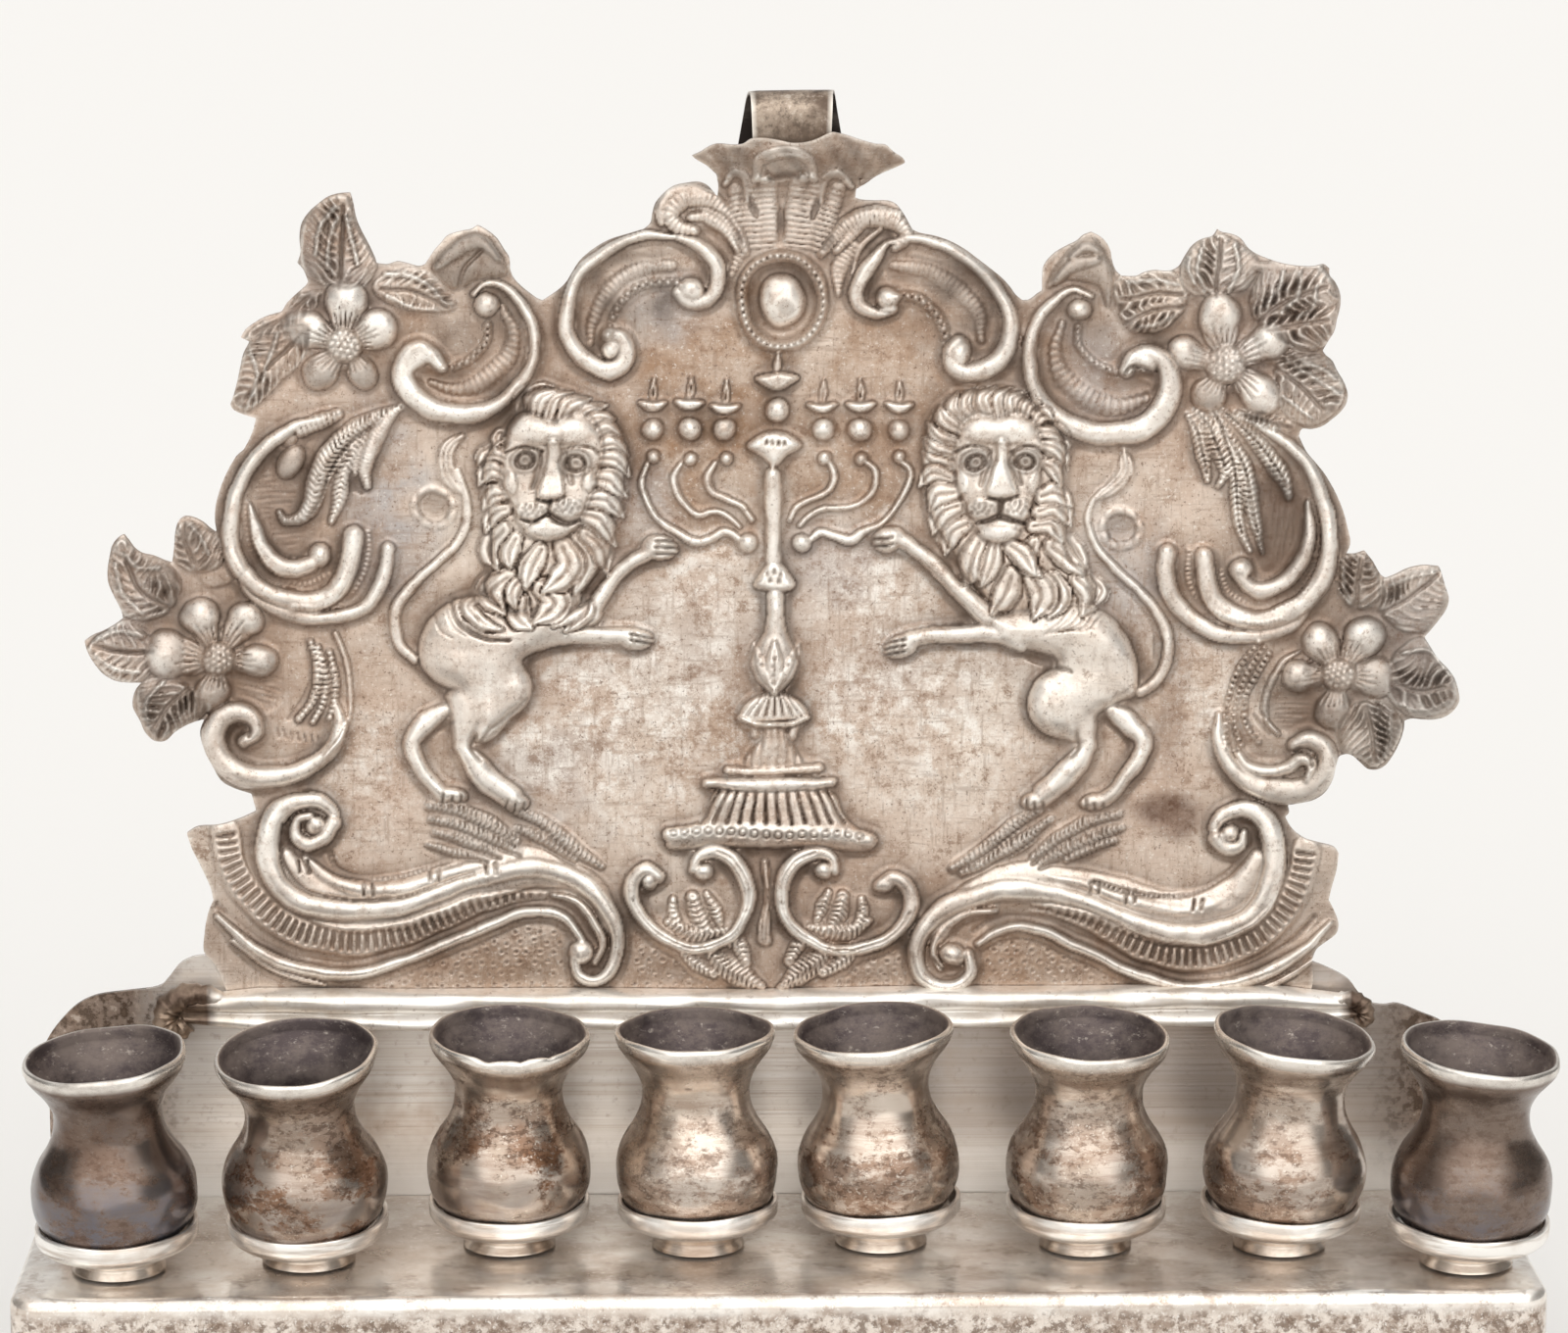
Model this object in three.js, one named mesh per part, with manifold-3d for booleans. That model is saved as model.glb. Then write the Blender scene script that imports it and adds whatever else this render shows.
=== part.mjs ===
// A silver Hanukkah lamp: an embossed plaque stands at the back of a shelf that carries eight oil cups.
// Millimetres, +Z up, the front faces -Y, and the origin is below the middle of the base.
import * as THREE from 'three';
import { mergeVertices } from 'three/addons/utils/BufferGeometryUtils.js';
import Module from 'manifold-3d';

const wasm = await Module();
wasm.setup();

// Driving dimensions of the base
const baseWidth = 240;
const shelfDepth = 52;
const footHeight = 18;
const apronHeight = 16;
const sheet = 1;
const gap = 0.3;
const cornerRadius = 5;
const bendRadius = 2;
const overrun = 10;

// How far the foremost and the last bowl pass the shelf; it keeps the origin in the middle
const frontReach = 0.53;
const sideReach = 1.97;

// Places that the base sizes settle
const shelfTop = footHeight + apronHeight;
const frontY = -(shelfDepth + sheet) / 2;
const wallFrontY = frontY + shelfDepth;
const wallBackY = wallFrontY + sheet;
const panelBackY = wallFrontY - gap;
const panelFrontY = panelBackY - sheet;

// Driving dimensions of the plaque, which is made to the width of the base
const panelShare = 0.67833;
const panelModule = baseWidth * panelShare;
const drawInShare = 0.042;
const riseShare = 1.0404;
const reliefRise = 4.2;
const rootDepth = sheet / 2;
const reliefAim = new THREE.Vector3(-22, -748, 285);
const ridgeStep = 5.6;
const outlineStep = 6;

// Driving dimensions of the lights
const lightCount = 8;
const lightPitchShare = 0.1275;
const lightPitch = baseWidth * lightPitchShare;
const lightMiddle = 2.5;
const collarRadius = 7.4;
const collarWaist = 6.8;
const collarHeight = 3.3;
const dishRadiusShare = 0.4183;
const dishRadius = lightPitch * dishRadiusShare;
const dishDepth = 4.2;
const dishChamfer = 1.7;
const dishPlate = 0.8;
const bowlRadiusShare = 0.4248;
const bowlRadius = lightPitch * bowlRadiusShare;
const bowlHeight = 30.9;
const bowlWall = 0.9;
const rivetRadius = 1;
const rivetHeadRadius = 2.4;
const rivetHeadHeight = 0.7;

// Driving dimensions of the feet
const footShoulderRadius = 7.5;
const footPostRadius = 2.6;

// Driving dimensions of the moulding and the hanging loop
const mouldingDepth = 4.4;
const mouldingBallRadius = 2.6;
const strapSheet = 0.8;
const strapReach = 60;
const strapShift = 2.1;
const strapHalfWide = 11;
const strapHalfTop = 6.7;
const strapHalfEnd = 6.1;
const loopRadius = 3.3;
const loopTopShare = 1127;
const strapEndShare = 1071;
const lipThrow = 8.2;

// Every place on the plaque is in thousandths of the module: u from the middle, v up from the shelf.
const thousandth = 1 / 1000;
const acrossAt = (u, v) => panelModule * thousandth * u * (1 - drawInShare * thousandth * v);
const heightAt = (v) => shelfTop + panelModule * thousandth * v * (riseShare - drawInShare * thousandth * v);
const placeAt = ([u, v]) => new THREE.Vector2(acrossAt(u, v), heightAt(v));
const loopTop = heightAt(loopTopShare);

// Outline of the plaque: each run is a curve that starts where the one before it ends
const outlineStartShare = [-545, 188];
const outlineShares = [
  [[-556, 215], [-568, 238], [-577, 252], [-577, 268], [-571, 290], [-568, 303]],
  [[-572, 318], [-582, 340], [-590, 357], [-595, 371]],
  [[-586, 377], [-562, 379], [-542, 385], [-525, 393]],
  [[-531, 411]],
  [[-548, 417], [-562, 426], [-573, 443], [-581, 462], [-582, 476], [-578, 488]],
  [[-594, 482], [-608, 471], [-621, 464], [-632, 468], [-642, 484], [-650, 503], [-648, 517], [-640, 525]],
  [[-655, 523], [-671, 526], [-685, 538], [-696, 553], [-699, 566], [-694, 572]],
  [[-680, 576], [-668, 583], [-659, 590]],
  [[-664, 601], [-672, 616], [-676, 634], [-674, 655], [-668, 668], [-661, 674]],
  [[-654, 667], [-647, 658], [-632, 653], [-611, 645]],
  [[-609, 662], [-608, 678], [-603, 690], [-596, 693], [-582, 688], [-567, 675]],
  [[-568, 690], [-566, 708], [-559, 732], [-549, 752]],
  [[-541, 757], [-534, 772], [-525, 794]],
  [[-552, 802]],
  [[-551, 815], [-546, 832], [-543, 850], [-531, 871]],
  [[-542, 873]],
  [[-538, 882], [-525, 892], [-501, 901]],
  [[-494, 911], [-475, 929]],
  [[-478, 940], [-486, 951]],
  [[-484, 966], [-484, 982], [-478, 997], [-466, 1009], [-450, 1018], [-434, 1021]],
  [[-430, 1006], [-424, 988], [-414, 968], [-408, 950]],
  [[-386, 951], [-358, 947]],
  [[-349, 961], [-340, 972], [-325, 981], [-304, 989]],
  [[-294, 982], [-282, 972], [-274, 959], [-270, 943]],
  [[-262, 928], [-250, 917], [-239, 911]],
  [[-226, 919], [-213, 932], [-202, 950], [-186, 965], [-165, 975], [-131, 986]],
  [[-127, 999], [-124, 1011], [-112, 1024], [-94, 1031], [-77, 1031], [-61, 1016]],
  [[-60, 1030]],
  [[78, 1030]],
  [[79, 1016]],
  [[92, 1014], [108, 1014], [119, 1010], [128, 1000], [141, 982]],
  [[160, 977], [180, 970], [202, 955], [222, 940], [236, 926], [242, 916]],
  [[250, 911], [260, 914], [270, 921]],
  [[270, 936], [273, 950], [283, 961], [300, 970], [320, 981]],
  [[331, 975], [338, 965], [341, 951], [352, 936]],
  [[366, 936], [382, 942], [398, 941], [410, 946]],
  [[417, 958], [428, 970], [449, 985]],
  [[458, 980], [470, 976], [480, 966], [490, 958], [504, 952]],
  [[522, 948], [560, 948]],
  [[566, 937], [573, 922], [575, 908], [571, 890], [556, 860]],
  [[566, 851], [574, 836], [582, 818], [581, 803]],
  [[570, 793], [557, 784], [534, 779]],
  [[534, 763]],
  [[543, 752], [555, 739], [568, 720], [577, 697], [585, 663]],
  [[582, 652]],
  [[600, 656]],
  [[609, 645], [621, 628]],
  [[634, 631], [652, 639], [677, 638]],
  [[681, 624], [686, 608], [682, 592], [661, 568]],
  [[670, 554], [682, 539], [692, 524], [697, 508], [693, 494], [681, 486], [665, 483], [641, 482]],
  [[638, 466], [631, 450], [622, 437], [611, 432], [600, 435], [589, 446], [573, 445]],
  [[571, 432], [566, 417], [555, 405], [540, 399], [521, 395]],
  [[519, 384]],
  [[527, 372], [540, 361], [556, 356], [574, 348]],
  [[574, 335], [569, 317], [564, 299]],
  [[570, 287], [574, 275], [571, 264], [560, 255], [550, 245], [547, 235], [545, 210], [535, 188]],
];

// Lip of the crest: height, left edge and right edge in thousandths, then its share of the forward throw
const lipShares = [
  [1016, -57, 75, 0], [1027, -60, 84, 0.12], [1038, -66, 104, 0.34], [1048, -75, 124, 0.56],
  [1056, -87, 130, 0.74], [1065, -75, 118, 0.88], [1073, -40, 100, 0.96], [1080, -24, 72, 1],
];

// Ridges: share of the relief's rise, half widths along the run, and the places that the run passes through.
// A blunt ridge keeps its full width at its ends, and any other tapers.
const ridgeShares = [
  // Upper scrolls beside the medallion
  { rise: 0.76, wide: [5, 9, 9, 8, 7], path: [[-92, 975], [-70, 961], [-61, 942], [-66, 919], [-95, 911]] },
  { rise: 0.72, wide: [4, 6, 7, 7, 9, 11, 11, 9], path: [[-100, 977], [-150, 973], [-195, 945], [-214, 897],
    [-205, 861], [-177, 840], [-153, 852], [-160, 874]] },
  { rise: 0.76, wide: [5, 9, 10, 8, 6], path: [[106, 967], [88, 941], [81, 920], [90, 902], [116, 903]] },
  { rise: 0.72, wide: [4, 6, 7, 8, 9, 11, 11, 8], path: [[114, 973], [165, 968], [210, 940], [236, 898],
    [232, 860], [200, 838], [179, 850], [184, 868]] },
  // Scrolls outside them
  { rise: 0.78, wide: [5, 6, 6, 7, 9, 12, 12, 11, 8], path: [[-298, 926], [-270, 921], [-248, 885],
    [-254, 835],
    [-292, 802], [-345, 800], [-378, 830], [-366, 862], [-346, 855]] },
  { rise: 0.8, wide: [5, 7, 8, 9, 12, 14, 14, 12, 8], path: [[302, 922], [274, 905], [257, 862], [268, 808],
    [310, 779], [368, 780], [402, 822], [388, 855], [356, 842]] },
  // Large side scrolls, each with a second strip, an inner curl and ribbed leaves
  { rise: 0.74, wide: [4, 8, 8, 9, 10, 11, 11, 11], path: [[-466, 791], [-508, 770], [-545, 722],
    [-551, 660],
    [-520, 618], [-475, 605], [-438, 628], [-428, 672]] },
  { rise: 0.55, wide: [4, 7, 8, 8, 8, 7], path: [[-540, 622], [-500, 596], [-450, 589], [-412, 602],
    [-398, 630],
    [-393, 660]] },
  { rise: 0.66, wide: [4, 8, 10, 10], path: [[-530, 692], [-517, 655], [-490, 639], [-464, 648]] },
  { rise: 0.66, wide: [4, 10, 13, 12, 7], path: [[-384, 802], [-432, 775], [-460, 735], [-476, 697],
    [-498, 690]] },
  { rise: 0.52, wide: [4, 9, 9, 5], path: [[-402, 784], [-430, 758], [-441, 716], [-449, 690]] },
  { rise: 0.6, wide: [4, 9, 10, 5], path: [[-388, 798], [-408, 770], [-417, 742], [-414, 724]] },
  { rise: 0.45, wide: [6, 10, 7], path: [[-445, 795], [-464, 789], [-484, 779]] },
  { rise: 0.74, wide: [4, 7, 8, 10, 11, 12, 12, 11], path: [[482, 790], [525, 762], [556, 708], [562, 650],
    [535, 600], [485, 585], [447, 605], [434, 650]] },
  { rise: 0.6, wide: [4, 8, 9, 10, 10, 9], path: [[546, 598], [505, 571], [455, 572], [412, 594],
    [396, 628],
    [396, 655]] },
  { rise: 0.66, wide: [4, 8, 9, 10], path: [[541, 700], [536, 648], [506, 617], [474, 630]] },
  { rise: 0.6, wide: [5, 10, 10, 7], path: [[440, 800], [470, 745], [484, 705], [492, 660]] },
  { rise: 0.56, wide: [4, 9, 10, 5], path: [[424, 796], [444, 772], [456, 740], [450, 724]] },
  { rise: 0.58, wide: [4, 8, 10, 6], path: [[452, 800], [484, 774], [508, 744], [521, 714]] },
  // Scrolls below the lower flowers, with their fringes
  { rise: 0.76, wide: [5, 9, 10, 12, 14, 13, 11, 8], path: [[-446, 503], [-444, 466], [-472, 438],
    [-520, 427],
    [-560, 446], [-564, 482], [-538, 492], [-527, 474]] },
  { rise: 0.4, wide: [4, 5, 5], path: [[-470, 564], [-463, 528], [-480, 492]] },
  { rise: 0.42, wide: [4, 6, 5], path: [[-452, 556], [-445, 525], [-453, 490]] },
  { rise: 0.76, wide: [5, 9, 10, 12, 14, 14, 12, 8], path: [[452, 488], [455, 450], [478, 422], [515, 411],
    [552, 420], [561, 448], [544, 463], [528, 458]] },
  { rise: 0.66, wide: [5, 8, 8], path: [[472, 448], [500, 430], [534, 440]] },
  { rise: 0.36, wide: [4, 7, 5], path: [[497, 556], [474, 515], [468, 468]] },
  // Long scrolls along the foot, each with a curl, an inner strip, an outer strip and the band between them
  { rise: 0.78, wide: [8, 12, 13, 12, 11, 11, 10, 10, 12, 12, 10, 7], path: [[-448, 384], [-470, 403],
    [-508, 385],
    [-506, 325], [-455, 295], [-385, 295], [-310, 320], [-240, 335], [-186, 311], [-161, 262], [-175, 222],
    [-203, 236]] },
  { rise: 0.82, wide: [8, 8, 6], path: [[-450, 374], [-470, 361], [-485, 374]] },
  { rise: 0.54, wide: [4, 9, 9, 9, 5], path: [[-474, 344], [-438, 317], [-390, 312], [-330, 328],
    [-276, 342]] },
  { rise: 0.58, wide: [4, 7, 7, 6, 6, 5], path: [[-560, 286], [-505, 241], [-430, 228], [-350, 251],
    [-262, 287],
    [-204, 274]] },
  { rise: 0.28, wide: [10, 12, 12, 11, 8, 4], path: [[-556, 368], [-535, 314], [-470, 267], [-400, 262],
    [-320, 289],
    [-240, 306]] },
  { rise: 0.78, wide: [8, 12, 13, 12, 11, 11, 10, 10, 12, 12, 10, 7], path: [[450, 366], [466, 391],
    [502, 378],
    [504, 318], [466, 272], [402, 266], [332, 292], [255, 310], [185, 297], [146, 262], [152, 220],
    [184, 212],
    [200, 236]] },
  { rise: 0.82, wide: [8, 8, 5], path: [[450, 364], [466, 352], [478, 366]] },
  { rise: 0.54, wide: [4, 9, 9, 9, 5], path: [[480, 322], [450, 296], [395, 289], [335, 309], [282, 325]] },
  { rise: 0.58, wide: [4, 7, 7, 6, 6, 5], path: [[562, 270], [511, 229], [437, 210], [365, 225], [270, 267],
    [212, 260]] },
  { rise: 0.28, wide: [10, 12, 12, 11, 8, 4], path: [[540, 346], [520, 292], [462, 249], [395, 244],
    [325, 275],
    [262, 291]] },
  // Pair of scrolls below the embossed lamp, the sprigs in them and the leaves under them
  { rise: 0.68, wide: [6, 9, 7, 7, 7, 8, 9, 8], path: [[-82, 334], [-55, 349], [-29, 310], [-42, 267],
    [-90, 254],
    [-138, 287], [-140, 327], [-118, 328]] },
  { rise: 0.68, wide: [6, 9, 7, 7, 7, 8, 9, 8], path: [[62, 332], [34, 346], [6, 306], [28, 264], [80, 250],
    [130, 275], [132, 314], [108, 318]] },
  { rise: 0.38, wide: [5, 9, 5], path: [[-52, 272], [-78, 269], [-108, 279]] },
  { rise: 0.4, wide: [6, 11, 6], path: [[-68, 271], [-78, 287], [-82, 305]] },
  { rise: 0.38, wide: [5, 9, 5], path: [[38, 272], [64, 269], [94, 279]] },
  { rise: 0.4, wide: [6, 11, 6], path: [[54, 271], [64, 287], [68, 305]] },
  { rise: 0.42, wide: [5, 13, 6], path: [[-16, 214], [-42, 230], [-64, 250]] },
  { rise: 0.42, wide: [5, 13, 6], path: [[6, 213], [30, 230], [52, 248]] },
  // Crest: rolled sides and the fan between them
  { rise: 0.72, wide: [4, 8, 10, 11, 9, 6], path: [[-31, 962], [-50, 993], [-80, 1014], [-105, 1003],
    [-98, 986],
    [-84, 984]] },
  { rise: 0.4, wide: [4, 8, 5], path: [[-116, 992], [-104, 1018], [-76, 1019]] },
  { rise: 0.66, wide: [4, 7, 9, 8, 5], path: [[44, 958], [76, 991], [110, 996], [130, 976], [120, 966]] },
  { rise: 0.42, wide: [7, 10, 6], path: [[-34, 963], [-38, 991], [-44, 1016]] },
  { rise: 0.44, wide: [8, 12, 8], path: [[-20, 965], [-24, 992], [-27, 1018]] },
  { rise: 0.42, wide: [8, 10, 7], path: [[-7, 967], [-9, 993], [-10, 1019]] },
  { rise: 0.42, wide: [8, 11, 7], path: [[14, 967], [18, 993], [21, 1019]] },
  { rise: 0.44, wide: [8, 12, 8], path: [[27, 965], [33, 992], [39, 1018]] },
  { rise: 0.42, wide: [7, 11, 6], path: [[40, 962], [51, 990], [60, 1015]] },
  // Leaves round the upper flowers, left and right
  { rise: 0.36, wide: [22, 36, 12], path: [[-448, 930], [-442, 965], [-446, 1008]] },
  { rise: 0.38, wide: [16, 27, 11], path: [[-484, 888], [-512, 850], [-540, 814]] },
  { rise: 0.36, wide: [10, 19, 9], path: [[-402, 928], [-368, 924], [-337, 906]] },
  { rise: 0.4, wide: [12, 26, 10], path: [[-344, 938], [-308, 956], [-280, 946]] },
  { rise: 0.42, wide: [32, 36, 12], path: [[446, 920], [448, 945], [451, 974]] },
  { rise: 0.44, wide: [16, 28, 16], path: [[412, 914], [380, 911], [348, 910]] },
  { rise: 0.48, wide: [18, 42, 14], path: [[492, 888], [530, 905], [562, 920]] },
  { rise: 0.44, wide: [14, 34, 14], path: [[502, 850], [535, 825], [568, 808]] },
  { rise: 0.42, wide: [8, 24, 10], path: [[282, 935], [318, 950], [340, 926]] },
  // Leaves round the lower flowers, left and right
  { rise: 0.42, wide: [14, 30, 12], path: [[-582, 510], [-612, 500], [-631, 480]] },
  { rise: 0.42, wide: [18, 26, 9], path: [[-630, 553], [-660, 555], [-688, 561]] },
  { rise: 0.42, wide: [14, 32, 10], path: [[-610, 610], [-640, 622], [-663, 658]] },
  { rise: 0.4, wide: [18, 26, 10], path: [[-577, 642], [-588, 660], [-599, 682]] },
  { rise: 0.4, wide: [22, 22, 12], path: [[588, 605], [596, 625], [600, 646]] },
  { rise: 0.44, wide: [18, 30, 14], path: [[622, 600], [650, 608], [674, 622]] },
  { rise: 0.44, wide: [28, 38, 14], path: [[632, 524], [660, 524], [688, 502]] },
  { rise: 0.42, wide: [22, 30, 12], path: [[592, 492], [606, 466], [612, 442]] },
  // Seven branched lamp: base, its flange, two bands, neck, collar, bulb, stem, knop, rod and crown
  { blunt: true, rise: 0.68, wide: [102, 78, 62], path: [[-5, 374], [-3, 393], [-1, 412]] },
  { blunt: true, rise: 0.8, wide: [8, 10, 10, 8], path: [[-108, 369], [-40, 372], [30, 370], [95, 362]] },
  { rise: 0.84, wide: [7, 8, 7], path: [[-70, 420], [-5, 417], [60, 421]] },
  { rise: 0.6, wide: [6, 6, 6], path: [[-50, 434], [0, 431], [46, 434]] },
  { blunt: true, rise: 0.5, wide: [42, 22, 13], path: [[-2, 434], [-1, 456], [-1, 484]] },
  { blunt: true, rise: 0.76, wide: [36, 32, 14], path: [[-1, 482], [-1, 496], [-1, 512]] },
  { blunt: true, rise: 0.82, wide: [8, 24, 24, 11], path: [[-1, 510], [-1, 534], [-1, 556], [-1, 576]] },
  { blunt: true, rise: 0.64, wide: [10, 10, 10], path: [[-1, 570], [-1, 595], [-1, 620]] },
  { blunt: true, rise: 0.76, wide: [11, 22, 9], path: [[-1, 614], [-1, 629], [-1, 646]] },
  { blunt: true, rise: 0.66, wide: [9, 8, 11, 9], path: [[-2, 643], [-3, 690], [-3, 738]] },
  { blunt: true, rise: 0.72, wide: [4, 12, 28, 14], path: [[-2, 738], [-2, 751], [-2, 764], [-2, 778]] },
  // Its six arms
  { rise: 0.38, wide: [3, 4, 5, 6, 5, 4], path: [[-131, 745], [-133, 708], [-103, 677], [-70, 668],
    [-50, 675],
    [-31, 664]] },
  { rise: 0.35, wide: [3, 4, 4, 4], path: [[-97, 746], [-100, 715], [-78, 694], [-34, 680]] },
  { rise: 0.35, wide: [3, 4, 4], path: [[-60, 746], [-65, 717], [-22, 687]] },
  { rise: 0.38, wide: [3, 4, 5, 6, 5, 4], path: [[127, 748], [135, 722], [105, 683], [75, 667], [45, 676],
    [34, 667]] },
  { rise: 0.35, wide: [3, 4, 4, 4], path: [[90, 748], [100, 722], [75, 700], [23, 682]] },
  { rise: 0.35, wide: [3, 4, 4], path: [[52, 748], [55, 720], [11, 687]] },
  // Left lion: body, thigh, forelegs, hind legs, leaves under its feet, tail, mane, chest and nose
  { blunt: true, rise: 1, wide: [13, 28, 40, 42, 26], path: [[-200, 583], [-245, 577], [-292, 567],
    [-328, 560],
    [-357, 556]] },
  { blunt: true, rise: 0.96, wide: [46, 55, 36, 12], path: [[-310, 560], [-300, 525], [-288, 498],
    [-301, 466]] },
  { rise: 0.66, wide: [14, 11, 9, 12], path: [[-206, 586], [-176, 612], [-144, 648], [-112, 661]] },
  { rise: 0.7, wide: [10, 11, 10, 11], path: [[-262, 567], [-200, 572], [-160, 570], [-128, 566]] },
  { rise: 0.74, wide: [18, 12, 10, 9, 9], path: [[-310, 480], [-306, 452], [-311, 436], [-290, 409],
    [-254, 396]] },
  { rise: 0.6, wide: [5, 9, 9, 8, 9], path: [[-326, 480], [-366, 460], [-362, 435], [-340, 408],
    [-316, 404]] },
  { rise: 0.38, wide: [5, 18, 13, 5], path: [[-350, 386], [-300, 374], [-240, 365], [-182, 338]] },
  { rise: 0.48, wide: [6, 7, 7, 6, 6, 5], path: [[-362, 548], [-384, 578], [-366, 624], [-322, 668],
    [-315, 712],
    [-322, 735]] },
  { rise: 0.4, wide: [4, 8, 4], path: [[-321, 722], [-331, 748], [-318, 770]] },
  { rise: 0.88, wide: [15, 16, 16, 16, 15, 16, 16, 16, 15], path: [[-282, 642], [-291, 690], [-290, 746],
    [-264, 794], [-222, 811], [-180, 795], [-160, 745], [-164, 692], [-184, 642]] },
  { blunt: true, rise: 0.92, wide: [56, 64, 58, 34], path: [[-238, 672], [-244, 636], [-244, 604],
    [-240, 576]] },
  { rise: 2, wide: [6, 8, 14], path: [[-226, 768], [-228, 738], [-229, 714]] },
  // Right lion, the same pieces
  { blunt: true, rise: 1, wide: [13, 27, 38, 42, 28], path: [[212, 580], [254, 576], [300, 569], [334, 558],
    [360, 540]] },
  { blunt: true, rise: 0.96, wide: [44, 57, 46, 12], path: [[322, 560], [318, 524], [306, 496],
    [300, 466]] },
  { rise: 0.66, wide: [13, 10, 9, 12], path: [[215, 588], [178, 624], [144, 656], [108, 669]] },
  { rise: 0.7, wide: [10, 11, 10, 11], path: [[250, 562], [208, 573], [160, 570], [116, 558]] },
  { rise: 0.74, wide: [18, 12, 10, 9, 9], path: [[306, 482], [316, 456], [310, 436], [290, 416],
    [252, 397]] },
  { rise: 0.6, wide: [5, 10, 9, 8, 9], path: [[325, 484], [370, 468], [370, 438], [345, 408], [316, 397]] },
  { rise: 0.4, wide: [5, 14, 12, 5], path: [[274, 387], [245, 368], [215, 350], [182, 332]] },
  { rise: 0.42, wide: [5, 14, 14, 5], path: [[350, 380], [322, 370], [292, 356], [262, 340]] },
  { rise: 0.48, wide: [6, 7, 7, 6, 5, 5], path: [[370, 512], [398, 550], [384, 600], [340, 643], [317, 685],
    [328, 714]] },
  { rise: 0.4, wide: [4, 8, 4], path: [[326, 709], [350, 730], [352, 757]] },
  { rise: 0.88, wide: [15, 16, 16, 16, 15, 16, 16, 16, 15], path: [[176, 650], [164, 698], [162, 754],
    [188, 799],
    [226, 811], [264, 798], [284, 758], [286, 700], [278, 652]] },
  { blunt: true, rise: 0.92, wide: [56, 74, 74, 46], path: [[238, 672], [258, 640], [266, 608],
    [266, 580]] },
  { rise: 2, wide: [6, 8, 14], path: [[226, 768], [228, 738], [227, 714]] },
];

// Domes: place, half width, half height, and share of the relief's rise
const domeShares = [
  // Medallion and the balls of the scrolls
  [5, 911, 45, 51, 0.35], [5, 911, 25, 30, 0.75],
  [-88, 923, 14, 13, 0.8], [112, 914, 13, 12, 0.8], [187, 855, 13, 17, 0.8], [-167, 862, 13, 13, 0.8],
  [-294, 908, 13, 14, 0.8], [307, 903, 13, 13, 0.8], [373, 848, 18, 14, 0.85], [-466, 376, 13, 12, 0.85],
  [463, 366, 12, 12, 0.85], [-198, 248, 15, 14, 0.8], [181, 244, 16, 13, 0.8], [-72, 330, 11, 10, 0.75],
  [50, 330, 11, 10, 0.75], [-126, 322, 11, 10, 0.75], [112, 316, 11, 10, 0.75], [473, 636, 14, 14, 0.8],
  [-463, 652, 13, 15, 0.8], [-492, 748, 15, 20, 0.42], [-560, 640, 24, 18, 0.3],
  // Upper left flower
  [-438, 866, 18, 18, 0.8], [-437, 909, 20, 21, 0.8], [-477, 881, 17, 21, 0.8], [-405, 883, 18, 19, 0.8],
  [-462, 840, 18, 16, 0.7], [-419, 838, 17, 13, 0.65],
  // Upper right flower
  [457, 846, 20, 20, 0.8], [450, 897, 20, 19, 0.8], [503, 869, 18, 17, 0.8], [492, 816, 20, 18, 0.8],
  [440, 815, 18, 16, 0.7], [418, 859, 16, 19, 0.8],
  // Lower left flower
  [-564, 548, 18, 18, 0.8], [-582, 590, 17, 18, 0.8], [-537, 588, 16, 16, 0.8], [-524, 547, 19, 15, 0.8],
  [-570, 513, 19, 16, 0.7], [-615, 552, 21, 21, 0.8],
  // Lower right flower
  [573, 528, 18, 18, 0.8], [555, 562, 17, 19, 0.8], [600, 567, 19, 18, 0.8], [612, 525, 20, 19, 0.8],
  [568, 492, 16, 18, 0.7], [532, 528, 15, 16, 0.7],
  // Seven branched lamp: balls, saucers and the heads of the arms
  [1, 800, 14, 14, 0.8], [1, 830, 22, 9, 0.62], [-29, 665, 11, 11, 0.7], [27, 665, 11, 11, 0.7],
  [-126, 780, 12, 12, 0.75], [-88, 780, 12, 12, 0.75], [-52, 780, 12, 12, 0.75],
  [47, 780, 12, 12, 0.75], [85, 780, 12, 12, 0.75], [124, 780, 12, 12, 0.75],
  [-126, 804, 16, 7, 0.55], [-88, 804, 16, 7, 0.55], [-52, 801, 16, 7, 0.55],
  [47, 802, 16, 7, 0.55], [85, 802, 16, 7, 0.55], [124, 803, 16, 7, 0.55],
  [-125, 752, 7, 7, 0.5], [-87, 750, 7, 7, 0.5], [-52, 750, 7, 7, 0.5],
  [47, 751, 7, 7, 0.5], [85, 750, 7, 7, 0.5], [124, 752, 8, 7, 0.5],
  // Left lion: the flat of the mane, head, muzzle and forefoot's knuckle
  [-228, 715, 68, 96, 0.78], [-231, 728, 42, 60, 1.6], [-230, 699, 34, 14, 1.8], [-188, 588, 17, 11, 0.66],
  // Right lion, the same
  [224, 717, 68, 96, 0.78], [224, 728, 44, 62, 1.6], [228, 698, 34, 14, 1.8], [196, 592, 16, 11, 0.66],
];

// Ears of the back wall, from the plaque's side outwards
const leftEarShares = [[-540, 246], [-575, 245], [-595, 240], [-612, 224], [-627, 213], [-660, 209],
  [-690, 204],
  [-712, 190], [-728, 170], [-738, 146]];
const rightEarShares = [[530, 236], [562, 228], [584, 217], [598, 201], [610, 190], [637, 190], [668, 180],
  [694, 165], [714, 146], [726, 122]];
const earEdgeInset = 1.1;

// Section of the moulding: share of its depth and share of its height
const mouldingEndShares = [-612, 598];
const mouldingRiseShares = [174, 213];
const mouldingSectionShares = [[0, 0], [0.55, 0], [0.8, 0.1], [0.85, 0.26], [0.62, 0.4], [0.64, 0.5],
  [0.94, 0.6],
  [1, 0.78], [0.82, 0.95], [0.5, 1], [0, 1]];

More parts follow.
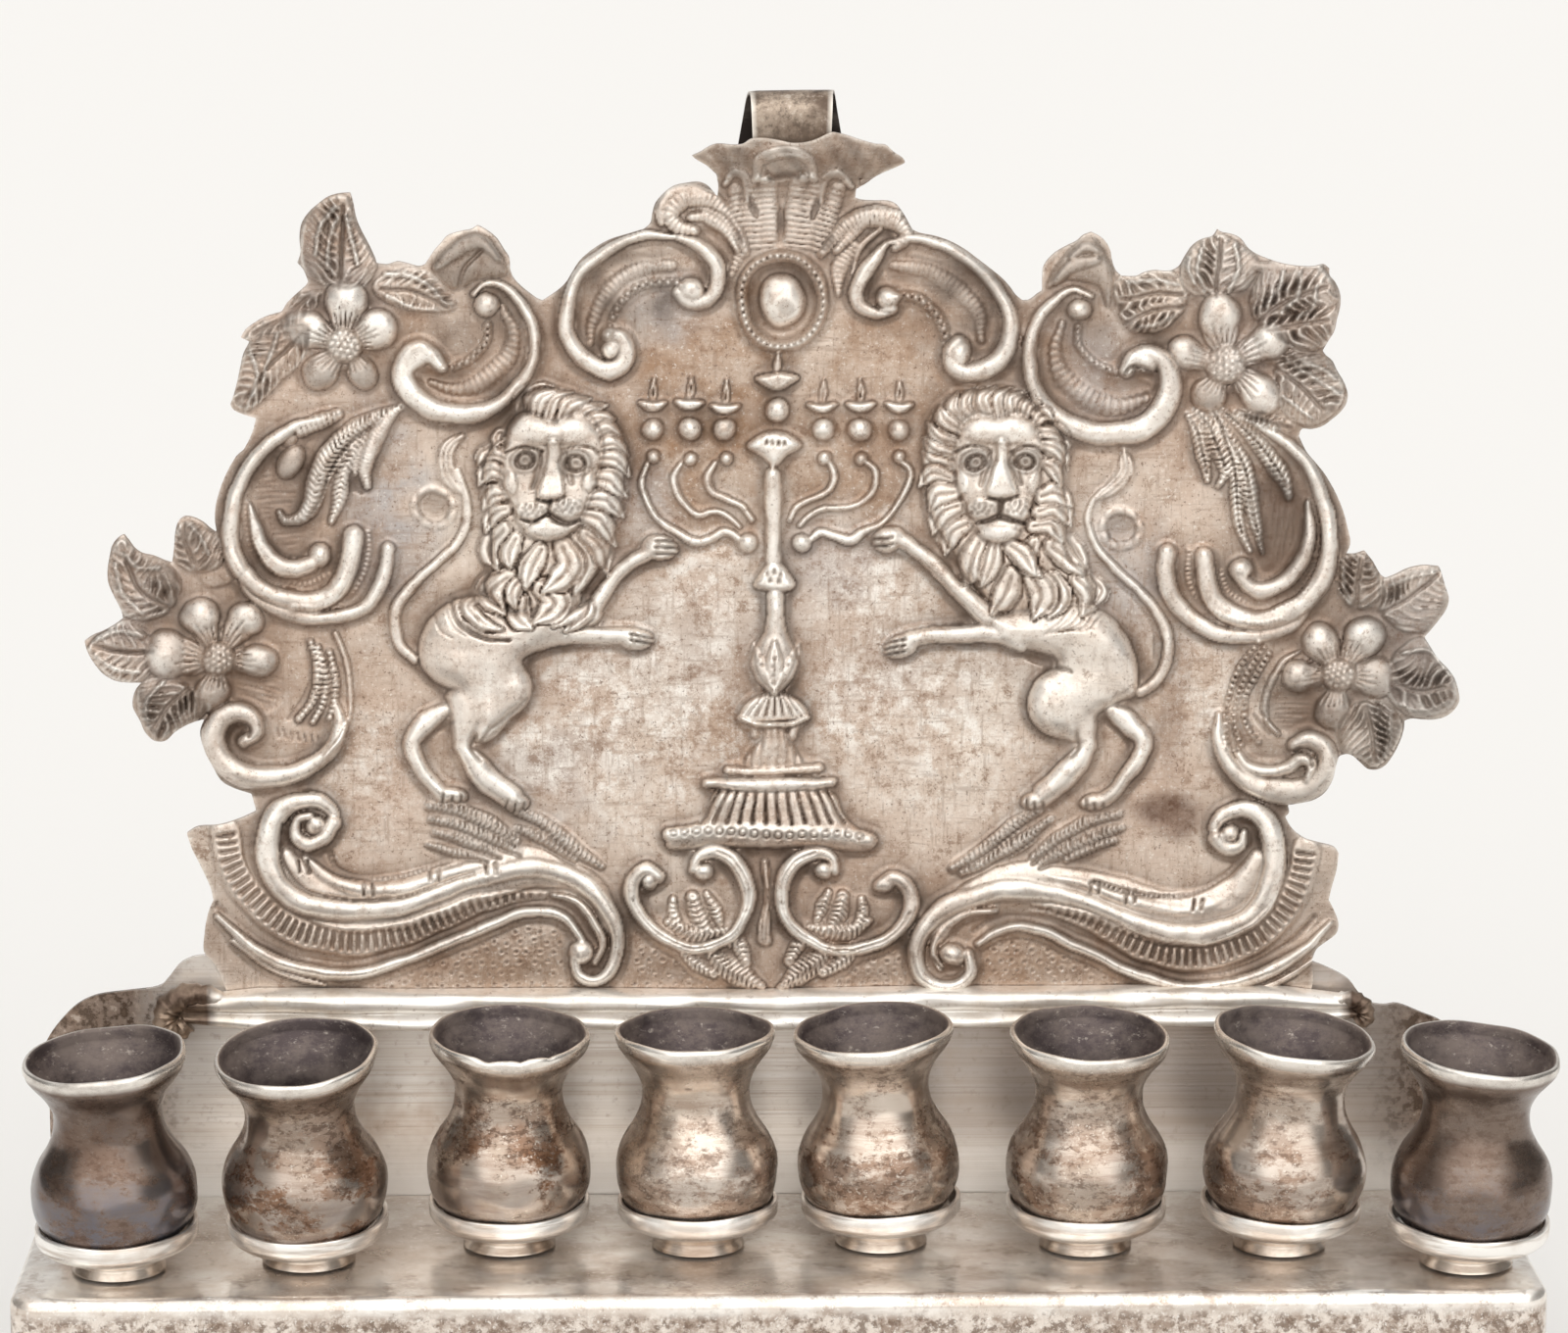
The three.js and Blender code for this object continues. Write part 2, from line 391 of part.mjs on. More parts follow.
// Outside of a bowl: share of its radius and share of its height, from the foot ring to the mouth
const bowlOuterShares = [[0.46, 0], [0.76, 0.045], [0.97, 0.17], [0.99, 0.32], [0.79, 0.5], [0.66, 0.64],
  [0.74, 0.81], [0.972, 0.95], [0.972, 1]];
const bowlKickShares = [0.27, 0.043];

// Outside of a foot: share of its shoulder's radius and share of the foot's height
const footShares = [[0.6, 0], [0.86, 0.05], [1, 0.2], [0.96, 0.38], [0.6, 0.52], [0.52, 0.64], [0.74, 0.74],
  [1, 0.86], [1, 0.94]];

// The lights stand unevenly: share of their pitch along X, and share of the shelf's depth before the wall
const lightShiftShares = [0.014, -0.019, 0.013, -0.002, -0.043, 0.024, 0.04, -0.026];
const lightSetbackShares = [0.708, 0.631, 0.495, 0.512, 0.485, 0.529, 0.544, 0.72];

// Degrees that each dish leans forwards and to +X, then the degrees that its bowl leans further
const lightLeans = [[2.5, -2, 2.5, 0], [5, -1.5, 5, -0.5], [2.5, 0, 2.5, 0.5], [0, -0.5, 0.4, -0.5],
  [1, -1, 1.5, -2], [2.5, 0, 2.5, 0], [2.5, 1, 2, 1.5], [2.5, 1.5, 2, 0]];

const roundSegments = 14;
const smallSegments = 10;
const rivetSegments = 6;

// Solids from meshes and back
const solidOf = (geometry) => {
  const plain = geometry.clone();
  plain.deleteAttribute('normal');
  plain.deleteAttribute('uv');
  const merged = mergeVertices(plain);
  const vertProperties = new Float32Array(merged.attributes.position.array);
  const triVerts = new Uint32Array(merged.index.array);
  return new wasm.Manifold(new wasm.Mesh({ numProp: 3, vertProperties, triVerts }));
};

const geometryOf = (solid) => {
  const mesh = solid.getMesh();
  const geometry = new THREE.BufferGeometry();
  geometry.setAttribute('position', new THREE.BufferAttribute(new Float32Array(mesh.vertProperties), 3));
  geometry.setIndex(new THREE.BufferAttribute(new Uint32Array(mesh.triVerts), 1));
  return geometry;
};

const joined = (solids) => solids.reduce((whole, solid) => whole.add(solid));

// A closed skin over rings that all have as many points, with a flat cap at each end
const loft = (rings) => {
  const count = rings[0].length;
  const corners = rings.flat();
  const faces = [];
  for (let ring = 0; ring + 1 < rings.length; ring += 1) {
    for (let side = 0; side < count; side += 1) {
      const next = (side + 1) % count;
      const low = ring * count;
      const high = low + count;
      faces.push([low + side, low + next, high + next], [low + side, high + next, high + side]);
    }
  }
  const last = (rings.length - 1) * count;
  for (let side = 1; side + 1 < count; side += 1) {
    faces.push([0, side + 1, side], [last, last + side, last + side + 1]);
  }
  const volume = faces.reduce((sum, [a, b, c]) => {
    const normal = new THREE.Vector3().crossVectors(corners[b], corners[c]);
    return sum + corners[a].dot(normal);
  }, 0);
  const turned = volume < 0 ? faces.map(([a, b, c]) => [a, c, b]) : faces;
  const geometry = new THREE.BufferGeometry().setFromPoints(corners);
  geometry.setIndex(turned.flat());
  return geometry;
};

// A flat plate from an outline of X and Z, with its back at a given Y
const plate = (points, thickness, backY) => {
  const shape = new THREE.Shape(points);
  const geometry = new THREE.ExtrudeGeometry(shape, { depth: thickness, bevelEnabled: false, steps: 1 });
  geometry.rotateX(Math.PI / 2);
  geometry.translate(0, backY, 0);
  return geometry;
};

const box = (lowX, lowY, lowZ, highX, highY, highZ) => {
  const geometry = new THREE.BoxGeometry(highX - lowX, highY - lowY, highZ - lowZ);
  geometry.translate((lowX + highX) / 2, (lowY + highY) / 2, (lowZ + highZ) / 2);
  return geometry;
};

// A turned piece from pairs of radius and height, standing on Z
const turned = (pairs, segments) => {
  const geometry = new THREE.LatheGeometry(pairs.map(([r, z]) => new THREE.Vector2(r, z)), segments);
  geometry.rotateX(Math.PI / 2);
  return geometry;
};

// Value of a row of numbers at a share of its length
const along = (row, share) => {
  const place = share * (row.length - 1);
  const index = Math.min(Math.floor(place), row.length - 2);
  return THREE.MathUtils.lerp(row[index], row[index + 1], place - index);
};

// Plaque
const outlinePoints = () => {
  const points = [placeAt(outlineStartShare)];
  for (const run of outlineShares) {
    const knots = [points.at(-1), ...run.map(placeAt)];
    if (knots.length === 2) {
      points.push(knots[1]);
      continue;
    }
    const curve = new THREE.CatmullRomCurve3(knots.map((knot) => new THREE.Vector3(knot.x, knot.y, 0)), false,
      'centripetal');
    const spans = Math.max(2, Math.round(curve.getLength() / outlineStep));
    points.push(...curve.getPoints(spans).slice(1).map((point) => new THREE.Vector2(point.x, point.y)));
  }
  return points;
};

// Raised work leans towards one far point in front of the lamp, the more the higher it stands
const leaned = (geometry) => {
  const place = geometry.attributes.position;
  for (let index = 0; index < place.count; index += 1) {
    const y = place.getY(index);
    const share = Math.max(0, (panelFrontY - y) / (panelFrontY - reliefAim.y));
    const x = THREE.MathUtils.lerp(place.getX(index), reliefAim.x, share);
    const z = THREE.MathUtils.lerp(place.getZ(index), reliefAim.z, share);
    place.setXYZ(index, x, y, z);
  }
  return geometry;
};

// A ridge rises from the face of the sheet and is rooted inside it
const ridgeSectionShares = [[1, 0], [0.6, 0.9], [-0.6, 0.9], [-1, 0]];
const ridgeEndShare = 0.45;

const ridge = ({ rise, wide, path, blunt = false }) => {
  const knots = path.map(placeAt).map((knot) => new THREE.Vector3(knot.x, 0, knot.y));
  const curve = new THREE.CatmullRomCurve3(knots, false, 'centripetal');
  const steps = Math.max(3, Math.round(curve.getLength() / ridgeStep));
  const rings = [];
  for (let step = 0; step <= steps; step += 1) {
    const share = step / steps;
    const centre = curve.getPointAt(share);
    const heading = curve.getTangentAt(share);
    const across = new THREE.Vector3(-heading.z, 0, heading.x);
    const ending = !blunt && (step === 0 || step === steps) ? ridgeEndShare : 1;
    const halfWidth = along(wide, share) * panelModule * thousandth * ending;
    const height = rise * reliefRise * ending;
    rings.push(ridgeSectionShares.map(([side, lift]) => {
      const y = lift > 0 ? panelFrontY - lift * height : panelFrontY + rootDepth;
      return new THREE.Vector3(centre.x, y, centre.z).addScaledVector(across, side * halfWidth);
    }));
  }
  return loft(rings);
};

const largeDomeShare = 36;

const dome = ([u, v, halfWide, halfHigh, rise]) => {
  const centre = placeAt([u, v]);
  const large = halfWide > largeDomeShare;
  const geometry = new THREE.SphereGeometry(1, large ? smallSegments : rivetSegments, large ? 6 : 4);
  const size = panelModule * thousandth;
  geometry.scale(halfWide * size, rise * reliefRise + rootDepth, halfHigh * size);
  geometry.translate(centre.x, panelFrontY + rootDepth, centre.y);
  return geometry;
};

const lip = () => {
  const columns = 6;
  const rings = lipShares.map(([v, left, right, lean], row) => {
    const before = lipShares[Math.max(row - 1, 0)];
    const after = lipShares[Math.min(row + 1, lipShares.length - 1)];
    const climb = heightAt(after[0]) - heightAt(before[0]);
    const throwOut = (after[3] - before[3]) * lipThrow;
    const slope = new THREE.Vector2(-throwOut, climb).normalize();
    const front = [];
    const back = [];
    for (let column = 0; column <= columns; column += 1) {
      const x = THREE.MathUtils.lerp(acrossAt(left, v), acrossAt(right, v), column / columns);
      const y = panelFrontY - lean * lipThrow;
      front.push(new THREE.Vector3(x, y, heightAt(v)));
      back.push(new THREE.Vector3(x, y + sheet * slope.y, heightAt(v) - sheet * slope.x));
    }
    return [...front, ...back.reverse()];
  });
  return loft(rings);
};

const backplate = () => {
  const sheetSolid = solidOf(plate(outlinePoints(), sheet, panelBackY));
  const ridges = ridgeShares.map((row) => solidOf(leaned(ridge(row))));
  const domes = domeShares.map((row) => solidOf(leaned(dome(row))));
  const front = joined([sheetSolid, solidOf(leaned(lip())), ...ridges, ...domes]);
  const room = box(-baseWidth, panelBackY, 0, baseWidth, wallBackY + overrun, loopTop);
  const mouldingTop = heightAt(mouldingRiseShares[1]);
  const mouldingRoom = box(-baseWidth, frontY, 0, baseWidth, panelFrontY, mouldingTop + gap);
  return geometryOf(front.subtract(solidOf(room)).subtract(solidOf(mouldingRoom)));
};

// Base: the shelf is a folded sheet and the back wall closes it
const trayBlock = (inset) => {
  const halfWidth = baseWidth / 2 - inset - bendRadius;
  const nearY = frontY + inset + bendRadius;
  const farY = wallBackY + overrun;
  const corner = cornerRadius - bendRadius;
  const plan = new THREE.Shape();
  plan.moveTo(-halfWidth, farY);
  plan.lineTo(-halfWidth, nearY + corner);
  plan.quadraticCurveTo(-halfWidth, nearY, -halfWidth + corner, nearY);
  plan.lineTo(halfWidth - corner, nearY);
  plan.quadraticCurveTo(halfWidth, nearY, halfWidth, nearY + corner);
  plan.lineTo(halfWidth, farY);
  const geometry = new THREE.ExtrudeGeometry(plan, {
    depth: shelfTop, bevelThickness: bendRadius, bevelSize: bendRadius, bevelSegments: 3, curveSegments: 3,
  });
  geometry.translate(0, 0, -bendRadius - inset);
  return solidOf(geometry);
};

const lightPlaces = () => {
  const places = [];
  for (let light = 0; light < lightCount; light += 1) {
    const step = light - (lightCount - 1) / 2 + lightShiftShares[light % lightShiftShares.length];
    const y = wallFrontY - lightSetbackShares[light % lightSetbackShares.length] * shelfDepth;
    places.push(new THREE.Vector2(lightMiddle + step * lightPitch, y));
  }
  return places;
};

const shelf = () => {
  const keep = box(-baseWidth, frontY - overrun, footHeight, baseWidth, wallFrontY - gap, shelfTop + overrun);
  const tray = trayBlock(0).subtract(trayBlock(sheet)).intersect(solidOf(keep));
  const holes = lightPlaces().map((place) => {
    const holeRadius = rivetRadius + gap;
    const hole = new THREE.CylinderGeometry(holeRadius, holeRadius, sheet + overrun, smallSegments);
    hole.rotateX(Math.PI / 2);
    hole.translate(place.x, place.y, shelfTop);
    return solidOf(hole);
  });
  return geometryOf(tray.subtract(joined(holes)));
};

const backWall = () => {
  const edge = baseWidth / 2 - earEdgeInset;
  const left = leftEarShares.map(placeAt).reverse();
  const right = rightEarShares.map(placeAt);
  const points = [
    new THREE.Vector2(-baseWidth / 2, footHeight), new THREE.Vector2(-baseWidth / 2, shelfTop),
    new THREE.Vector2(-edge, shelfTop), new THREE.Vector2(-edge, left[0].y - gap), ...left,
    ...right, new THREE.Vector2(edge, right.at(-1).y - gap), new THREE.Vector2(edge, shelfTop),
    new THREE.Vector2(baseWidth / 2, shelfTop), new THREE.Vector2(baseWidth / 2, footHeight),
  ];
  return plate(points, sheet, wallBackY);
};

const moulding = () => {
  const backY = panelFrontY - gap;
  const [low, high] = mouldingRiseShares.map(heightAt);
  const ends = mouldingEndShares.map((u) => acrossAt(u, mouldingRiseShares[0]));
  const rings = ends.map((x) => mouldingSectionShares.map(([depth, height]) => (
    new THREE.Vector3(x, backY - depth * mouldingDepth, THREE.MathUtils.lerp(low, high, height))
  )));
  const balls = ends.map((x) => {
    const ball = new THREE.SphereGeometry(mouldingBallRadius, rivetSegments, 6);
    ball.translate(x, backY - mouldingBallRadius, (low + high) / 2);
    return solidOf(ball);
  });
  return geometryOf(joined([solidOf(loft(rings)), ...balls]));
};

// The strap climbs behind the plaque, turns over forwards and ends behind the lip
const hangingLoop = () => {
  const backY = wallFrontY + strapSheet / 2;
  const bendY = backY - loopRadius;
  const bendZ = loopTop - loopRadius - strapSheet / 2;
  const frontEndY = bendY - loopRadius;
  const path = [
    new THREE.Vector2(backY, bendZ - strapReach),
    new THREE.Vector2(backY, bendZ - strapReach / 2),
  ];
  const turns = 8;
  for (let turn = 0; turn <= turns; turn += 1) {
    const angle = Math.PI * turn / turns;
    path.push(new THREE.Vector2(bendY + loopRadius * Math.cos(angle), bendZ + loopRadius * Math.sin(angle)));
  }
  path.push(new THREE.Vector2(frontEndY, heightAt(strapEndShare)));
  const reach = path.map((point, index) => (index ? point.distanceTo(path[index - 1]) : 0));
  const total = reach.reduce((sum, length) => sum + length, 0);
  let run = 0;
  const rings = path.map((point, index) => {
    run += reach[index];
    const before = path[Math.max(index - 1, 0)];
    const after = path[Math.min(index + 1, path.length - 1)];
    const side = new THREE.Vector2(after.y - before.y, before.x - after.x).setLength(strapSheet / 2);
    const half = along([strapHalfWide, strapHalfTop, strapHalfEnd], run / total);
    return [[-half, 1], [half, 1], [half, -1], [-half, -1]].map(([x, face]) => (
      new THREE.Vector3(strapShift + x, point.x + face * side.x, point.y + face * side.y)
    ));
  });
  return loft(rings);
};

// Lights: the rivet is upright, and dish and bowl lean about the middle of the collar's top
const collarTop = gap + collarHeight;
const dishFloor = gap;
const dishFloorTop = dishFloor + dishPlate;

const leanOf = ([forward, aside]) => (
  new THREE.Euler(THREE.MathUtils.degToRad(forward), THREE.MathUtils.degToRad(aside), 0)
);

// A collar stands flat on the shelf and its top follows the lean
const collar = (lean) => {
  const geometry = turned([
    [rivetRadius + gap, 0], [collarRadius, 0], [collarWaist, collarHeight / 2], [collarRadius, collarHeight],
    [rivetRadius + gap, collarHeight], [rivetRadius + gap, 0],
  ], smallSegments);
  const place = geometry.attributes.position;
  for (let index = 0; index < place.count; index += 1) {
    const foot = new THREE.Vector3().fromBufferAttribute(place, index);
    const rise = new THREE.Vector3(0, 0, collarHeight);
    const top = foot.clone().sub(rise).applyEuler(lean).add(rise);
    foot.lerp(top, foot.z / collarHeight);
    place.setXYZ(index, foot.x, foot.y, foot.z + gap);
  }
  return geometry;
};

const dish = () => turned([
  [rivetRadius + gap, dishFloor], [dishRadius - dishChamfer - dishPlate / 2, dishFloor],
  [dishRadius, dishFloor + dishChamfer], [dishRadius, dishFloor + dishDepth],
  [dishRadius - dishPlate, dishFloor + dishDepth], [dishRadius - dishPlate, dishFloor + dishChamfer],
  [dishRadius - dishChamfer, dishFloorTop], [rivetRadius + gap, dishFloorTop], [rivetRadius + gap, dishFloor],
], roundSegments);

const rivet = () => {
  const tailTop = -sheet - gap;
  const headLow = collarTop + dishFloorTop + gap;
  return turned([
    [0, tailTop - rivetHeadHeight], [rivetHeadRadius, tailTop - rivetHeadHeight], [rivetHeadRadius, tailTop],
    [rivetRadius, tailTop], [rivetRadius, headLow], [rivetHeadRadius, headLow],
    [rivetHeadRadius - rivetHeadHeight / 2, headLow + rivetHeadHeight], [0, headLow + rivetHeadHeight],
  ], rivetSegments);
};

const bowl = () => {
  const outside = bowlOuterShares.map(([r, z]) => [r * bowlRadius, z * bowlHeight]);
  const inside = bowlOuterShares.slice(2, -1).reverse()
    .map(([r, z]) => [r * bowlRadius - bowlWall, z * bowlHeight + bowlWall * (1 - z)]);
  const [kickRadius, kickHeight] = [bowlKickShares[0] * bowlRadius, bowlKickShares[1] * bowlHeight];
  const floor = kickHeight + bowlWall;
  const [cornerRound] = outside[1];
  return turned([
    [0, kickHeight], [kickRadius, kickHeight], ...outside,
    [outside.at(-1)[0] - bowlWall, bowlHeight], ...inside,
    [cornerRound - bowlWall, floor + bowlWall / 2], [kickRadius, floor], [0, floor],
  ], roundSegments);
};

const foot = () => {
  const rise = footHeight - gap;
  const postTop = shelfTop - sheet - gap;
  return turned([
    [0, 0], ...footShares.map(([r, z]) => [r * footShoulderRadius, z * rise]), [footShoulderRadius, rise],
    [footPostRadius, rise], [footPostRadius, postTop], [0, postTop],
  ], smallSegments);
};

// Silver finishes
const finish = (color, roughness) => new THREE.MeshStandardMaterial({ color, roughness, metalness: 1 });
const agedSilver = finish(0x9d948b, 0.42);
const brushedSilver = finish(0xb9b6b1, 0.38);
const brightSilver = finish(0xd2d0cc, 0.28);
const tarnishedSilver = finish(0x8c8178, 0.4);

const lamp = new THREE.Group();
const add = (name, geometry, material, x = 0, y = 0, z = 0) => {
  const mesh = new THREE.Mesh(geometry, material);
  mesh.name = name;
  mesh.position.set(x - sideReach / 2, y + frontReach / 2, z);
  lamp.add(mesh);
  return mesh;
};

add('shelf', shelf(), brushedSilver);
add('back_wall', backWall(), brushedSilver);
add('backplate', backplate(), agedSilver);
add('base_moulding', moulding(), brightSilver);
add('hanging_loop', hangingLoop(), agedSilver);

lightPlaces().forEach((place, index) => {
  const number = index + 1;
  const [forward, aside, further, beyond] = lightLeans[index % lightLeans.length];
  const lean = leanOf([forward, aside]);
  const topZ = shelfTop + collarTop;
  const ringRadius = bowlRadius * bowlOuterShares[0][0];
  const ringDrop = Math.sin(THREE.MathUtils.degToRad(Math.hypot(further, beyond))) * ringRadius;
  const seat = new THREE.Vector3(0, 0, dishFloorTop + gap + ringDrop).applyEuler(lean);
  add(`cup_foot_${number}`, collar(lean), brightSilver, place.x, place.y, shelfTop);
  add(`drip_dish_${number}`, dish(), brightSilver, place.x, place.y, topZ).rotation.copy(lean);
  add(`cup_rivet_${number}`, rivet(), brightSilver, place.x, place.y, shelfTop);
  add(`oil_cup_${number}`, bowl(), tarnishedSilver, place.x + seat.x, place.y + seat.y, topZ + seat.z)
    .rotation.copy(leanOf([forward + further, aside + beyond]));
});

const footX = baseWidth / 2 - footShoulderRadius;
const footPlaces = [[-footX, frontY + footShoulderRadius], [footX, frontY + footShoulderRadius],
  [-footX, wallBackY - footShoulderRadius], [footX, wallBackY - footShoulderRadius]];
footPlaces.forEach(([x, y], index) => add(`foot_${index + 1}`, foot(), agedSilver, x, y));

export default lamp;
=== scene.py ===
"""A silver Hanukkah lamp: an embossed plaque at the back of a shelf that carries eight oil cups."""
import math
import bpy
import numpy as np
from mathutils import Euler, Matrix, Vector


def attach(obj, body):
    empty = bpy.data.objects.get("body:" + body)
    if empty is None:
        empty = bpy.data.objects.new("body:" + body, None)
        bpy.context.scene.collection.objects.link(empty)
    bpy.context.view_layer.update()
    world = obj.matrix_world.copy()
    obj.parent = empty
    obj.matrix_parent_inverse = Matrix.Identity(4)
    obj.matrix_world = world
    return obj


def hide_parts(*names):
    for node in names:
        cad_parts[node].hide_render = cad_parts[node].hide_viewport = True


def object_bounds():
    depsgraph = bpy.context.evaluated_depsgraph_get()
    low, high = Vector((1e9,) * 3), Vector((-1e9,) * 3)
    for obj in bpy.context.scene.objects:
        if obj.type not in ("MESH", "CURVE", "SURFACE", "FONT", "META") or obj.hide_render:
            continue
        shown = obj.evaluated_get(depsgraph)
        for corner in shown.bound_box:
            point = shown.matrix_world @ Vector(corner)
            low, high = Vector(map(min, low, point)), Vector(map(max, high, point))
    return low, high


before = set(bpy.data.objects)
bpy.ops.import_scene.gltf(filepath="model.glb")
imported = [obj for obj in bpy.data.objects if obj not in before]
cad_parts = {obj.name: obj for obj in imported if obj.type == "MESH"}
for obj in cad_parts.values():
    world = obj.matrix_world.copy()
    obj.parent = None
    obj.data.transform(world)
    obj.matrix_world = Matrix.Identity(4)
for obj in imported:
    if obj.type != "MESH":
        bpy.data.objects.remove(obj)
CAD_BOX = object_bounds()


# The object in millimetres. The module is the plaque's unit, and the shifts centre the base.
MODULE = 162.8
UNIT = MODULE / 1000
# A millimetre in metres
MM = 0.001
SHIFT_X, SHIFT_Y = -0.985, 0.265
BASE_HALF = 120.0
SHELF_DEPTH = 52.0
FRONT_Y = -26.5
WALL_Y = FRONT_Y + SHELF_DEPTH
SHELF_Z = 34.0
FOOT_Z = 18.0
SHEET = 1.0
# Room between pieces that sit on one another
GAP = 0.3
PANEL_Y = 24.2
# The eye from which the relief is raised and the camera looks
EYE = np.array([-23.395, -748.195, 284.8])

# Relief of the plaque: fields over u and v, in thousandths of the plaque's module
GRID_STEP = 0.25
GU = np.arange(-712.0, 712.0, GRID_STEP / UNIT)
GV = np.arange(176.0, 1098.0, GRID_STEP / UNIT)
U, V = np.meshgrid(GU, GV)
# Height in millimetres, and from 0 to 1 how dark and how rubbed the silver is, with painted shade and
# highlight
H = np.zeros_like(U)
DARK = np.zeros_like(U)
BRIGHT = np.zeros_like(U)
RNG = np.random.default_rng(7)
ON_AXIS = 1e-6
# How steeply a form falls off outside its edge
FLANK = 1.5
PILLOW_FLANK = 2


# How the plaque is stretched upwards, and how its scale shrinks towards its top
STRETCH = 1.0404
DRAW_IN = 0.042


def across_at(u, v):
    """Millimetres to the side of a place on the plaque, which draws in towards its top."""
    return MODULE * u / 1000 * (1 - DRAW_IN * v / 1000)


def height_at(v):
    """Millimetres above the ground of a place on the plaque."""
    return SHELF_Z + MODULE * v / 1000 * (STRETCH - DRAW_IN * v / 1000)


def clamped(x):
    """The value held between 0 and 1."""
    return np.clip(x, 0, 1)


def bell(x, wide):
    """1 in the middle, falling off to both sides."""
    return np.exp(-(x / wide) ** 2)


def curve(points, step=3.0, closed=False):
    """A smooth run through the points, as a dense line."""
    p = np.array(points, float)
    if closed:
        q = np.vstack([p[-1], p, p[0], p[1]])
    else:
        q = np.vstack([2 * p[0] - p[1], p, 2 * p[-1] - p[-2]])
    out = []
    for a, b, c, d in zip(q[:-3], q[1:-2], q[2:-1], q[3:]):
        t0, t1, t2 = (max(np.linalg.norm(y - x), 1e-6) ** 0.5 for x, y in ((a, b), (b, c), (c, d)))
        m1 = c - b + t1 * ((b - a) / t0 - (c - a) / (t0 + t1))
        m2 = c - b + t1 * ((d - c) / t2 - (d - b) / (t1 + t2))
        count = max(2, int(np.linalg.norm(c - b) / step))
        t = np.linspace(0, 1, count, endpoint=False)[:, None]
        out.append((2 * t**3 - 3 * t**2 + 1) * b + (t**3 - 2 * t**2 + t) * m1
                   + (3 * t**2 - 2 * t**3) * c + (t**3 - t**2) * m2)
    out.append(q[-2][None, :])
    return np.vstack(out)


def window(low, high):
    """The part of the grid between two corners."""
    i0, i1 = np.searchsorted(GV, [low[1], high[1]])
    j0, j1 = np.searchsorted(GU, [low[0], high[0]])
    return slice(i0, i1), slice(j0, j1)


def near(line, pad):
    """On the part of the grid within pad: the distance to the line, the run along it and the side of it."""
    here = window(line.min(0) - pad, line.max(0) + pad)
    shape = U[here].shape
    dist, run, side = np.full(shape, 1e6), np.zeros(shape), np.zeros(shape)
    i0, j0 = here[0].start, here[1].start
    done = 0.0
    for a, b in zip(line[:-1], line[1:]):
        ab = b - a
        size = float(np.hypot(*ab))
        if size < 1e-9:
            continue
        part = window(np.minimum(a, b) - pad, np.maximum(a, b) + pad)
        own = (slice(part[0].start - i0, part[0].stop - i0), slice(part[1].start - j0, part[1].stop - j0))
        du, dv = U[part] - a[0], V[part] - a[1]
        t = clamped((du * ab[0] + dv * ab[1]) / size**2)
        d = np.hypot(du - t * ab[0], dv - t * ab[1])
        closer = d < dist[own]
        dist[own] = np.where(closer, d, dist[own])
        run[own] = np.where(closer, done + t * size, run[own])
        side[own] = np.where(closer, np.sign(ab[0] * dv - ab[1] * du), side[own])
        done += size
    return here, dist, run, side, done


def along(values, share):
    """Values spread evenly over a run, read at a share of it."""
    values = np.atleast_1d(np.array(values, float))
    return np.interp(share, np.linspace(0, 1, len(values)), values) if len(values) > 1 else values[0]


def raised(field, here, value):
    """The field lifted to at least the value."""
    field[here] = np.maximum(field[here], value)


def put(here, value, how="max", soft=0.3):
    """A form joined to the relief: blended with what is there, added to it or cut from it."""
    old = H[here]
    if how == "max":
        gap = np.clip(soft - np.abs(old - value), 0, None)
        H[here] = np.where(value > old - soft, np.maximum(old, value) + gap**2 / (4 * soft), old)
    elif how == "add":
        H[here] = old + np.clip(value, 0, None)
    else:
        H[here] = old - np.clip(value, 0, None)


def marked(here, mask, light, dark):
    """A form's rubbed light with its painted highlight, and its tarnish with its painted shade."""
    if light:
        raised(BRIGHT, here, light * mask)
    if dark:
        raised(DARK, here, dark * mask)


def rounded(r, wide, shape):
    """The rise of a form over its half width: 1 in the middle, falling off beyond its edge."""
    return np.where(r < 1, (1 - np.minimum(r, 1) ** 2) ** shape, (1 - r) * wide * UNIT * FLANK)


def quarter_round(x):
    """The height of a quarter circle at x from 0 to 1."""
    return np.sqrt(1 - (1 - x) ** 2)


def roll(points, wide, rise, shape=0.42, base=0.0, ribs=None, lines=None, how="max", soft=0.3, shade=0.0,
         light=0.0):
    """A rounded ridge along a run; ribs cut across it, lines cut along it."""
    here, d, s, side, total = near(curve(points), float(np.max(wide)) + 5)
    t = s / total
    w = along(wide, t)
    r = d / w
    value = along(base, t) + along(rise, t) * rounded(r, w, shape)
    inside = clamped((1 - r) * 4)
    if ribs:
        spacing, depth, *tilt = ribs
        wave = 0.5 + 0.5 * np.cos(2 * np.pi * (s + 0.35 * sum(tilt) * d) / spacing)
        value = value - depth * wave ** 2 * inside
    if lines:
        spacing, depth = lines
        wave = 0.5 + 0.5 * np.cos(2 * np.pi * d * side / spacing + np.pi)
        value = value - depth * wave ** 2 * inside
    put(here, value, how, soft)
    marked(here, clamped((1 - r) * 3), light, shade)


def cut(points, wide, depth, dark=0.0):
    """A groove along a run."""
    line = curve(points) if len(points) > 2 else np.array(points, float)
    here, d, s, _, total = near(line, float(np.max(wide)) + 4)
    w = along(wide, s / total)
    put(here, along(depth, s / total) * clamped(1 - (d / w) ** 2), "cut")
    marked(here, clamped(1.3 - d / w), 0.0, dark)


def dome(u, v, ru, rv, rise, turn=0.0, shape=0.5, base=0.0, how="max", soft=0.3, light=0.0, dark=0.0):
    """A dome on an ellipse."""
    reach = max(ru, rv) + 4
    here = window((u - reach, v - reach), (u + reach, v + reach))
    c, s = math.cos(math.radians(turn)), math.sin(math.radians(turn))
    du, dv = U[here] - u, V[here] - v
    r = np.hypot((du * c + dv * s) / ru, (dv * c - du * s) / rv)
    put(here, base + rise * rounded(r, min(ru, rv), shape), how, soft)
    marked(here, clamped((1 - r) * 3), light, dark)


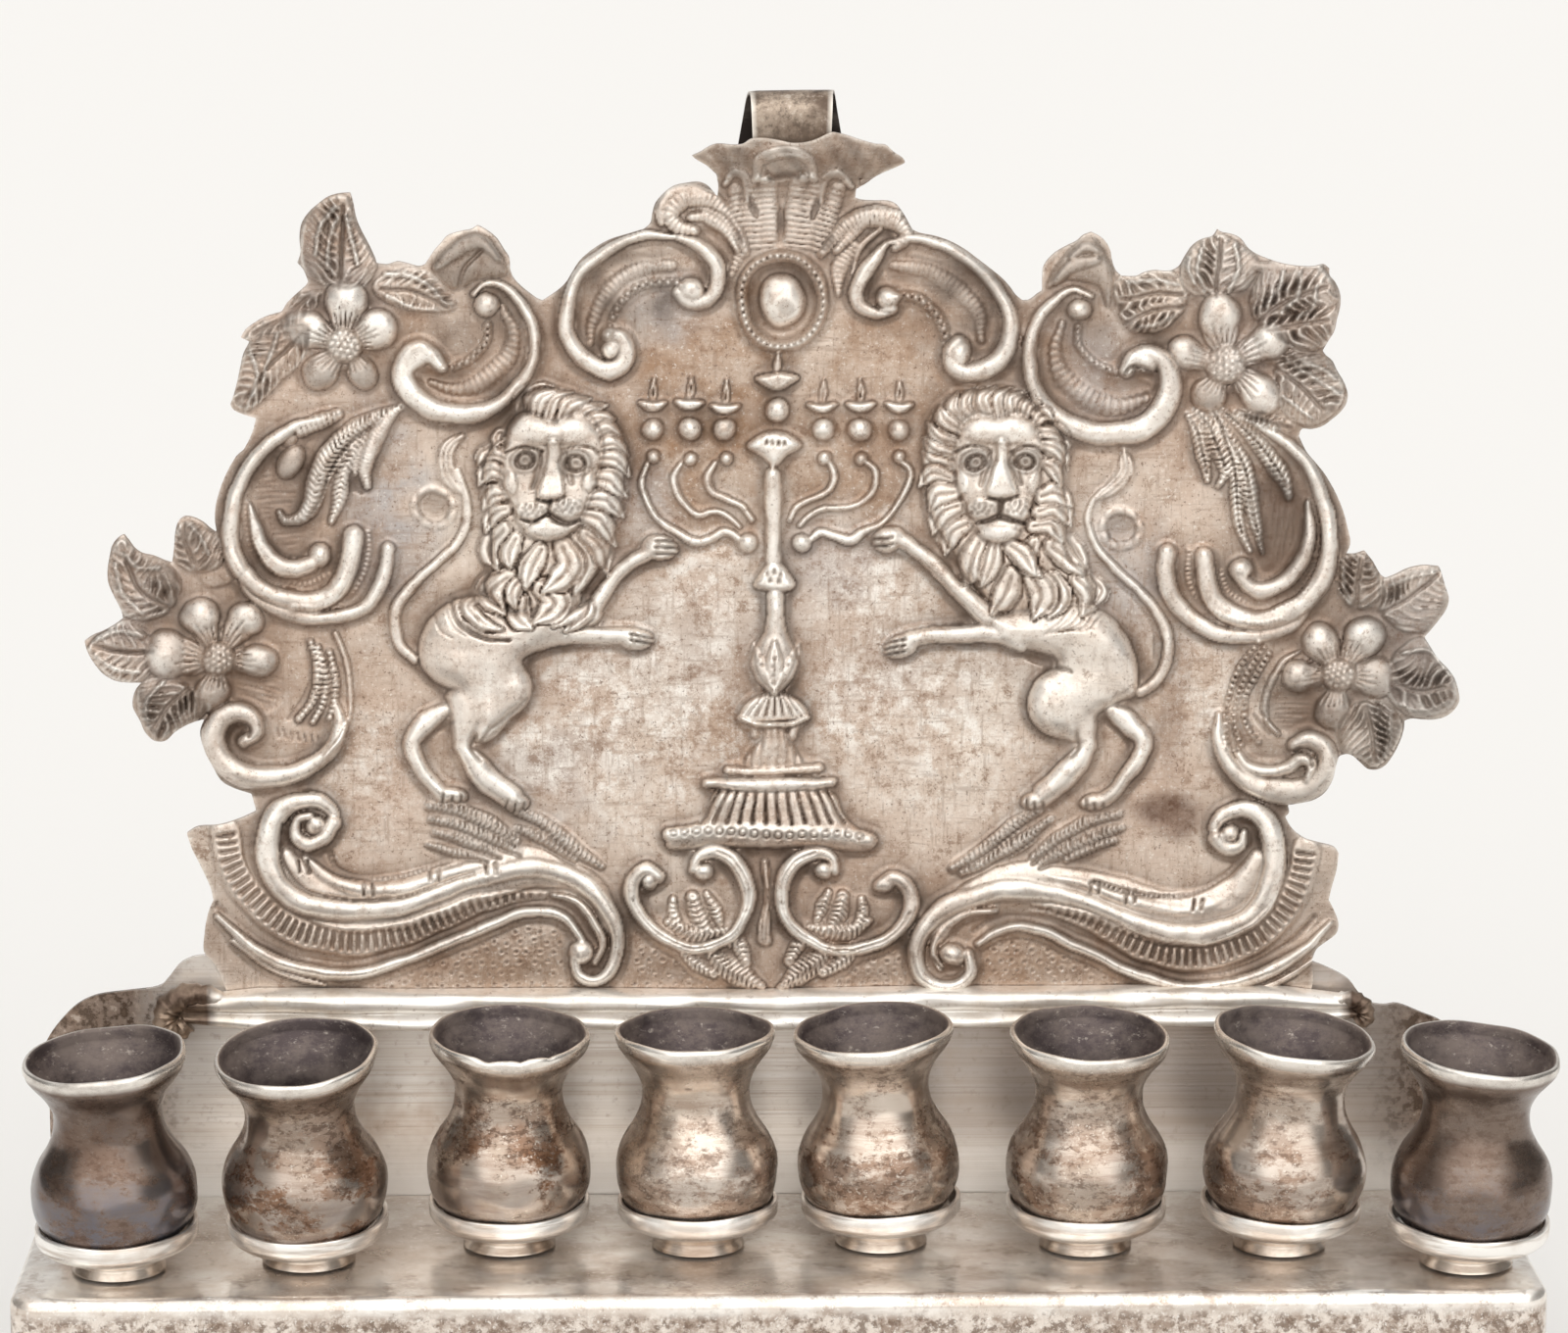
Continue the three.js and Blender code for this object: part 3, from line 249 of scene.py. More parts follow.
def inside_of(line, u, v):
    """True where the point lies inside the closed line."""
    hit = np.zeros(u.shape, bool)
    for (u0, v0), (u1, v1) in zip(line, np.roll(line, -1, 0)):
        if v0 == v1:
            continue
        low, high = min(v0, v1), max(v0, v1)
        rows = (v[:, 0] >= low) & (v[:, 0] < high)
        if not rows.any():
            continue
        cross = u0 + (v[rows, :1] - v0) / (v1 - v0) * (u1 - u0)
        hit[rows] ^= u[rows] < cross
    return hit


def area(points):
    """Part of the grid and signed distance, positive inside, of a closed form."""
    line = curve(points, closed=True)[:-1]
    ring = np.vstack([line, line[:1]])
    low, high = line.min(0) - 6, line.max(0) + 6
    here, d, *_ = near(ring, float(max(high - low)))
    box = window(low, high)
    own = (slice(box[0].start - here[0].start, box[0].stop - here[0].start),
           slice(box[1].start - here[1].start, box[1].stop - here[1].start))
    d = d[own]
    return box, np.where(inside_of(line, U[box], V[box]), d, -d)


def pillow(points, rise, edge, how="max", soft=0.3, light=0.0, dark=0.0):
    """A closed form with a rounded edge."""
    here, d = area(points)
    x = clamped(d / edge)
    value = np.where(d > 0, rise * quarter_round(x), d * UNIT * PILLOW_FLANK)
    put(here, value, how, soft)
    marked(here, clamped(d / 3), light, dark)


def hatch(points, angle, spacing, depth, dark=0.0):
    """Fine parallel grooves in a closed form, broken and a little wavy, and dark where it lies low."""
    here, d = area(points)
    a = math.radians(angle)
    u, v = U[here], V[here]
    across = -u * math.sin(a) + v * math.cos(a)
    run = u * math.cos(a) + v * math.sin(a)
    across = across + 0.6 * np.sin(run / 11 + across / 3)
    wave = (0.5 + 0.5 * np.cos(2 * np.pi * across / spacing)) ** 3
    breaks = 0.55 + 0.45 * np.sin(run / 9 + 3.1 * np.floor(across / spacing + 0.5))
    within = clamped(d / 5)
    put(here, depth * wave * breaks * within, "cut")
    low = clamped(1 - H[here] / 0.8) * within
    raised(DARK, here, dark * low * (0.72 + 0.28 * wave))


def dot(u, v, radius, depth, rim=0.5):
    """A punched dot with a raised rim."""
    reach = radius * 2 + 2
    here = window((u - reach, v - reach), (u + reach, v + reach))
    r = np.hypot(U[here] - u, V[here] - v) / radius
    H[here] += depth * (rim * bell(r - 1.5, 0.35) - np.exp(-r**2 * 1.3))
    raised(DARK, here, 0.9 * bell(r, 1))


def stipple(points, spacing, radius, depth):
    """Rows of punched dots in a closed form."""
    line = curve(points, closed=True)[:-1]
    low, high = line.min(0), line.max(0)
    row = 0
    v = low[1] + spacing / 2
    while v < high[1]:
        u = low[0] + (spacing / 2 if row % 2 else 0)
        while u < high[0]:
            pu, pv = u + RNG.normal(0, spacing * 0.08), v + RNG.normal(0, spacing * 0.08)
            if inside_of(line, np.array([[pu]]), np.array([[pv]]))[0, 0]:
                dot(pu, pv, radius, depth)
            u += spacing
        v += spacing * 0.8
        row += 1


def beads(points, spacing, radius, rise, base=0.0):
    """A row of small pearls with a pricked hole between them."""
    line = curve(points, 2.0)
    steps = np.hypot(*np.diff(line, axis=0).T)
    run = np.concatenate([[0], np.cumsum(steps)])
    count = max(2, int(run[-1] / spacing))

    def place(share):
        """A place along the row, by the number of pearls before it."""
        at = run[-1] * share / count
        return np.interp(at, run, line[:, 0]), np.interp(at, run, line[:, 1])

    for k in range(count + 1):
        dome(*place(k), radius, radius, rise, base=base, how="add")
    for k in range(count):
        dot(*place(k + 0.5), radius * 0.42, rise * 1.3, 0.0)


def blurred(field, sigma):
    """The field smoothed over sigma millimetres."""
    fu = np.fft.fftfreq(field.shape[1], GRID_STEP)[None, :]
    fv = np.fft.fftfreq(field.shape[0], GRID_STEP)[:, None]
    smooth = np.exp(-2 * (np.pi * sigma) ** 2 * (fu**2 + fv**2))
    return np.real(np.fft.ifft2(np.fft.fft2(field) * smooth))


def swell(size, sigma):
    """Smooth random waves of a given height over the plaque."""
    out = blurred(RNG.normal(0, 1, U.shape), sigma)
    return size * out / out.std()


def punched_ring(u, v, radius, wide, depth, hollow_dark=(0.0, 1.0), reach=8):
    """A punched ring; soot is how dark its groove is, and how wide that reaches."""
    here = window((u - reach, v - reach), (u + reach, v + reach))
    r = np.hypot(U[here] - u, V[here] - v)
    H[here] -= depth * bell(r - radius, wide)
    raised(DARK, here, hollow_dark[0] * bell(r - radius, hollow_dark[1]))


# The relief, drawn one by one: places are (u, v), half widths are in the same thousandths, and heights in
# millimetres; light and dark say how rubbed and how tarnished a form is, with painted highlight and shade
# Edge of the sheet: runs between sharp corners, the tips included
EDGE = [
    [(-545, 185), (-556, 215), (-568, 240), (-577, 250), (-577, 268), (-573, 291), (-568, 303)],
    [(-571, 316), (-581, 338), (-590, 356), (-595, 371)],
    [(-585, 377), (-562, 379), (-540, 386), (-525, 393)], [(-530, 411)],
    [(-548, 417), (-560, 424), (-570, 440), (-578, 456), (-582, 474), (-578, 487)],
    [(-593, 482), (-607, 474), (-617, 465), (-628, 465), (-637, 473), (-643, 486), (-650, 500), (-648, 515),
     (-641, 524)], [(-655, 524), (-668, 526), (-680, 533), (-690, 545), (-696, 556), (-699, 566)],
    [(-690, 572), (-680, 576), (-668, 583), (-660, 589)],
    [(-662, 597), (-669, 611), (-675, 625), (-676, 638), (-674, 652), (-671, 664), (-665, 671),
     (-660, 674)], [(-655, 668), (-649, 660), (-642, 655), (-630, 652), (-618, 647), (-611, 645)],
    [(-609, 662), (-608, 676), (-605, 687), (-599, 692), (-590, 691), (-580, 686), (-573, 680),
     (-566, 675)],
    [(-568, 690), (-567, 705), (-563, 720), (-558, 733), (-552, 745), (-546, 754), (-540, 759)],
    [(-535, 768), (-530, 780), (-527, 792)], [(-540, 796), (-550, 801), (-553, 806)],
    [(-549, 818), (-546, 830), (-543, 845), (-540, 858), (-534, 870)], [(-543, 874)],
    [(-539, 881), (-530, 888), (-520, 894), (-508, 898), (-502, 900), (-497, 908), (-487, 918), (-478, 926),
     (-475, 931)], [(-480, 943), (-486, 950)],
    [(-483, 960), (-484, 975), (-482, 990), (-475, 1001), (-465, 1010), (-455, 1017), (-445, 1020),
     (-433, 1021)], [(-430, 1010), (-427, 995), (-422, 983), (-414, 968), (-408, 955), (-406, 949)],
    [(-395, 948), (-385, 951), (-375, 949), (-363, 946), (-357, 948)],
    [(-348, 962), (-341, 970), (-335, 977), (-320, 982), (-310, 984), (-304, 988)],
    [(-295, 983), (-285, 975), (-277, 963), (-272, 955), (-271, 943)],
    [(-268, 935), (-260, 926), (-250, 918), (-243, 913), (-238, 911)],
    [(-222, 922), (-214, 930), (-208, 940), (-200, 952), (-190, 961), (-180, 968), (-168, 974), (-155, 978),
     (-145, 981), (-135, 984)],
    [(-129, 990), (-127, 1000), (-124, 1010), (-116, 1020), (-105, 1028), (-92, 1031), (-80, 1032),
     (-72, 1029), (-65, 1022), (-61, 1016)], [(-60, 1028), (-62, 1040)],
    [(-72, 1049), (-82, 1055), (-87, 1059)],
    [(-78, 1063), (-72, 1067), (-62, 1071), (-45, 1070), (-35, 1071), (-27, 1076), (-15, 1077), (0, 1075),
     (15, 1072), (30, 1073), (42, 1077), (52, 1082), (57, 1083)],
    [(70, 1080), (85, 1075), (100, 1071), (110, 1070), (118, 1063), (128, 1056), (130, 1052)],
    [(122, 1048), (110, 1043), (100, 1038), (90, 1031), (80, 1025)], [(79, 1016)],
    [(85, 1014), (100, 1013), (112, 1013), (120, 1010), (127, 1002), (133, 992), (138, 983)],
    [(145, 980), (160, 977), (175, 972), (190, 964), (205, 953), (218, 943), (230, 933), (238, 924),
     (243, 917), (250, 911)], [(257, 912), (265, 918), (270, 921)],
    [(270, 932), (271, 945), (275, 952), (283, 960), (295, 967), (305, 972), (312, 978), (320, 981)],
    [(328, 977), (334, 972), (339, 963), (341, 952), (345, 942), (351, 936)],
    [(366, 936), (375, 940), (385, 942), (395, 941), (403, 942), (410, 946)],
    [(416, 957), (424, 968), (434, 974), (444, 977), (449, 984)],
    [(453, 981), (463, 979), (472, 975), (480, 965), (488, 959), (497, 955), (508, 951), (520, 948),
     (535, 946), (548, 946), (558, 948), (563, 944)],
    [(563, 938), (569, 930), (574, 918), (574, 905), (571, 893), (568, 880), (562, 870), (556, 860)],
    [(560, 855), (566, 850), (571, 840), (578, 828), (582, 815), (580, 805), (575, 798), (566, 790),
     (556, 783), (545, 780), (535, 780), (532, 773)],
    [(540, 757), (550, 745), (558, 735), (566, 722), (573, 708), (578, 695), (582, 680), (585, 664),
     (581, 652)], [(590, 652), (600, 655)], [(608, 645), (613, 636), (618, 629), (622, 627)],
    [(630, 630), (645, 637), (660, 640), (676, 639)],
    [(679, 630), (682, 620), (686, 606), (683, 595), (676, 585), (668, 575), (661, 567)],
    [(668, 556), (675, 545), (685, 535), (692, 525), (696, 512), (697, 502), (692, 493), (683, 486),
     (672, 483), (660, 483), (648, 484), (641, 482)],
    [(640, 472), (636, 460), (630, 448), (622, 437), (613, 432), (603, 433), (595, 440), (588, 446),
     (582, 448), (574, 446)], [(571, 435), (567, 420), (559, 408), (548, 401), (535, 398), (522, 396)],
    [(523, 388), (519, 384)], [(527, 371), (540, 361), (553, 357), (570, 352), (574, 347)],
    [(572, 330), (567, 312), (564, 299)],
    [(570, 287), (574, 275), (572, 265), (561, 256), (552, 249), (547, 238)], [(548, 215), (540, 185)]
]


def edge_line():
    """The edge as one dense closed line."""
    out = []
    last = EDGE[-1][-1]
    for run in EDGE:
        line = curve([last, *run], 1.5)
        out.append(line[1:])
        last = run[-1]
    return np.vstack(out)


# Fine and broad unevenness of the handwork
ROUGH = swell(1, 0.9)
CLOUDS = swell(1, 2.2)
# How far hatching reaches from a leaf's rib
LEAF_REACH = 44


def leaf(form, ribs, spacing=7.5, rise=1.2, dark=0.9, veins=()):
    """A leaf of the edge: broad hollows beside its ribs, fine hatching across, and a rim and crests lightened
    as worn silver and as painted highlight.
    """
    pillow(form, rise, 14)
    box, inner = area(form)
    H[box] += 0.175 * clamped(inner / 6) * CLOUDS[box]
    cloudy = dark * np.clip(0.92 + 0.32 * CLOUDS[box], 0.2, 1.1) * clamped(inner / 4)
    raised(DARK, box, cloudy)
    spans, best = [], np.full_like(U, 1e6)
    for run in ribs:
        cut(run, 2.8, 0.5, dark=0.95)
        line = curve(run)
        # The rib, drawn on past both its ends
        before, after = line[0] - line[4], line[-1] - line[-5]
        line = np.vstack([line[0] + 40 * before / np.linalg.norm(before), line,
                          line[-1] + 40 * after / np.linalg.norm(after)])
        here, d, s, side, _ = near(line, LEAF_REACH)
        best[here] = np.minimum(best[here], d)
        spans.append((here, d, s, side))
    for here, d, s, side in spans:
        own = clamped(1 - (d - best[here]) / 2.5)
        bend = 1.9 * np.sin(s / 13 + side) + 1.1 * np.sin(d / 6 + side)
        broad = 2 * np.pi * (s - 0.8 * d) / (1.5 * spacing) + bend + 1.1 * ROUGH[here]
        fine = 2 * np.pi * (s - 0.9 * d) / (0.72 * spacing) + bend + 0.5 * ROUGH[here]
        hollow, crest, hair = np.zeros_like(U), np.zeros_like(U), np.zeros_like(U)
        close = own * clamped((d - 2.5) / 3) * clamped((24 - d) / 12)
        uneven = np.clip(0.65 + 0.45 * CLOUDS[here] + 0.2 * side, 0.05, 1.2)
        hollow[here] = (0.5 + 0.5 * np.cos(broad)) ** 2 * close * uneven
        crest[here] = (0.5 - 0.5 * np.cos(broad)) ** 8 * own * clamped((d - 2) / 3) * clamped((34 - d) / 10)
        thin = own * clamped((d - 4) / 5) * clamped((LEAF_REACH - d) / 8)
        hair[here] = (0.5 + 0.5 * np.cos(fine)) ** 2 * thin
        edge = clamped(inner / 3)
        H[box] += (0.35 * crest[box] - 0.8 * hollow[box] - 0.22 * hair[box]) * edge
        shade = 0.6 * hollow[box] + 0.35 * hair[box] - 0.5 * crest[box]
        DARK[box] = clamped(DARK[box] + shade * edge)
        # Crests and rim lightened, as worn silver and as painted highlight
        raised(BRIGHT, box, 0.6 * crest[box] * edge * clamped(0.6 + 0.4 * ROUGH[box]))
    rim = bell(inner - 2.2, 1.8) * clamped(0.5 + 0.5 * ROUGH[box])
    raised(BRIGHT, box, rim)
    DARK[box] *= 1 - 0.6 * rim
    for run in veins:
        roll(run, 2.4, 0.6, how="add", light=0.8)


def flower(u, v, radius, petals, dim=()):
    """Five petals round a pricked button; the petals numbered in dim get painted shade."""
    for number, (pu, pv, ru, rv) in enumerate(petals):
        turn = math.degrees(math.atan2(pv - v, pu - u))
        reach = math.hypot(pu - u, pv - v)
        c, s = (pu - u) / reach, (pv - v) / reach
        wide = min(ru, rv)
        # Petals numbered in dim are lower, with painted shade where the others get painted highlight
        low = number in dim
        roll([(u + c * radius * 0.7, v + s * radius * 0.7), (pu - c * wide * 0.3, pv - s * wide * 0.3)],
             [wide * 0.8, wide * 1.12], 2.0, shape=0.5, soft=0.5, light=0.35)
        dome(pu, pv, max(ru, rv) * 1.2, wide * 1.28, 2.4 if low else 2.9, turn=turn, shape=0.6, soft=0.6,
             light=0.0 if low else 0.9, dark=0.5 if low else 0.0)
        for k in range(-3, 4):
            a = math.radians(turn + k * 11)
            near_end = radius + 1
            far_end = radius + reach * (0.46 - 0.05 * abs(k) + 0.06 * ((k * 7 + number * 3) % 4 - 1.5))
            b = a * 0.98 + 0.02 * math.radians(turn)
            cut([(u + near_end * math.cos(a), v + near_end * math.sin(a)),
                 (u + far_end * math.cos(b), v + far_end * math.sin(b))], [1.7, 0.8], 0.45, dark=0.8)
    dome(u, v, radius, radius, 3.4, shape=0.25, soft=0.2, light=0.6)
    for ring, count in ((0.0, 1), (0.38, 6), (0.74, 12)):
        for k in range(count):
            a = 2 * math.pi * (k + 0.3 * ring) / count + u
            cu, cv = u + ring * radius * math.cos(a), v + ring * radius * math.sin(a)
            punched_ring(cu, cv, 3.2, 0.9, 0.3, (0.75, 0.9), 6)


def mane(outline, tufts, middle):
    """A mass of hair with tufts that overlap, the outer ones lowest."""
    here, d = area(outline)
    mass = 2.5 * quarter_round(clamped((d - 6) / 20))
    put(here, np.where(d > 6, mass, (d - 6) * UNIT * 2), soft=0.5)
    base = H.copy()
    for points, wide in sorted(tufts, key=lambda tuft: -math.dist(tuft[0][-1], middle)):
        line = curve(points, 2.0)
        part, dist, run, side, total = near(line, wide * 1.7 + 3)
        t = run / total
        w = wide * 1.15 * np.interp(t, [0, 0.35, 0.7, 1], [0.7, 1, 0.85, 0.2])
        r = dist / w
        inside = r < 1
        wave = 0.5 + 0.5 * np.cos(2 * np.pi * (1.15 * r * side + 0.2 * np.sin(total)))
        value = (0.3 + 1.0 * t) * (1 - np.minimum(r, 1) ** 2) ** 0.4 - 0.34 * wave ** 3 * clamped((1 - r) * 4)
        border = bell(r - 1.05, 0.14)
        H[part] = np.where(inside, base[part] + value, H[part] - 0.5 * border)
        DARK[part] = np.where(inside, 0.75 * wave ** 4 * clamped((1 - r) * 5), np.maximum(DARK[part], border))
        # Tufts lighter where they rise, as rubbed silver and as painted highlight
        BRIGHT[part] = np.where(inside, (0.4 + 0.6 * t) * (1 - wave ** 2), BRIGHT[part] * (1 - border))


def face(outline, nose, light=0.5):
    """A broad flat face on the mane, and the wedge of the nose."""
    here, d = area(outline)
    x = clamped(d / 22)
    put(here, np.where(d > 0, 2.3 + 1.5 * quarter_round(x), 2.3 + d * UNIT * 2.5), soft=0.2)
    mask = clamped(d / 3)
    DARK[here] *= 1 - mask
    # The face lightened, as rubbed silver and as painted highlight
    BRIGHT[here] = BRIGHT[here] * (1 - mask) + light * mask
    raised(DARK, here, 0.8 * bell(d + 2, 2))
    here, d = area(nose)
    H[here] += 1.15 * quarter_round(clamped(d / 7))
    # The nose lightened the same way, with a dark crease round it
    raised(BRIGHT, here, clamped(d / 2))
    raised(DARK, here, 0.5 * bell(d + 2, 2))


def pearled(run, wide, rise, spacing, radius, pearl):
    """A low ridge with a row of pearls on it."""
    roll(run, wide, rise, how="add")
    beads(run, spacing, radius, pearl)


def gadroons(run, spacing, wide):
    """A row of upright notches with rounded ends along a run."""
    here, d, s, _, total = near(curve(run), 16)
    w = along(wide, s / total)
    k = s / spacing - np.floor(s / spacing) - 0.5
    notch = clamped(1 - (k / 0.30) ** 4) * clamped(1 - (d / (w * 0.86)) ** 4)
    H[here] += 0.9 * clamped(1.1 - (d / (w + 2)) ** 2) ** 0.5 * clamped(w / 8) * (d < w + 3)
    H[here] -= 0.75 * notch * np.clip(w / 9, 0.2, 1)
    raised(DARK, here, 0.75 * notch * np.clip(w / 9, 0.3, 1))


def groove_beads(run, spacing, wide):
    """A dark sunk line with small pearls in it."""
    here, d, s, *_ = near(curve(run), wide * 2 + 3)
    groove = clamped(1 - (d / wide) ** 2)
    k = s / spacing - np.floor(s / spacing) - 0.5
    pearl = clamped(1 - (d / (wide * 0.7)) ** 2 - (k / 0.42) ** 2) ** 0.5
    H[here] += -0.9 * groove ** 0.6 + 0.8 * pearl
    raised(DARK, here, 0.95 * clamped(groove * 1.6) * (1 - 0.75 * pearl))


def claws(places, lean):
    """Dark cuts between the toes of a hind paw."""
    for u, v in places:
        cut([(u, v + 4), (u + lean, v - 7)], 1.8, 0.8, dark=0.95)


def ground_leaf(run, wide):
    """A narrow ribbed leaf under the feet, cut dark below."""
    roll(run, wide, [0.9, 1.5, 1.2], ribs=(5.4, 0.6, 1.2), light=0.4, shade=0.5)
    cut([(u, v - 0.7 * max(wide)) for u, v in run], 2.2, 0.5, dark=0.85)


def ring(u, v, outer, inner, thick):
    """A flat uneven ring round a sunk disc."""
    here = window((u - outer - 8, v - outer - 8), (u + outer + 8, v + outer + 8))
    r = np.hypot(U[here] - u, (V[here] - v) * 1.03)
    mid, half = (outer + inner) / 2, (outer - inner) / 2 + 1.5
    band = clamped(1 - ((r - mid) / half) ** 2) ** 0.7
    H[here] += 0.55 * thick * band * (1 + 0.4 * np.sin(9 * np.arctan2(V[here] - v, U[here] - u)))
    H[here] -= 0.45 * clamped(1 - (r / (inner - 1)) ** 8)
    raised(DARK, here, 0.4 * clamped(1 - (r / inner) ** 6))
    raised(DARK, here, 0.55 * bell(r - inner, 2.2))


def eye(u, v, ru, rv, shade):
    """A sunk socket with a lid, a ball and a pupil."""
    # The socket sunk, with as much painted shade as shade gives
    dome(u, v, ru + 3, rv + 2, 0.9, how="cut", shape=0.8, dark=shade)
    dome(u, v, ru * 0.62, rv * 0.66, 0.5, how="add")
    here = window((u - ru - 4, v - rv - 4), (u + ru + 4, v + rv + 4))
    r = np.hypot((U[here] - u) / ru, (V[here] - v) / rv)
    H[here] += 0.55 * bell(r - 0.85, 0.14) - 0.6 * bell(r - 0.6, 0.13)
    raised(DARK, here, bell(r - 0.62, 0.15))
    raised(DARK, here, 0.9 * bell(r - 1.08, 0.15))
    # The lid's ridge lightened, as rubbed silver and as painted highlight
    raised(BRIGHT, here, 0.7 * bell(r - 0.87, 0.09))
    dome(u, v, 4.4, 4.4, 0.3, how="add")
    dot(u, v, 3.4, 0.9, 0.0)


def whiskers(places, ru, rv):
    """Pricked dots over each half of the muzzle."""
    for cu, cv in places:
        for k in range(15):
            a, q = 2.4 * k, 0.95 * ((k + 0.5) / 15) ** 0.5
            dot(cu + ru * q * math.cos(a), cv + rv * q * math.sin(a), 2.1, 0.6, 0.0)


def build_relief():
    """All the raised work, from the ground up."""
    ground()
    medallion_scroll_left()
    medallion_scroll_right()
    ball_scroll_left()
    ball_scroll_right()
    side_scroll_left()
    side_scroll_right()
    low_scroll_left()
    low_scroll_right()
    long_scroll_left()
    long_scroll_right()
    middle_scrolls()
    medallion()
    fan()
    rolled_sides()
    lip_cartouche()
    flower_upper_left()
    flower_upper_right()
    flower_lower_left()
    flower_lower_right()
    lamp_foot()
    lamp_stem()
    lamp_branches()
    left_lion_body()
    left_lion_head()
    left_lion_leaves()
    right_lion_body()
    right_lion_head()
    right_lion_leaves()


def ground():
    """The sheet between the raised work: dented, and dished inside the scrolls."""
    pillow([(-185, 950), (-150, 960), (-115, 950), (-100, 928), (-130, 915), (-155, 895), (-165, 862),
            (-195, 870), (-200, 910)], 0.35, 18, how="cut", dark=0.35)
    pillow([(115, 955), (165, 950), (205, 930), (222, 900), (218, 868), (190, 862), (172, 885), (150, 915),
            (115, 925)], 0.35, 18, how="cut", dark=0.35)
    pillow([(-290, 890), (-265, 890), (-262, 860), (-285, 825), (-325, 812), (-360, 828), (-345, 842),
            (-310, 855)], 0.35, 14, how="cut", dark=0.3)
    pillow([(283, 890), (272, 860), (275, 830), (300, 805), (340, 795), (375, 805), (380, 825), (345, 835),
            (310, 860), (300, 890)], 0.35, 14, how="cut", dark=0.3)
    pillow([(-530, 725), (-500, 770), (-470, 760), (-450, 720), (-480, 655), (-515, 655), (-532, 690)],
           0.32, 24, how="cut", dark=0.45)
    pillow([(500, 745), (530, 715), (540, 680), (525, 645), (500, 630), (485, 650), (495, 690)], 0.32, 20,
           how="cut", dark=0.7)
    pillow([(-550, 545), (-505, 545), (-495, 515), (-510, 495), (-545, 498)], 0.3, 14, how="cut", dark=0.35)
    pillow([(500, 500), (530, 520), (560, 500), (555, 478), (515, 470)], 0.3, 12, how="cut", dark=0.65)
    hatch([(-530, 725), (-515, 745), (-490, 725), (-478, 690), (-490, 655), (-520, 652), (-530, 690)], 2,
          5.2, 0.26, dark=0.5)
    hatch([(500, 745), (530, 715), (538, 680), (525, 648), (503, 640), (500, 690)], 84, 5.2, 0.28, dark=0.9)
    hatch([(-555, 548), (-505, 552), (-497, 520), (-512, 498), (-548, 502)], -14, 5.2, 0.26, dark=0.5)
    hatch([(488, 530), (535, 515), (562, 495), (550, 478), (500, 482)], 3, 5.0, 0.28, dark=0.9)


def medallion_scroll_left():
    """The scroll left of the medallion."""
    roll([(-100, 977), (-130, 977), (-160, 970), (-185, 955), (-204, 935), (-213, 905), (-214, 880),
          (-204, 860), (-190, 848), (-172, 840), (-157, 846), (-152, 860), (-158, 874), (-172, 877)],
         [3, 5, 6, 7, 7, 8, 9, 10, 11, 10, 8], [1.6, 2.4, 2.8, 2.8, 3.0], light=0.8)
    dome(-167, 862, 12, 13, 3.0, light=0.9)
    roll([(-99, 976), (-84, 972), (-70, 961), (-61, 945), (-63, 926), (-75, 913), (-92, 911), (-102, 920)],
         [4, 8, 9, 9, 8, 8, 6], [2.2, 2.9, 2.9, 2.5, 2.2], light=0.9)
    dome(-88, 922, 14, 13, 3.1, light=0.9)
    roll([(-105, 948), (-140, 942), (-170, 922), (-188, 890), (-190, 868)], [7, 10, 12, 10, 6], 0.9,
         ribs=(5.5, 0.25), how="add", shape=1.0)
    pearled([(-102, 930), (-122, 930), (-142, 924), (-157, 912), (-167, 896), (-173, 878)], 5.5, 0.8, 8.5,
            3.6, 0.7)


def medallion_scroll_right():
    """The scroll right of the medallion."""
    roll([(112, 972), (140, 974), (170, 966), (200, 948), (222, 925), (236, 898), (237, 872), (226, 852),
          (208, 840), (192, 837), (180, 845), (177, 858), (184, 868)],
         [3, 5, 6, 7, 8, 8, 9, 10, 11, 10, 8], [1.6, 2.4, 2.8, 2.8, 3.0], light=0.8)
    dome(187, 856, 12, 17, 3.0, light=0.9)
    roll([(110, 970), (100, 956), (88, 940), (81, 920), (86, 905), (100, 899), (116, 903)],
         [4, 8, 10, 9, 8, 7, 6], [2.2, 2.9, 2.9, 2.6, 2.2], light=0.9)
    dome(112, 914, 12, 12, 3.0, light=0.9)
    cut([(104, 920), (99, 912), (104, 902), (114, 899)], 1.6, 0.6, dark=0.6)
    roll([(118, 948), (150, 942), (180, 925), (203, 900), (208, 872)], [7, 10, 12, 10, 6], 0.9,
         ribs=(5.5, 0.2), how="add", shape=1.0)
    pearled([(124, 916), (140, 914), (155, 904), (166, 890), (172, 874)], 6, 0.8, 8.5, 3.8, 0.7)


def ball_scroll_left():
    """The scroll with a ball, further left."""
    roll([(-306, 918), (-298, 926), (-286, 929), (-270, 921), (-256, 905), (-246, 880), (-247, 850),
          (-261, 825), (-286, 805), (-315, 797), (-345, 800), (-366, 813), (-379, 835), (-374, 856),
          (-360, 864), (-349, 857)], [3, 4, 5, 6, 6, 6, 7, 8, 10, 11, 12, 12, 12, 10, 8],
         [1.8, 2.4, 2.6, 2.8, 3.1, 3.2, 3.0], light=0.9)
    roll([(-378, 838), (-368, 852), (-352, 857), (-340, 846)], [8, 12, 11, 7], 3.0, light=0.9)
    dome(-294, 907, 13, 13, 3.0, light=0.9)
    roll([(-278, 905), (-267, 880), (-272, 855), (-292, 834), (-320, 822), (-350, 828)],
         [5, 9, 11, 12, 11, 6], 1.0, how="add", shape=1.0, ribs=(6.5, 0.22))
    pearled([(-292, 886), (-293, 870), (-303, 857), (-320, 848), (-336, 843)], 5, 0.7, 7.5, 3.2, 0.7)


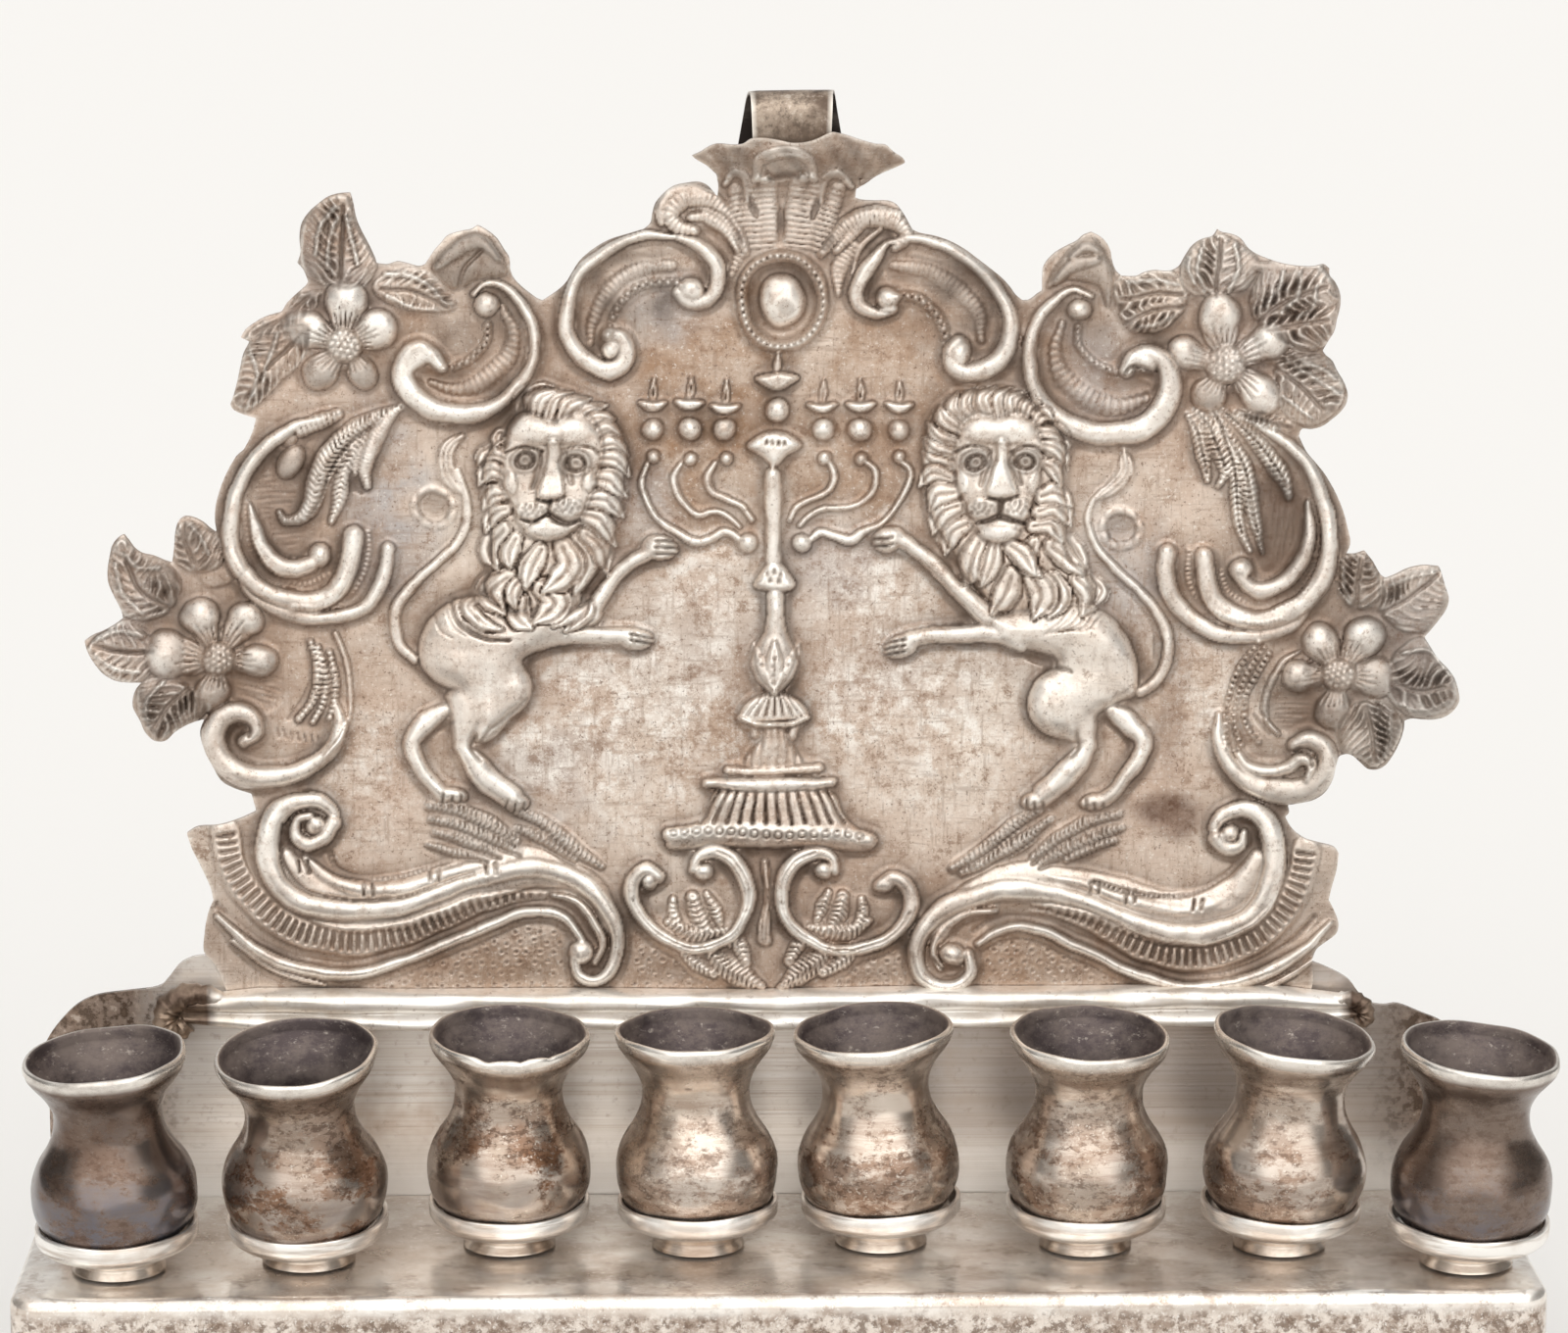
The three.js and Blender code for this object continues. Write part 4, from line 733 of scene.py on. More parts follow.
def ball_scroll_right():
    """The scroll with a ball, further right."""
    roll([(318, 916), (302, 922), (289, 917), (274, 905), (262, 885), (257, 860), (260, 830), (272, 805),
          (295, 785), (325, 776), (355, 776), (380, 785), (397, 805), (402, 830), (395, 848), (378, 857),
          (362, 852), (355, 839)], [3, 4, 6, 7, 8, 8, 9, 10, 12, 13, 14, 14, 13, 12, 10, 8],
         [1.8, 2.4, 2.6, 2.8, 3.1, 3.2, 3.2, 3.0], light=0.7)
    dome(373, 850, 18, 13, 3.3, turn=-20, light=0.9)
    cut([(352, 834), (358, 842), (370, 842), (382, 834), (388, 822)], [2, 3, 2], 1.2, dark=0.7)
    dome(307, 903, 12, 11, 3.0, light=0.6)
    roll([(290, 890), (283, 862), (290, 835), (315, 812), (345, 803), (375, 810)], [5, 9, 12, 14, 13, 8], 0.9,
         how="add", shape=1.0, ribs=(7.5, 0.2))
    pearled([(306, 886), (305, 870), (315, 855), (330, 843), (344, 838)], 5, 0.6, 6.5, 2.6, 0.5)


def side_scroll_left():
    """Scrolls and leaves beside the left lion."""
    roll([(-462, 792), (-480, 788), (-503, 774), (-525, 755), (-541, 733), (-550, 705), (-553, 675),
          (-548, 650), (-535, 630), (-510, 613), (-480, 605), (-455, 610), (-440, 625), (-431, 648),
          (-428, 672)], [3, 6, 8, 8, 8, 9, 10, 10, 11, 11, 11, 11, 11],
         [1.5, 2.4, 2.6, 2.8, 2.8, 2.8, 2.9], light=0.85)
    roll([(-546, 640), (-535, 615), (-512, 600), (-477, 590), (-442, 590), (-415, 600), (-402, 620),
          (-396, 640), (-393, 660)], [3, 5, 7, 8, 8, 8, 8, 8, 7], [1.2, 1.8, 2.0, 2.2, 2.2], light=0.5)
    roll([(-533, 705), (-527, 680), (-519, 660), (-505, 645), (-488, 639), (-472, 643)],
         [2, 6, 8, 10, 10, 10], [1.0, 2.4, 2.6], light=0.8)
    dome(-463, 652, 12, 14, 2.9, light=0.9)
    roll([(-540, 715), (-536, 680), (-528, 655), (-508, 633), (-478, 622), (-452, 632)], 5, 0.5, how="add",
         ribs=(5.5, 0.35), base=0.1)
    roll([(-414, 680), (-414, 650), (-428, 618), (-455, 600), (-490, 598)], 4, 0.5, how="add", ribs=(5, 0.35))
    dome(-492, 748, 14, 20, 1.6, turn=-25, shape=0.6)
    dome(-494, 772, 9, 13, 1.2, turn=-50, shape=0.6, dark=0.4)
    roll([(-445, 795), (-462, 790), (-482, 780)], [7, 10, 7], 1.7, ribs=(5.5, 0.6), light=0.4)
    roll([(-380, 803), (-405, 792), (-432, 775), (-452, 752), (-463, 728), (-470, 705), (-482, 690),
          (-497, 688), (-502, 696)], [4, 8, 10, 12, 13, 12, 10, 7, 3], [1.2, 2.0, 2.6, 2.6, 2.2],
         ribs=(5.6, 0.75, 1.5), light=0.55)
    cut([(-400, 790), (-432, 768), (-450, 742), (-458, 715), (-468, 697)], 2, 0.8, dark=0.7)
    roll([(-400, 785), (-425, 765), (-438, 735), (-442, 705), (-450, 688)], [4, 8, 9, 8, 4],
         [1.0, 1.8, 2.0, 1.6], ribs=(5.6, 0.7, -1.5), light=0.5)
    roll([(-385, 800), (-400, 785), (-411, 765), (-417, 745), (-414, 722)], [4, 8, 10, 9, 4],
         [1.4, 2.2, 2.4, 1.8], ribs=(4, 0.4, 1.2), light=0.5)
    roll([(-398, 790), (-410, 770), (-424, 755), (-427, 735)], [3, 6, 7, 3], 1.6, ribs=(4, 0.4, -1.2),
         light=0.4)
    cut([(-430, 735), (-428, 722), (-420, 715)], 3, 0.8, dark=0.9)


def side_scroll_right():
    """Scrolls and leaves beside the right lion."""
    roll([(478, 792), (500, 780), (522, 764), (540, 745), (553, 715), (562, 682), (563, 650), (556, 625),
          (540, 604), (517, 591), (490, 585), (465, 590), (447, 604), (438, 625), (434, 650)],
         [3, 6, 7, 8, 9, 10, 11, 11, 12, 12, 11, 11, 11], [1.5, 2.2, 2.6, 2.8, 2.8, 2.8, 2.9], light=0.8)
    roll([(550, 604), (530, 582), (500, 570), (470, 569), (440, 577), (415, 592), (401, 612), (395, 635),
          (396, 655)], [3, 6, 8, 9, 9, 10, 10, 10, 9], [1.2, 1.9, 2.2, 2.4, 2.4], light=0.6)
    roll([(541, 705), (542, 675), (536, 646), (522, 627), (502, 616), (484, 617), (472, 628)],
         [3, 7, 8, 9, 9, 9, 8], [1.4, 2.2, 2.4, 2.6], light=0.7)
    dome(473, 636, 13, 13, 3.0, light=0.9)
    cut([(484, 645), (487, 636), (482, 628)], 2, 1.0, dark=0.8)
    roll([(550, 650), (540, 620), (515, 602), (485, 600), (460, 612), (452, 635)], 4, 0.5, how="add",
         ribs=(5, 0.35))
    roll([(418, 660), (420, 625), (440, 597), (475, 584), (515, 588)], 4, 0.5, how="add", ribs=(5, 0.35))
    leaves = (([(440, 802), (462, 770), (478, 735), (485, 700), (490, 672), (496, 652)],
               [4, 8, 9, 9, 7, 2], 1.2), ([(440, 802), (455, 775), (466, 740), (470, 700), (474, 672),
                                           (482, 655)], [4, 7, 8, 8, 7, 3], -1.2),
              ([(425, 798), (440, 780), (452, 755), (457, 735), (450, 722)], [4, 8, 10, 8, 3], 1.2),
              ([(418, 796), (428, 775), (437, 750), (440, 728)], [3, 7, 8, 3], -1.2),
              ([(452, 800), (478, 780), (502, 752), (517, 728), (522, 712)], [4, 7, 10, 10, 4], 1.2),
              ([(468, 797), (490, 789), (510, 782)], [4, 9, 6], 1.0))
    for run, wide, tilt in leaves:
        roll(run, wide, [1.0, 2.0, 2.3, 2.0], ribs=(5.8, 0.9, tilt), light=0.6)
        line = curve(run)
        cut([tuple(p) for p in line[2:-2:6]], 1.6, 0.7, dark=0.85)


def low_scroll_left():
    """The scroll and leaves below the lower left flower."""
    roll([(-446, 505), (-441, 482), (-448, 458), (-466, 442), (-492, 431), (-520, 427), (-546, 434),
          (-563, 450), (-568, 470), (-560, 489), (-545, 494), (-530, 487), (-526, 474), (-538, 465)],
         [4, 8, 9, 10, 11, 13, 14, 13, 12, 11, 9, 7], [1.4, 2.2, 2.6, 2.9, 3.0, 3.0, 2.8], light=0.6)
    cut([(-552, 470), (-545, 480), (-535, 478), (-533, 470)], 2.5, 0.9, dark=0.8)
    roll([(-446, 572), (-434, 545), (-429, 510), (-435, 475), (-455, 448)], 3, 0.8, how="add")
    for run in ([(-470, 566), (-463, 535), (-468, 508), (-483, 488)],
                             [(-463, 560), (-455, 530), (-458, 505), (-468, 486)],
                             [(-452, 556), (-445, 530), (-446, 508), (-452, 488)]):
        roll(run, [3, 5, 5, 3.5], 1.6, ribs=(5.5, 0.9), light=0.6)
    cut([(-475, 566), (-470, 535), (-478, 510), (-493, 488)], 2, 0.5, dark=0.6)
    for k in range(7):
        cut([(-505 + 7 * k, 478 - 1.5 * k), (-503 + 7 * k, 470 - 1.5 * k)], 1.2, 0.4, dark=0.7)


def low_scroll_right():
    """The scroll and leaves below the lower right flower."""
    roll([(452, 490), (452, 465), (460, 442), (476, 424), (500, 413), (528, 410), (550, 418), (562, 436),
          (558, 455), (543, 463), (528, 458)], [4, 8, 9, 10, 12, 14, 14, 13, 12, 10, 7],
         [1.4, 2.2, 2.6, 2.9, 3.0, 3.0, 2.8], light=0.5)
    roll([(470, 450), (480, 436), (500, 430), (520, 434), (534, 444), (546, 438), (541, 420)],
         [4, 7, 8, 8, 7, 5], [1.6, 2.6, 3.4, 3.4], light=0.5)
    cut([(525, 452), (534, 455), (544, 448), (546, 436)], 2.5, 1.0, dark=0.9)
    for run in ([(492, 560), (472, 535), (462, 508), (460, 480), (462, 455)],
                [(498, 556), (480, 530), (470, 505), (468, 480), (474, 458)],
                [(503, 550), (488, 527), (478, 505), (480, 480), (492, 460)]):
        beads(run, 6.2, 3.2, 1.0, base=0.2)
    for k in range(5):
        cut([(466 + 7 * k, 478 + 3 * k), (470 + 11 * k, 452 + 5 * k)], 1.8, 0.8, dark=0.9)
    roll([(535, 555), (515, 540), (500, 510), (500, 485), (512, 468)], [2, 4, 4, 2], 1.0, how="add",
         light=0.3)


def long_scroll_left():
    """The long double scroll at the foot, left."""
    left_roll = [(-448, 378), (-450, 392), (-462, 402), (-480, 404), (-500, 396), (-512, 374), (-512, 342),
                 (-500, 316), (-472, 299), (-432, 292), (-392, 294), (-352, 305), (-310, 320), (-270, 332),
                 (-237, 335), (-207, 326), (-181, 305), (-164, 278), (-161, 250), (-168, 229), (-185, 220),
                 (-199, 227), (-204, 242)]
    roll([(-497, 345), (-480, 318), (-445, 300), (-400, 298), (-350, 308), (-300, 324), (-255, 336),
          (-215, 330), (-180, 305), (-166, 272)], [14, 24, 28, 28, 28, 26, 24, 20, 14, 9], 1.7, shape=0.5,
         light=0.5)
    roll(left_roll, [6, 9, 12, 13, 13, 12, 12, 11, 11, 10, 10, 11, 12, 12, 11, 9, 8, 7, 6],
         [1.8, 2.6, 3.0, 3.0, 2.8, 2.6, 2.8, 2.8, 2.4, 2.2], light=0.95)
    roll([(-449, 380), (-458, 366), (-472, 360), (-486, 368), (-485, 384), (-472, 388)], [9, 9, 8, 6, 5],
         3.0, light=0.8)
    dome(-466, 378, 12, 11, 3.2, light=0.9)
    roll([(-475, 345), (-455, 325), (-425, 313), (-392, 312), (-352, 320), (-312, 333), (-275, 342)],
         [4, 8, 9, 9, 9, 8, 4], [1.2, 2.0, 2.2, 2.2, 1.8], light=0.75)
    roll([(-500, 380), (-498, 345), (-480, 318), (-440, 303), (-395, 303), (-350, 314), (-305, 328)], 2,
         0.4, how="cut")
    for u, v in ((-478, 336), (-413, 312), (-345, 326), (-288, 333)):
        cut([(u - 4, v + 7), (u - 3, v - 5)], 1.7, 0.7, dark=0.85)
        cut([(u + 5, v + 7), (u + 6, v - 5)], 1.7, 0.7, dark=0.85)
    gadroons([(-557, 372), (-551, 342), (-535, 314), (-510, 289), (-480, 271), (-440, 262), (-400, 262),
              (-370, 270), (-335, 283), (-300, 296), (-265, 305), (-230, 306)], 8.6,
             [13, 13, 13, 13, 13, 12, 11, 9, 6, 3])
    groove_beads([(-452, 352), (-446, 337), (-427, 327), (-400, 324), (-370, 329), (-335, 341)], 5.2, 3.2)
    groove_beads([(-563, 298), (-546, 276), (-520, 258), (-490, 245), (-460, 239), (-430, 239), (-400, 246),
                  (-365, 256), (-330, 271), (-295, 286), (-260, 297), (-232, 300), (-212, 294), (-198, 280),
                  (-189, 262)], 5.2, 2.8)
    cut([(-400, 246), (-365, 256), (-330, 271), (-295, 286), (-260, 297), (-232, 300), (-212, 294),
         (-198, 280)], 8, 0.2, dark=0.75)
    roll([(-563, 288), (-535, 260), (-505, 241), (-470, 230), (-430, 227), (-395, 235), (-360, 247),
          (-325, 262), (-290, 277), (-260, 288), (-232, 290), (-212, 282), (-201, 268), (-192, 255)],
         [3, 6, 7, 7, 7, 6, 6, 6, 6, 5, 4], [1.4, 2.4, 2.4, 2.2, 2.0, 1.8], light=0.85)
    roll([(-548, 262), (-520, 240), (-490, 225), (-455, 217)], [2, 4, 4, 2], 1.2, light=0.3)
    roll([(-225, 306), (-200, 298), (-183, 276), (-176, 255), (-183, 240)], [3, 5, 5, 4], 1.8, light=0.4)
    dome(-197, 249, 14, 13, 3.0, light=0.95)


def long_scroll_right():
    """The long double scroll at the foot, right."""
    right_roll = [(452, 358), (448, 374), (457, 387), (476, 393), (495, 386), (506, 368), (508, 340),
                  (500, 305), (480, 279), (450, 267), (415, 265), (380, 272), (345, 287), (310, 300),
                  (275, 308), (240, 311), (205, 305), (172, 291), (150, 270), (143, 245), (150, 222),
                  (168, 211), (188, 214), (200, 228), (198, 245)]
    roll([(492, 340), (474, 305), (440, 285), (395, 283), (345, 298), (300, 310), (255, 318), (215, 312),
          (182, 292), (165, 262)], [14, 24, 28, 28, 28, 26, 24, 20, 14, 9], 1.7, shape=0.5, light=0.5)
    roll(right_roll, [6, 9, 12, 13, 13, 12, 12, 11, 11, 10, 10, 11, 12, 12, 11, 9, 8, 7, 6],
         [1.8, 2.6, 3.0, 3.0, 2.8, 2.6, 2.8, 2.8, 2.4, 2.2], light=0.85)
    roll([(450, 362), (460, 352), (474, 356), (478, 368)], [9, 9, 7, 4], 3.0, light=0.7)
    dome(463, 366, 11, 11, 3.1, light=0.8)
    roll([(480, 322), (458, 300), (425, 288), (392, 290), (352, 303), (315, 316), (280, 325)],
         [4, 8, 9, 9, 9, 8, 4], [1.2, 2.0, 2.2, 2.2, 1.8], light=0.7)
    for u, v in ((432, 293), (362, 303), (325, 312)):
        cut([(u - 4, v + 7), (u - 5, v - 5)], 1.7, 0.7, dark=0.85)
        cut([(u + 5, v + 7), (u + 4, v - 5)], 1.7, 0.7, dark=0.85)
    gadroons([(541, 350), (533, 317), (517, 288), (492, 262), (455, 246), (420, 241), (388, 246), (355, 260),
              (325, 275), (295, 286), (262, 291)], 8.8, [13, 13, 13, 13, 12, 12, 11, 9, 6, 3])
    groove_beads([(325, 319), (350, 311), (385, 304), (410, 304), (435, 310), (455, 322), (470, 338)], 5.2,
                 3.0)
    groove_beads([(548, 280), (526, 256), (500, 240), (470, 227), (430, 222), (395, 225), (360, 238),
                  (330, 250), (300, 262), (270, 275), (240, 283), (218, 280), (203, 268)], 5.2, 2.6)
    cut([(430, 222), (395, 225), (360, 238), (330, 250), (300, 262), (270, 275), (240, 283), (218, 280)],
        8, 0.2, dark=0.75)
    roll([(566, 274), (543, 251), (511, 229), (475, 215), (435, 210), (400, 213), (365, 225), (330, 241),
          (300, 254), (270, 267), (245, 272), (224, 268), (208, 256)], [3, 6, 8, 8, 7, 6, 6, 6, 6, 5, 4],
         [1.4, 2.4, 2.4, 2.2, 2.0, 1.8], light=0.8)
    roll([(560, 248), (530, 224), (490, 206), (450, 199)], [2, 4, 4, 2], 1.2, light=0.3)
    roll([(225, 290), (195, 286), (170, 270), (160, 248), (168, 230)], [3, 5, 5, 4], 1.8, light=0.4)
    dome(181, 244, 16, 12, 3.0, turn=-20, light=0.7)
    cut([(160, 240), (172, 228), (188, 230)], 2.4, 1.0, dark=0.7)


def middle_scrolls():
    """The pair of scrolls in the middle, with leaves and pricked grounds."""
    for run, wide in (([(-82, 332), (-80, 343), (-66, 350), (-50, 347), (-37, 336), (-29, 315), (-29, 290),
                        (-41, 268), (-63, 256), (-90, 254), (-115, 264), (-135, 283), (-145, 305),
                        (-142, 324), (-130, 333), (-116, 326)],
                       [5, 8, 9, 9, 8, 7, 7, 7, 7, 7, 7, 8, 9, 9, 7]),
                      ([(62, 330), (60, 341), (46, 348), (28, 344), (13, 330), (6, 306), (13, 280),
                        (32, 261), (58, 250), (86, 251), (111, 258), (130, 275), (139, 295), (133, 315),
                        (119, 323), (106, 316)], [5, 8, 9, 9, 8, 7, 7, 7, 7, 7, 7, 8, 9, 9, 7])):
        roll(run, wide, [2.0, 2.6, 2.6, 2.2, 2.2, 2.6], light=0.8)
        inner = curve(run)
        cut([tuple(p) for p in inner[10:-14:6]], 1.4, 0.45, dark=0.4)
    for u, v in ((-72, 330), (-126, 322), (50, 330), (112, 316)):
        dome(u, v, 10, 9, 2.7, light=0.7)
    for su, cu in ((-1, -86), (1, 72)):
        for run, wide in (([(36, -25), (20, -28), (-2, -28), (-24, -18)], [4, 9, 10, 5]),
                          ([(18, -26), (8, -10), (4, 8)], [5, 11, 7]),
                          ([(30, -18), (24, 0), (18, 12)], [4, 8, 4]),
                          ([(-10, -24), (-18, -8), (-16, 6)], [4, 7, 4])):
            roll([(cu - su * pu, 297 + pv) for pu, pv in run], wide, 1.7, ribs=(5.4, 0.75, 1.2 * su),
                 light=0.45)
    for run, wide in (([(-14, 213), (-34, 224), (-52, 236), (-66, 252)], [4, 13, 13, 5]),
                      ([(-62, 226), (-78, 236), (-98, 252)], [5, 9, 4]),
                      ([(-30, 238), (-38, 256), (-52, 258)], [6, 9, 4]),
                      ([(4, 212), (22, 224), (40, 236), (54, 250)], [4, 13, 13, 5]),
                      ([(48, 226), (64, 236), (84, 250)], [5, 9, 4]),
                      ([(14, 238), (24, 255), (40, 257)], [6, 9, 4])):
        roll(run, wide, 1.6, ribs=(5.4, 0.7, 1.2), light=0.4)
    roll([(-10, 262), (-8, 300), (-10, 340)], [7, 5, 4], 0.9, lines=(5, 0.3))
    stipple([(-470, 208), (-400, 222), (-330, 248), (-262, 272), (-225, 278), (-205, 262), (-208, 232),
             (-188, 210), (-150, 212), (-140, 250), (-100, 240), (-60, 214), (-60, 196), (-470, 196)], 13,
            1.8, 0.34)
    stipple([(45, 210), (80, 240), (120, 250), (140, 236), (150, 208), (190, 204), (215, 225), (222, 258),
             (262, 262), (310, 240), (380, 210), (430, 200), (430, 192), (45, 196)], 13, 1.8, 0.34)


def medallion():
    """An oval ball in a pearled ring."""
    mid_u, mid_v, half_wide, half_tall, pearls = 5, 911, 42, 48, 38
    here = window((-50, 850), (60, 975))
    r = np.hypot((U[here] - mid_u) / half_wide, (V[here] - mid_v) / half_tall)
    H[here] += 1.5 * bell(r - 1.0, 0.13) - 1.0 * clamped(1 - (r / 0.86) ** 6)
    raised(DARK, here, 0.3 * bell(r - 0.76, 0.1))
    dome(mid_u, mid_v, 25, 29, 3.2, base=-1.0, light=0.95)
    dome(9, 903, 11, 9, 0.25, how="cut", dark=0.4)
    for k in range(pearls):
        a = 2 * math.pi * k / pearls
        dome(mid_u + half_wide * math.cos(a), mid_v + half_tall * math.sin(a), 3.3, 3.3, 0.7, how="add",
             light=0.5)
        b = a + math.pi / pearls
        dot(mid_u + (half_wide - 0.5) * math.cos(b), mid_v + (half_tall - 0.5) * math.sin(b), 1.7, 0.8, 0.0)


def fan():
    """Ribs that spread from the medallion to the lip."""
    for top, low, wide in (((-44, 1022), (-34, 962), [6, 10, 7]), ((-27, 1030), (-20, 964), [8, 12, 8]),
                           ((-10, 1032), (-7, 966), [7, 10, 8]), ((22, 1032), (14, 966), [7, 11, 8]),
                           ((40, 1030), (27, 964), [8, 12, 8]), ((62, 1026), (40, 960), [6, 11, 7])):
        mid = ((top[0] + low[0]) / 2, (top[1] + low[1]) / 2)
        roll([low, mid, top], [1.15 * w for w in wide], [0.5, 1.0, 1.2], shape=0.6, ribs=(5.6, 0.36),
             light=0.3, shade=0.3)
    for u, v, ru, rv, turn in ((3, 992, 4, 15, 0), (-24, 1008, 4, 13, 18), (39, 1006, 4, 14, -20),
                               (-38, 975, 4, 11, 20), (51, 970, 5, 12, -35)):
        dome(u, v, ru, rv, 1.0, turn=turn, how="cut", dark=0.95)
        dome(u, v + 3, ru * 0.5, rv * 0.5, 0.5, turn=turn, how="add", light=0.2)


def rolled_sides():
    """The ribbed rolls beside the fan."""
    roll([(-30, 960), (-42, 982), (-58, 1002), (-78, 1014), (-98, 1012), (-108, 998), (-98, 986), (-84, 984)],
         [4, 8, 11, 12, 12, 11, 9, 6], [1.0, 1.6, 2.0, 2.2, 2.0], ribs=(5, 0.34), light=0.3)
    roll([(-40, 962), (-54, 984), (-72, 996), (-88, 996)], [3, 6, 7, 5], 1.6, ribs=(5, 0.3), light=0.5)
    cut([(-36, 970), (-50, 994), (-72, 1006), (-92, 1004)], 1.5, 0.6, dark=0.7)
    roll([(-116, 990), (-118, 1006), (-104, 1020), (-86, 1024), (-70, 1018)], [4, 7, 8, 7, 4], 1.6, light=0.1)
    roll([(44, 958), (60, 978), (82, 994), (104, 996), (124, 988), (130, 974), (120, 966)],
         [4, 7, 10, 11, 10, 8, 5], [1.0, 1.6, 2.0, 2.1, 1.9], ribs=(5, 0.34), light=0.3)
    roll([(58, 962), (78, 982), (100, 1002), (122, 1000)], [4, 7, 8, 5], 1.6, ribs=(5, 0.3), light=0.4)
    roll([(62, 920), (62, 945), (76, 968)], [4, 10, 7], 0.9, ribs=(5, 0.25), light=0.2)
    roll([(-40, 985), (-36, 965), (-46, 940)], [3, 7, 5], 0.6, ribs=(5, 0.25), light=0.2)
    roll([(75, 940), (82, 965), (104, 985)], [3, 4, 3], 1.0, light=0.2)


def lip_cartouche():
    """The small cartouche on the lip, and the lip's folds."""
    roll([(-22, 1035), (-18, 1055), (5, 1064), (30, 1056), (37, 1035)], [4, 6, 7, 6, 4], 1.3, how="add",
         light=0.5)
    dome(8, 1050, 22, 12, 1.0, how="add", light=0.6)
    dome(-14, 1037, 9, 5, 1.4, how="add", light=0.7)
    dome(28, 1036, 9, 5, 1.4, how="add", light=0.7)
    cut([(-8, 1038), (6, 1040), (20, 1037)], [3, 5, 3], 1.3, dark=0.95)
    roll([(-54, 1028), (-44, 1040), (-34, 1036), (-28, 1012)], [3, 5, 5, 3], 1.2, light=0.4)
    roll([(74, 1028), (60, 1042), (48, 1036), (44, 1012)], [3, 5, 5, 3], 1.2, light=0.4)
    for u0, u1 in ((-118, -58), (-96, -48), (-70, -40), (-48, -30), (44, 62), (60, 84), (74, 104), (84, 124)):
        cut([(u1, 1030), ((u0 + u1) / 2, 1044), (u0, 1062)] if u0 < 0
            else [(u0, 1030), ((u0 + u1) / 2, 1042), (u1, 1066)], [2, 4, 2], 0.3, dark=0.45)
    hatch([(-110, 1046), (-40, 1068), (-30, 1050), (-45, 1040)], 84, 4.0, 0.2)
    hatch([(50, 1048), (60, 1076), (95, 1066), (90, 1046)], 75, 6.5, 0.3)


def flower_upper_left():
    """The upper left flower and its leaves."""
    leaf([(-480, 945), (-483, 975), (-474, 1000), (-455, 1014), (-436, 1018), (-428, 992), (-412, 962),
          (-405, 948), (-420, 925), (-455, 925)], [[(-445, 925), (-441, 960), (-440, 1008)]],
         veins=([(-466, 960), (-462, 985), (-448, 1005)], [(-455, 945), (-452, 975), (-446, 995)],
                [(-425, 950), (-432, 975), (-438, 998)]))
    leaf([(-540, 800), (-552, 808), (-545, 840), (-535, 868), (-515, 888), (-492, 900), (-470, 880),
          (-480, 850), (-505, 825)], [[(-480, 880), (-510, 848), (-538, 812)]],
         veins=([(-532, 862), (-525, 838), (-532, 815)], [(-505, 880), (-512, 855), (-520, 830)]))
    leaf([(-538, 872), (-520, 892), (-500, 898), (-480, 922), (-462, 920), (-475, 895), (-500, 880)],
         [[(-475, 915), (-500, 895), (-530, 878)]], rise=1.0)
    leaf([(-400, 940), (-360, 944), (-340, 930), (-325, 905), (-350, 900), (-385, 905), (-410, 925)],
         [[(-400, 925), (-370, 922), (-335, 905)]], rise=1.1, dark=0.6, veins=(
        [(-398, 940), (-375, 938), (-350, 925), (-335, 908)], [(-395, 918), (-370, 905), (-345, 902)]))
    pillow([(-350, 945), (-330, 975), (-304, 984), (-280, 960), (-275, 938), (-305, 930), (-330, 925)],
           1.4, 18, dark=0.8)
    roll([(-345, 945), (-325, 965), (-300, 972), (-282, 955)], [4, 9, 8, 4], 0.9, how="add")
    cut([(-322, 925), (-318, 945), (-300, 962)], 3, 0.7, dark=0.6)
    flower(-438, 866, 18, [(-437, 911, 19, 20), (-477, 882, 16, 21), (-406, 883, 18, 18), (-462, 839, 17, 15),
                           (-420, 838, 17, 12)], dim=(3, 4))


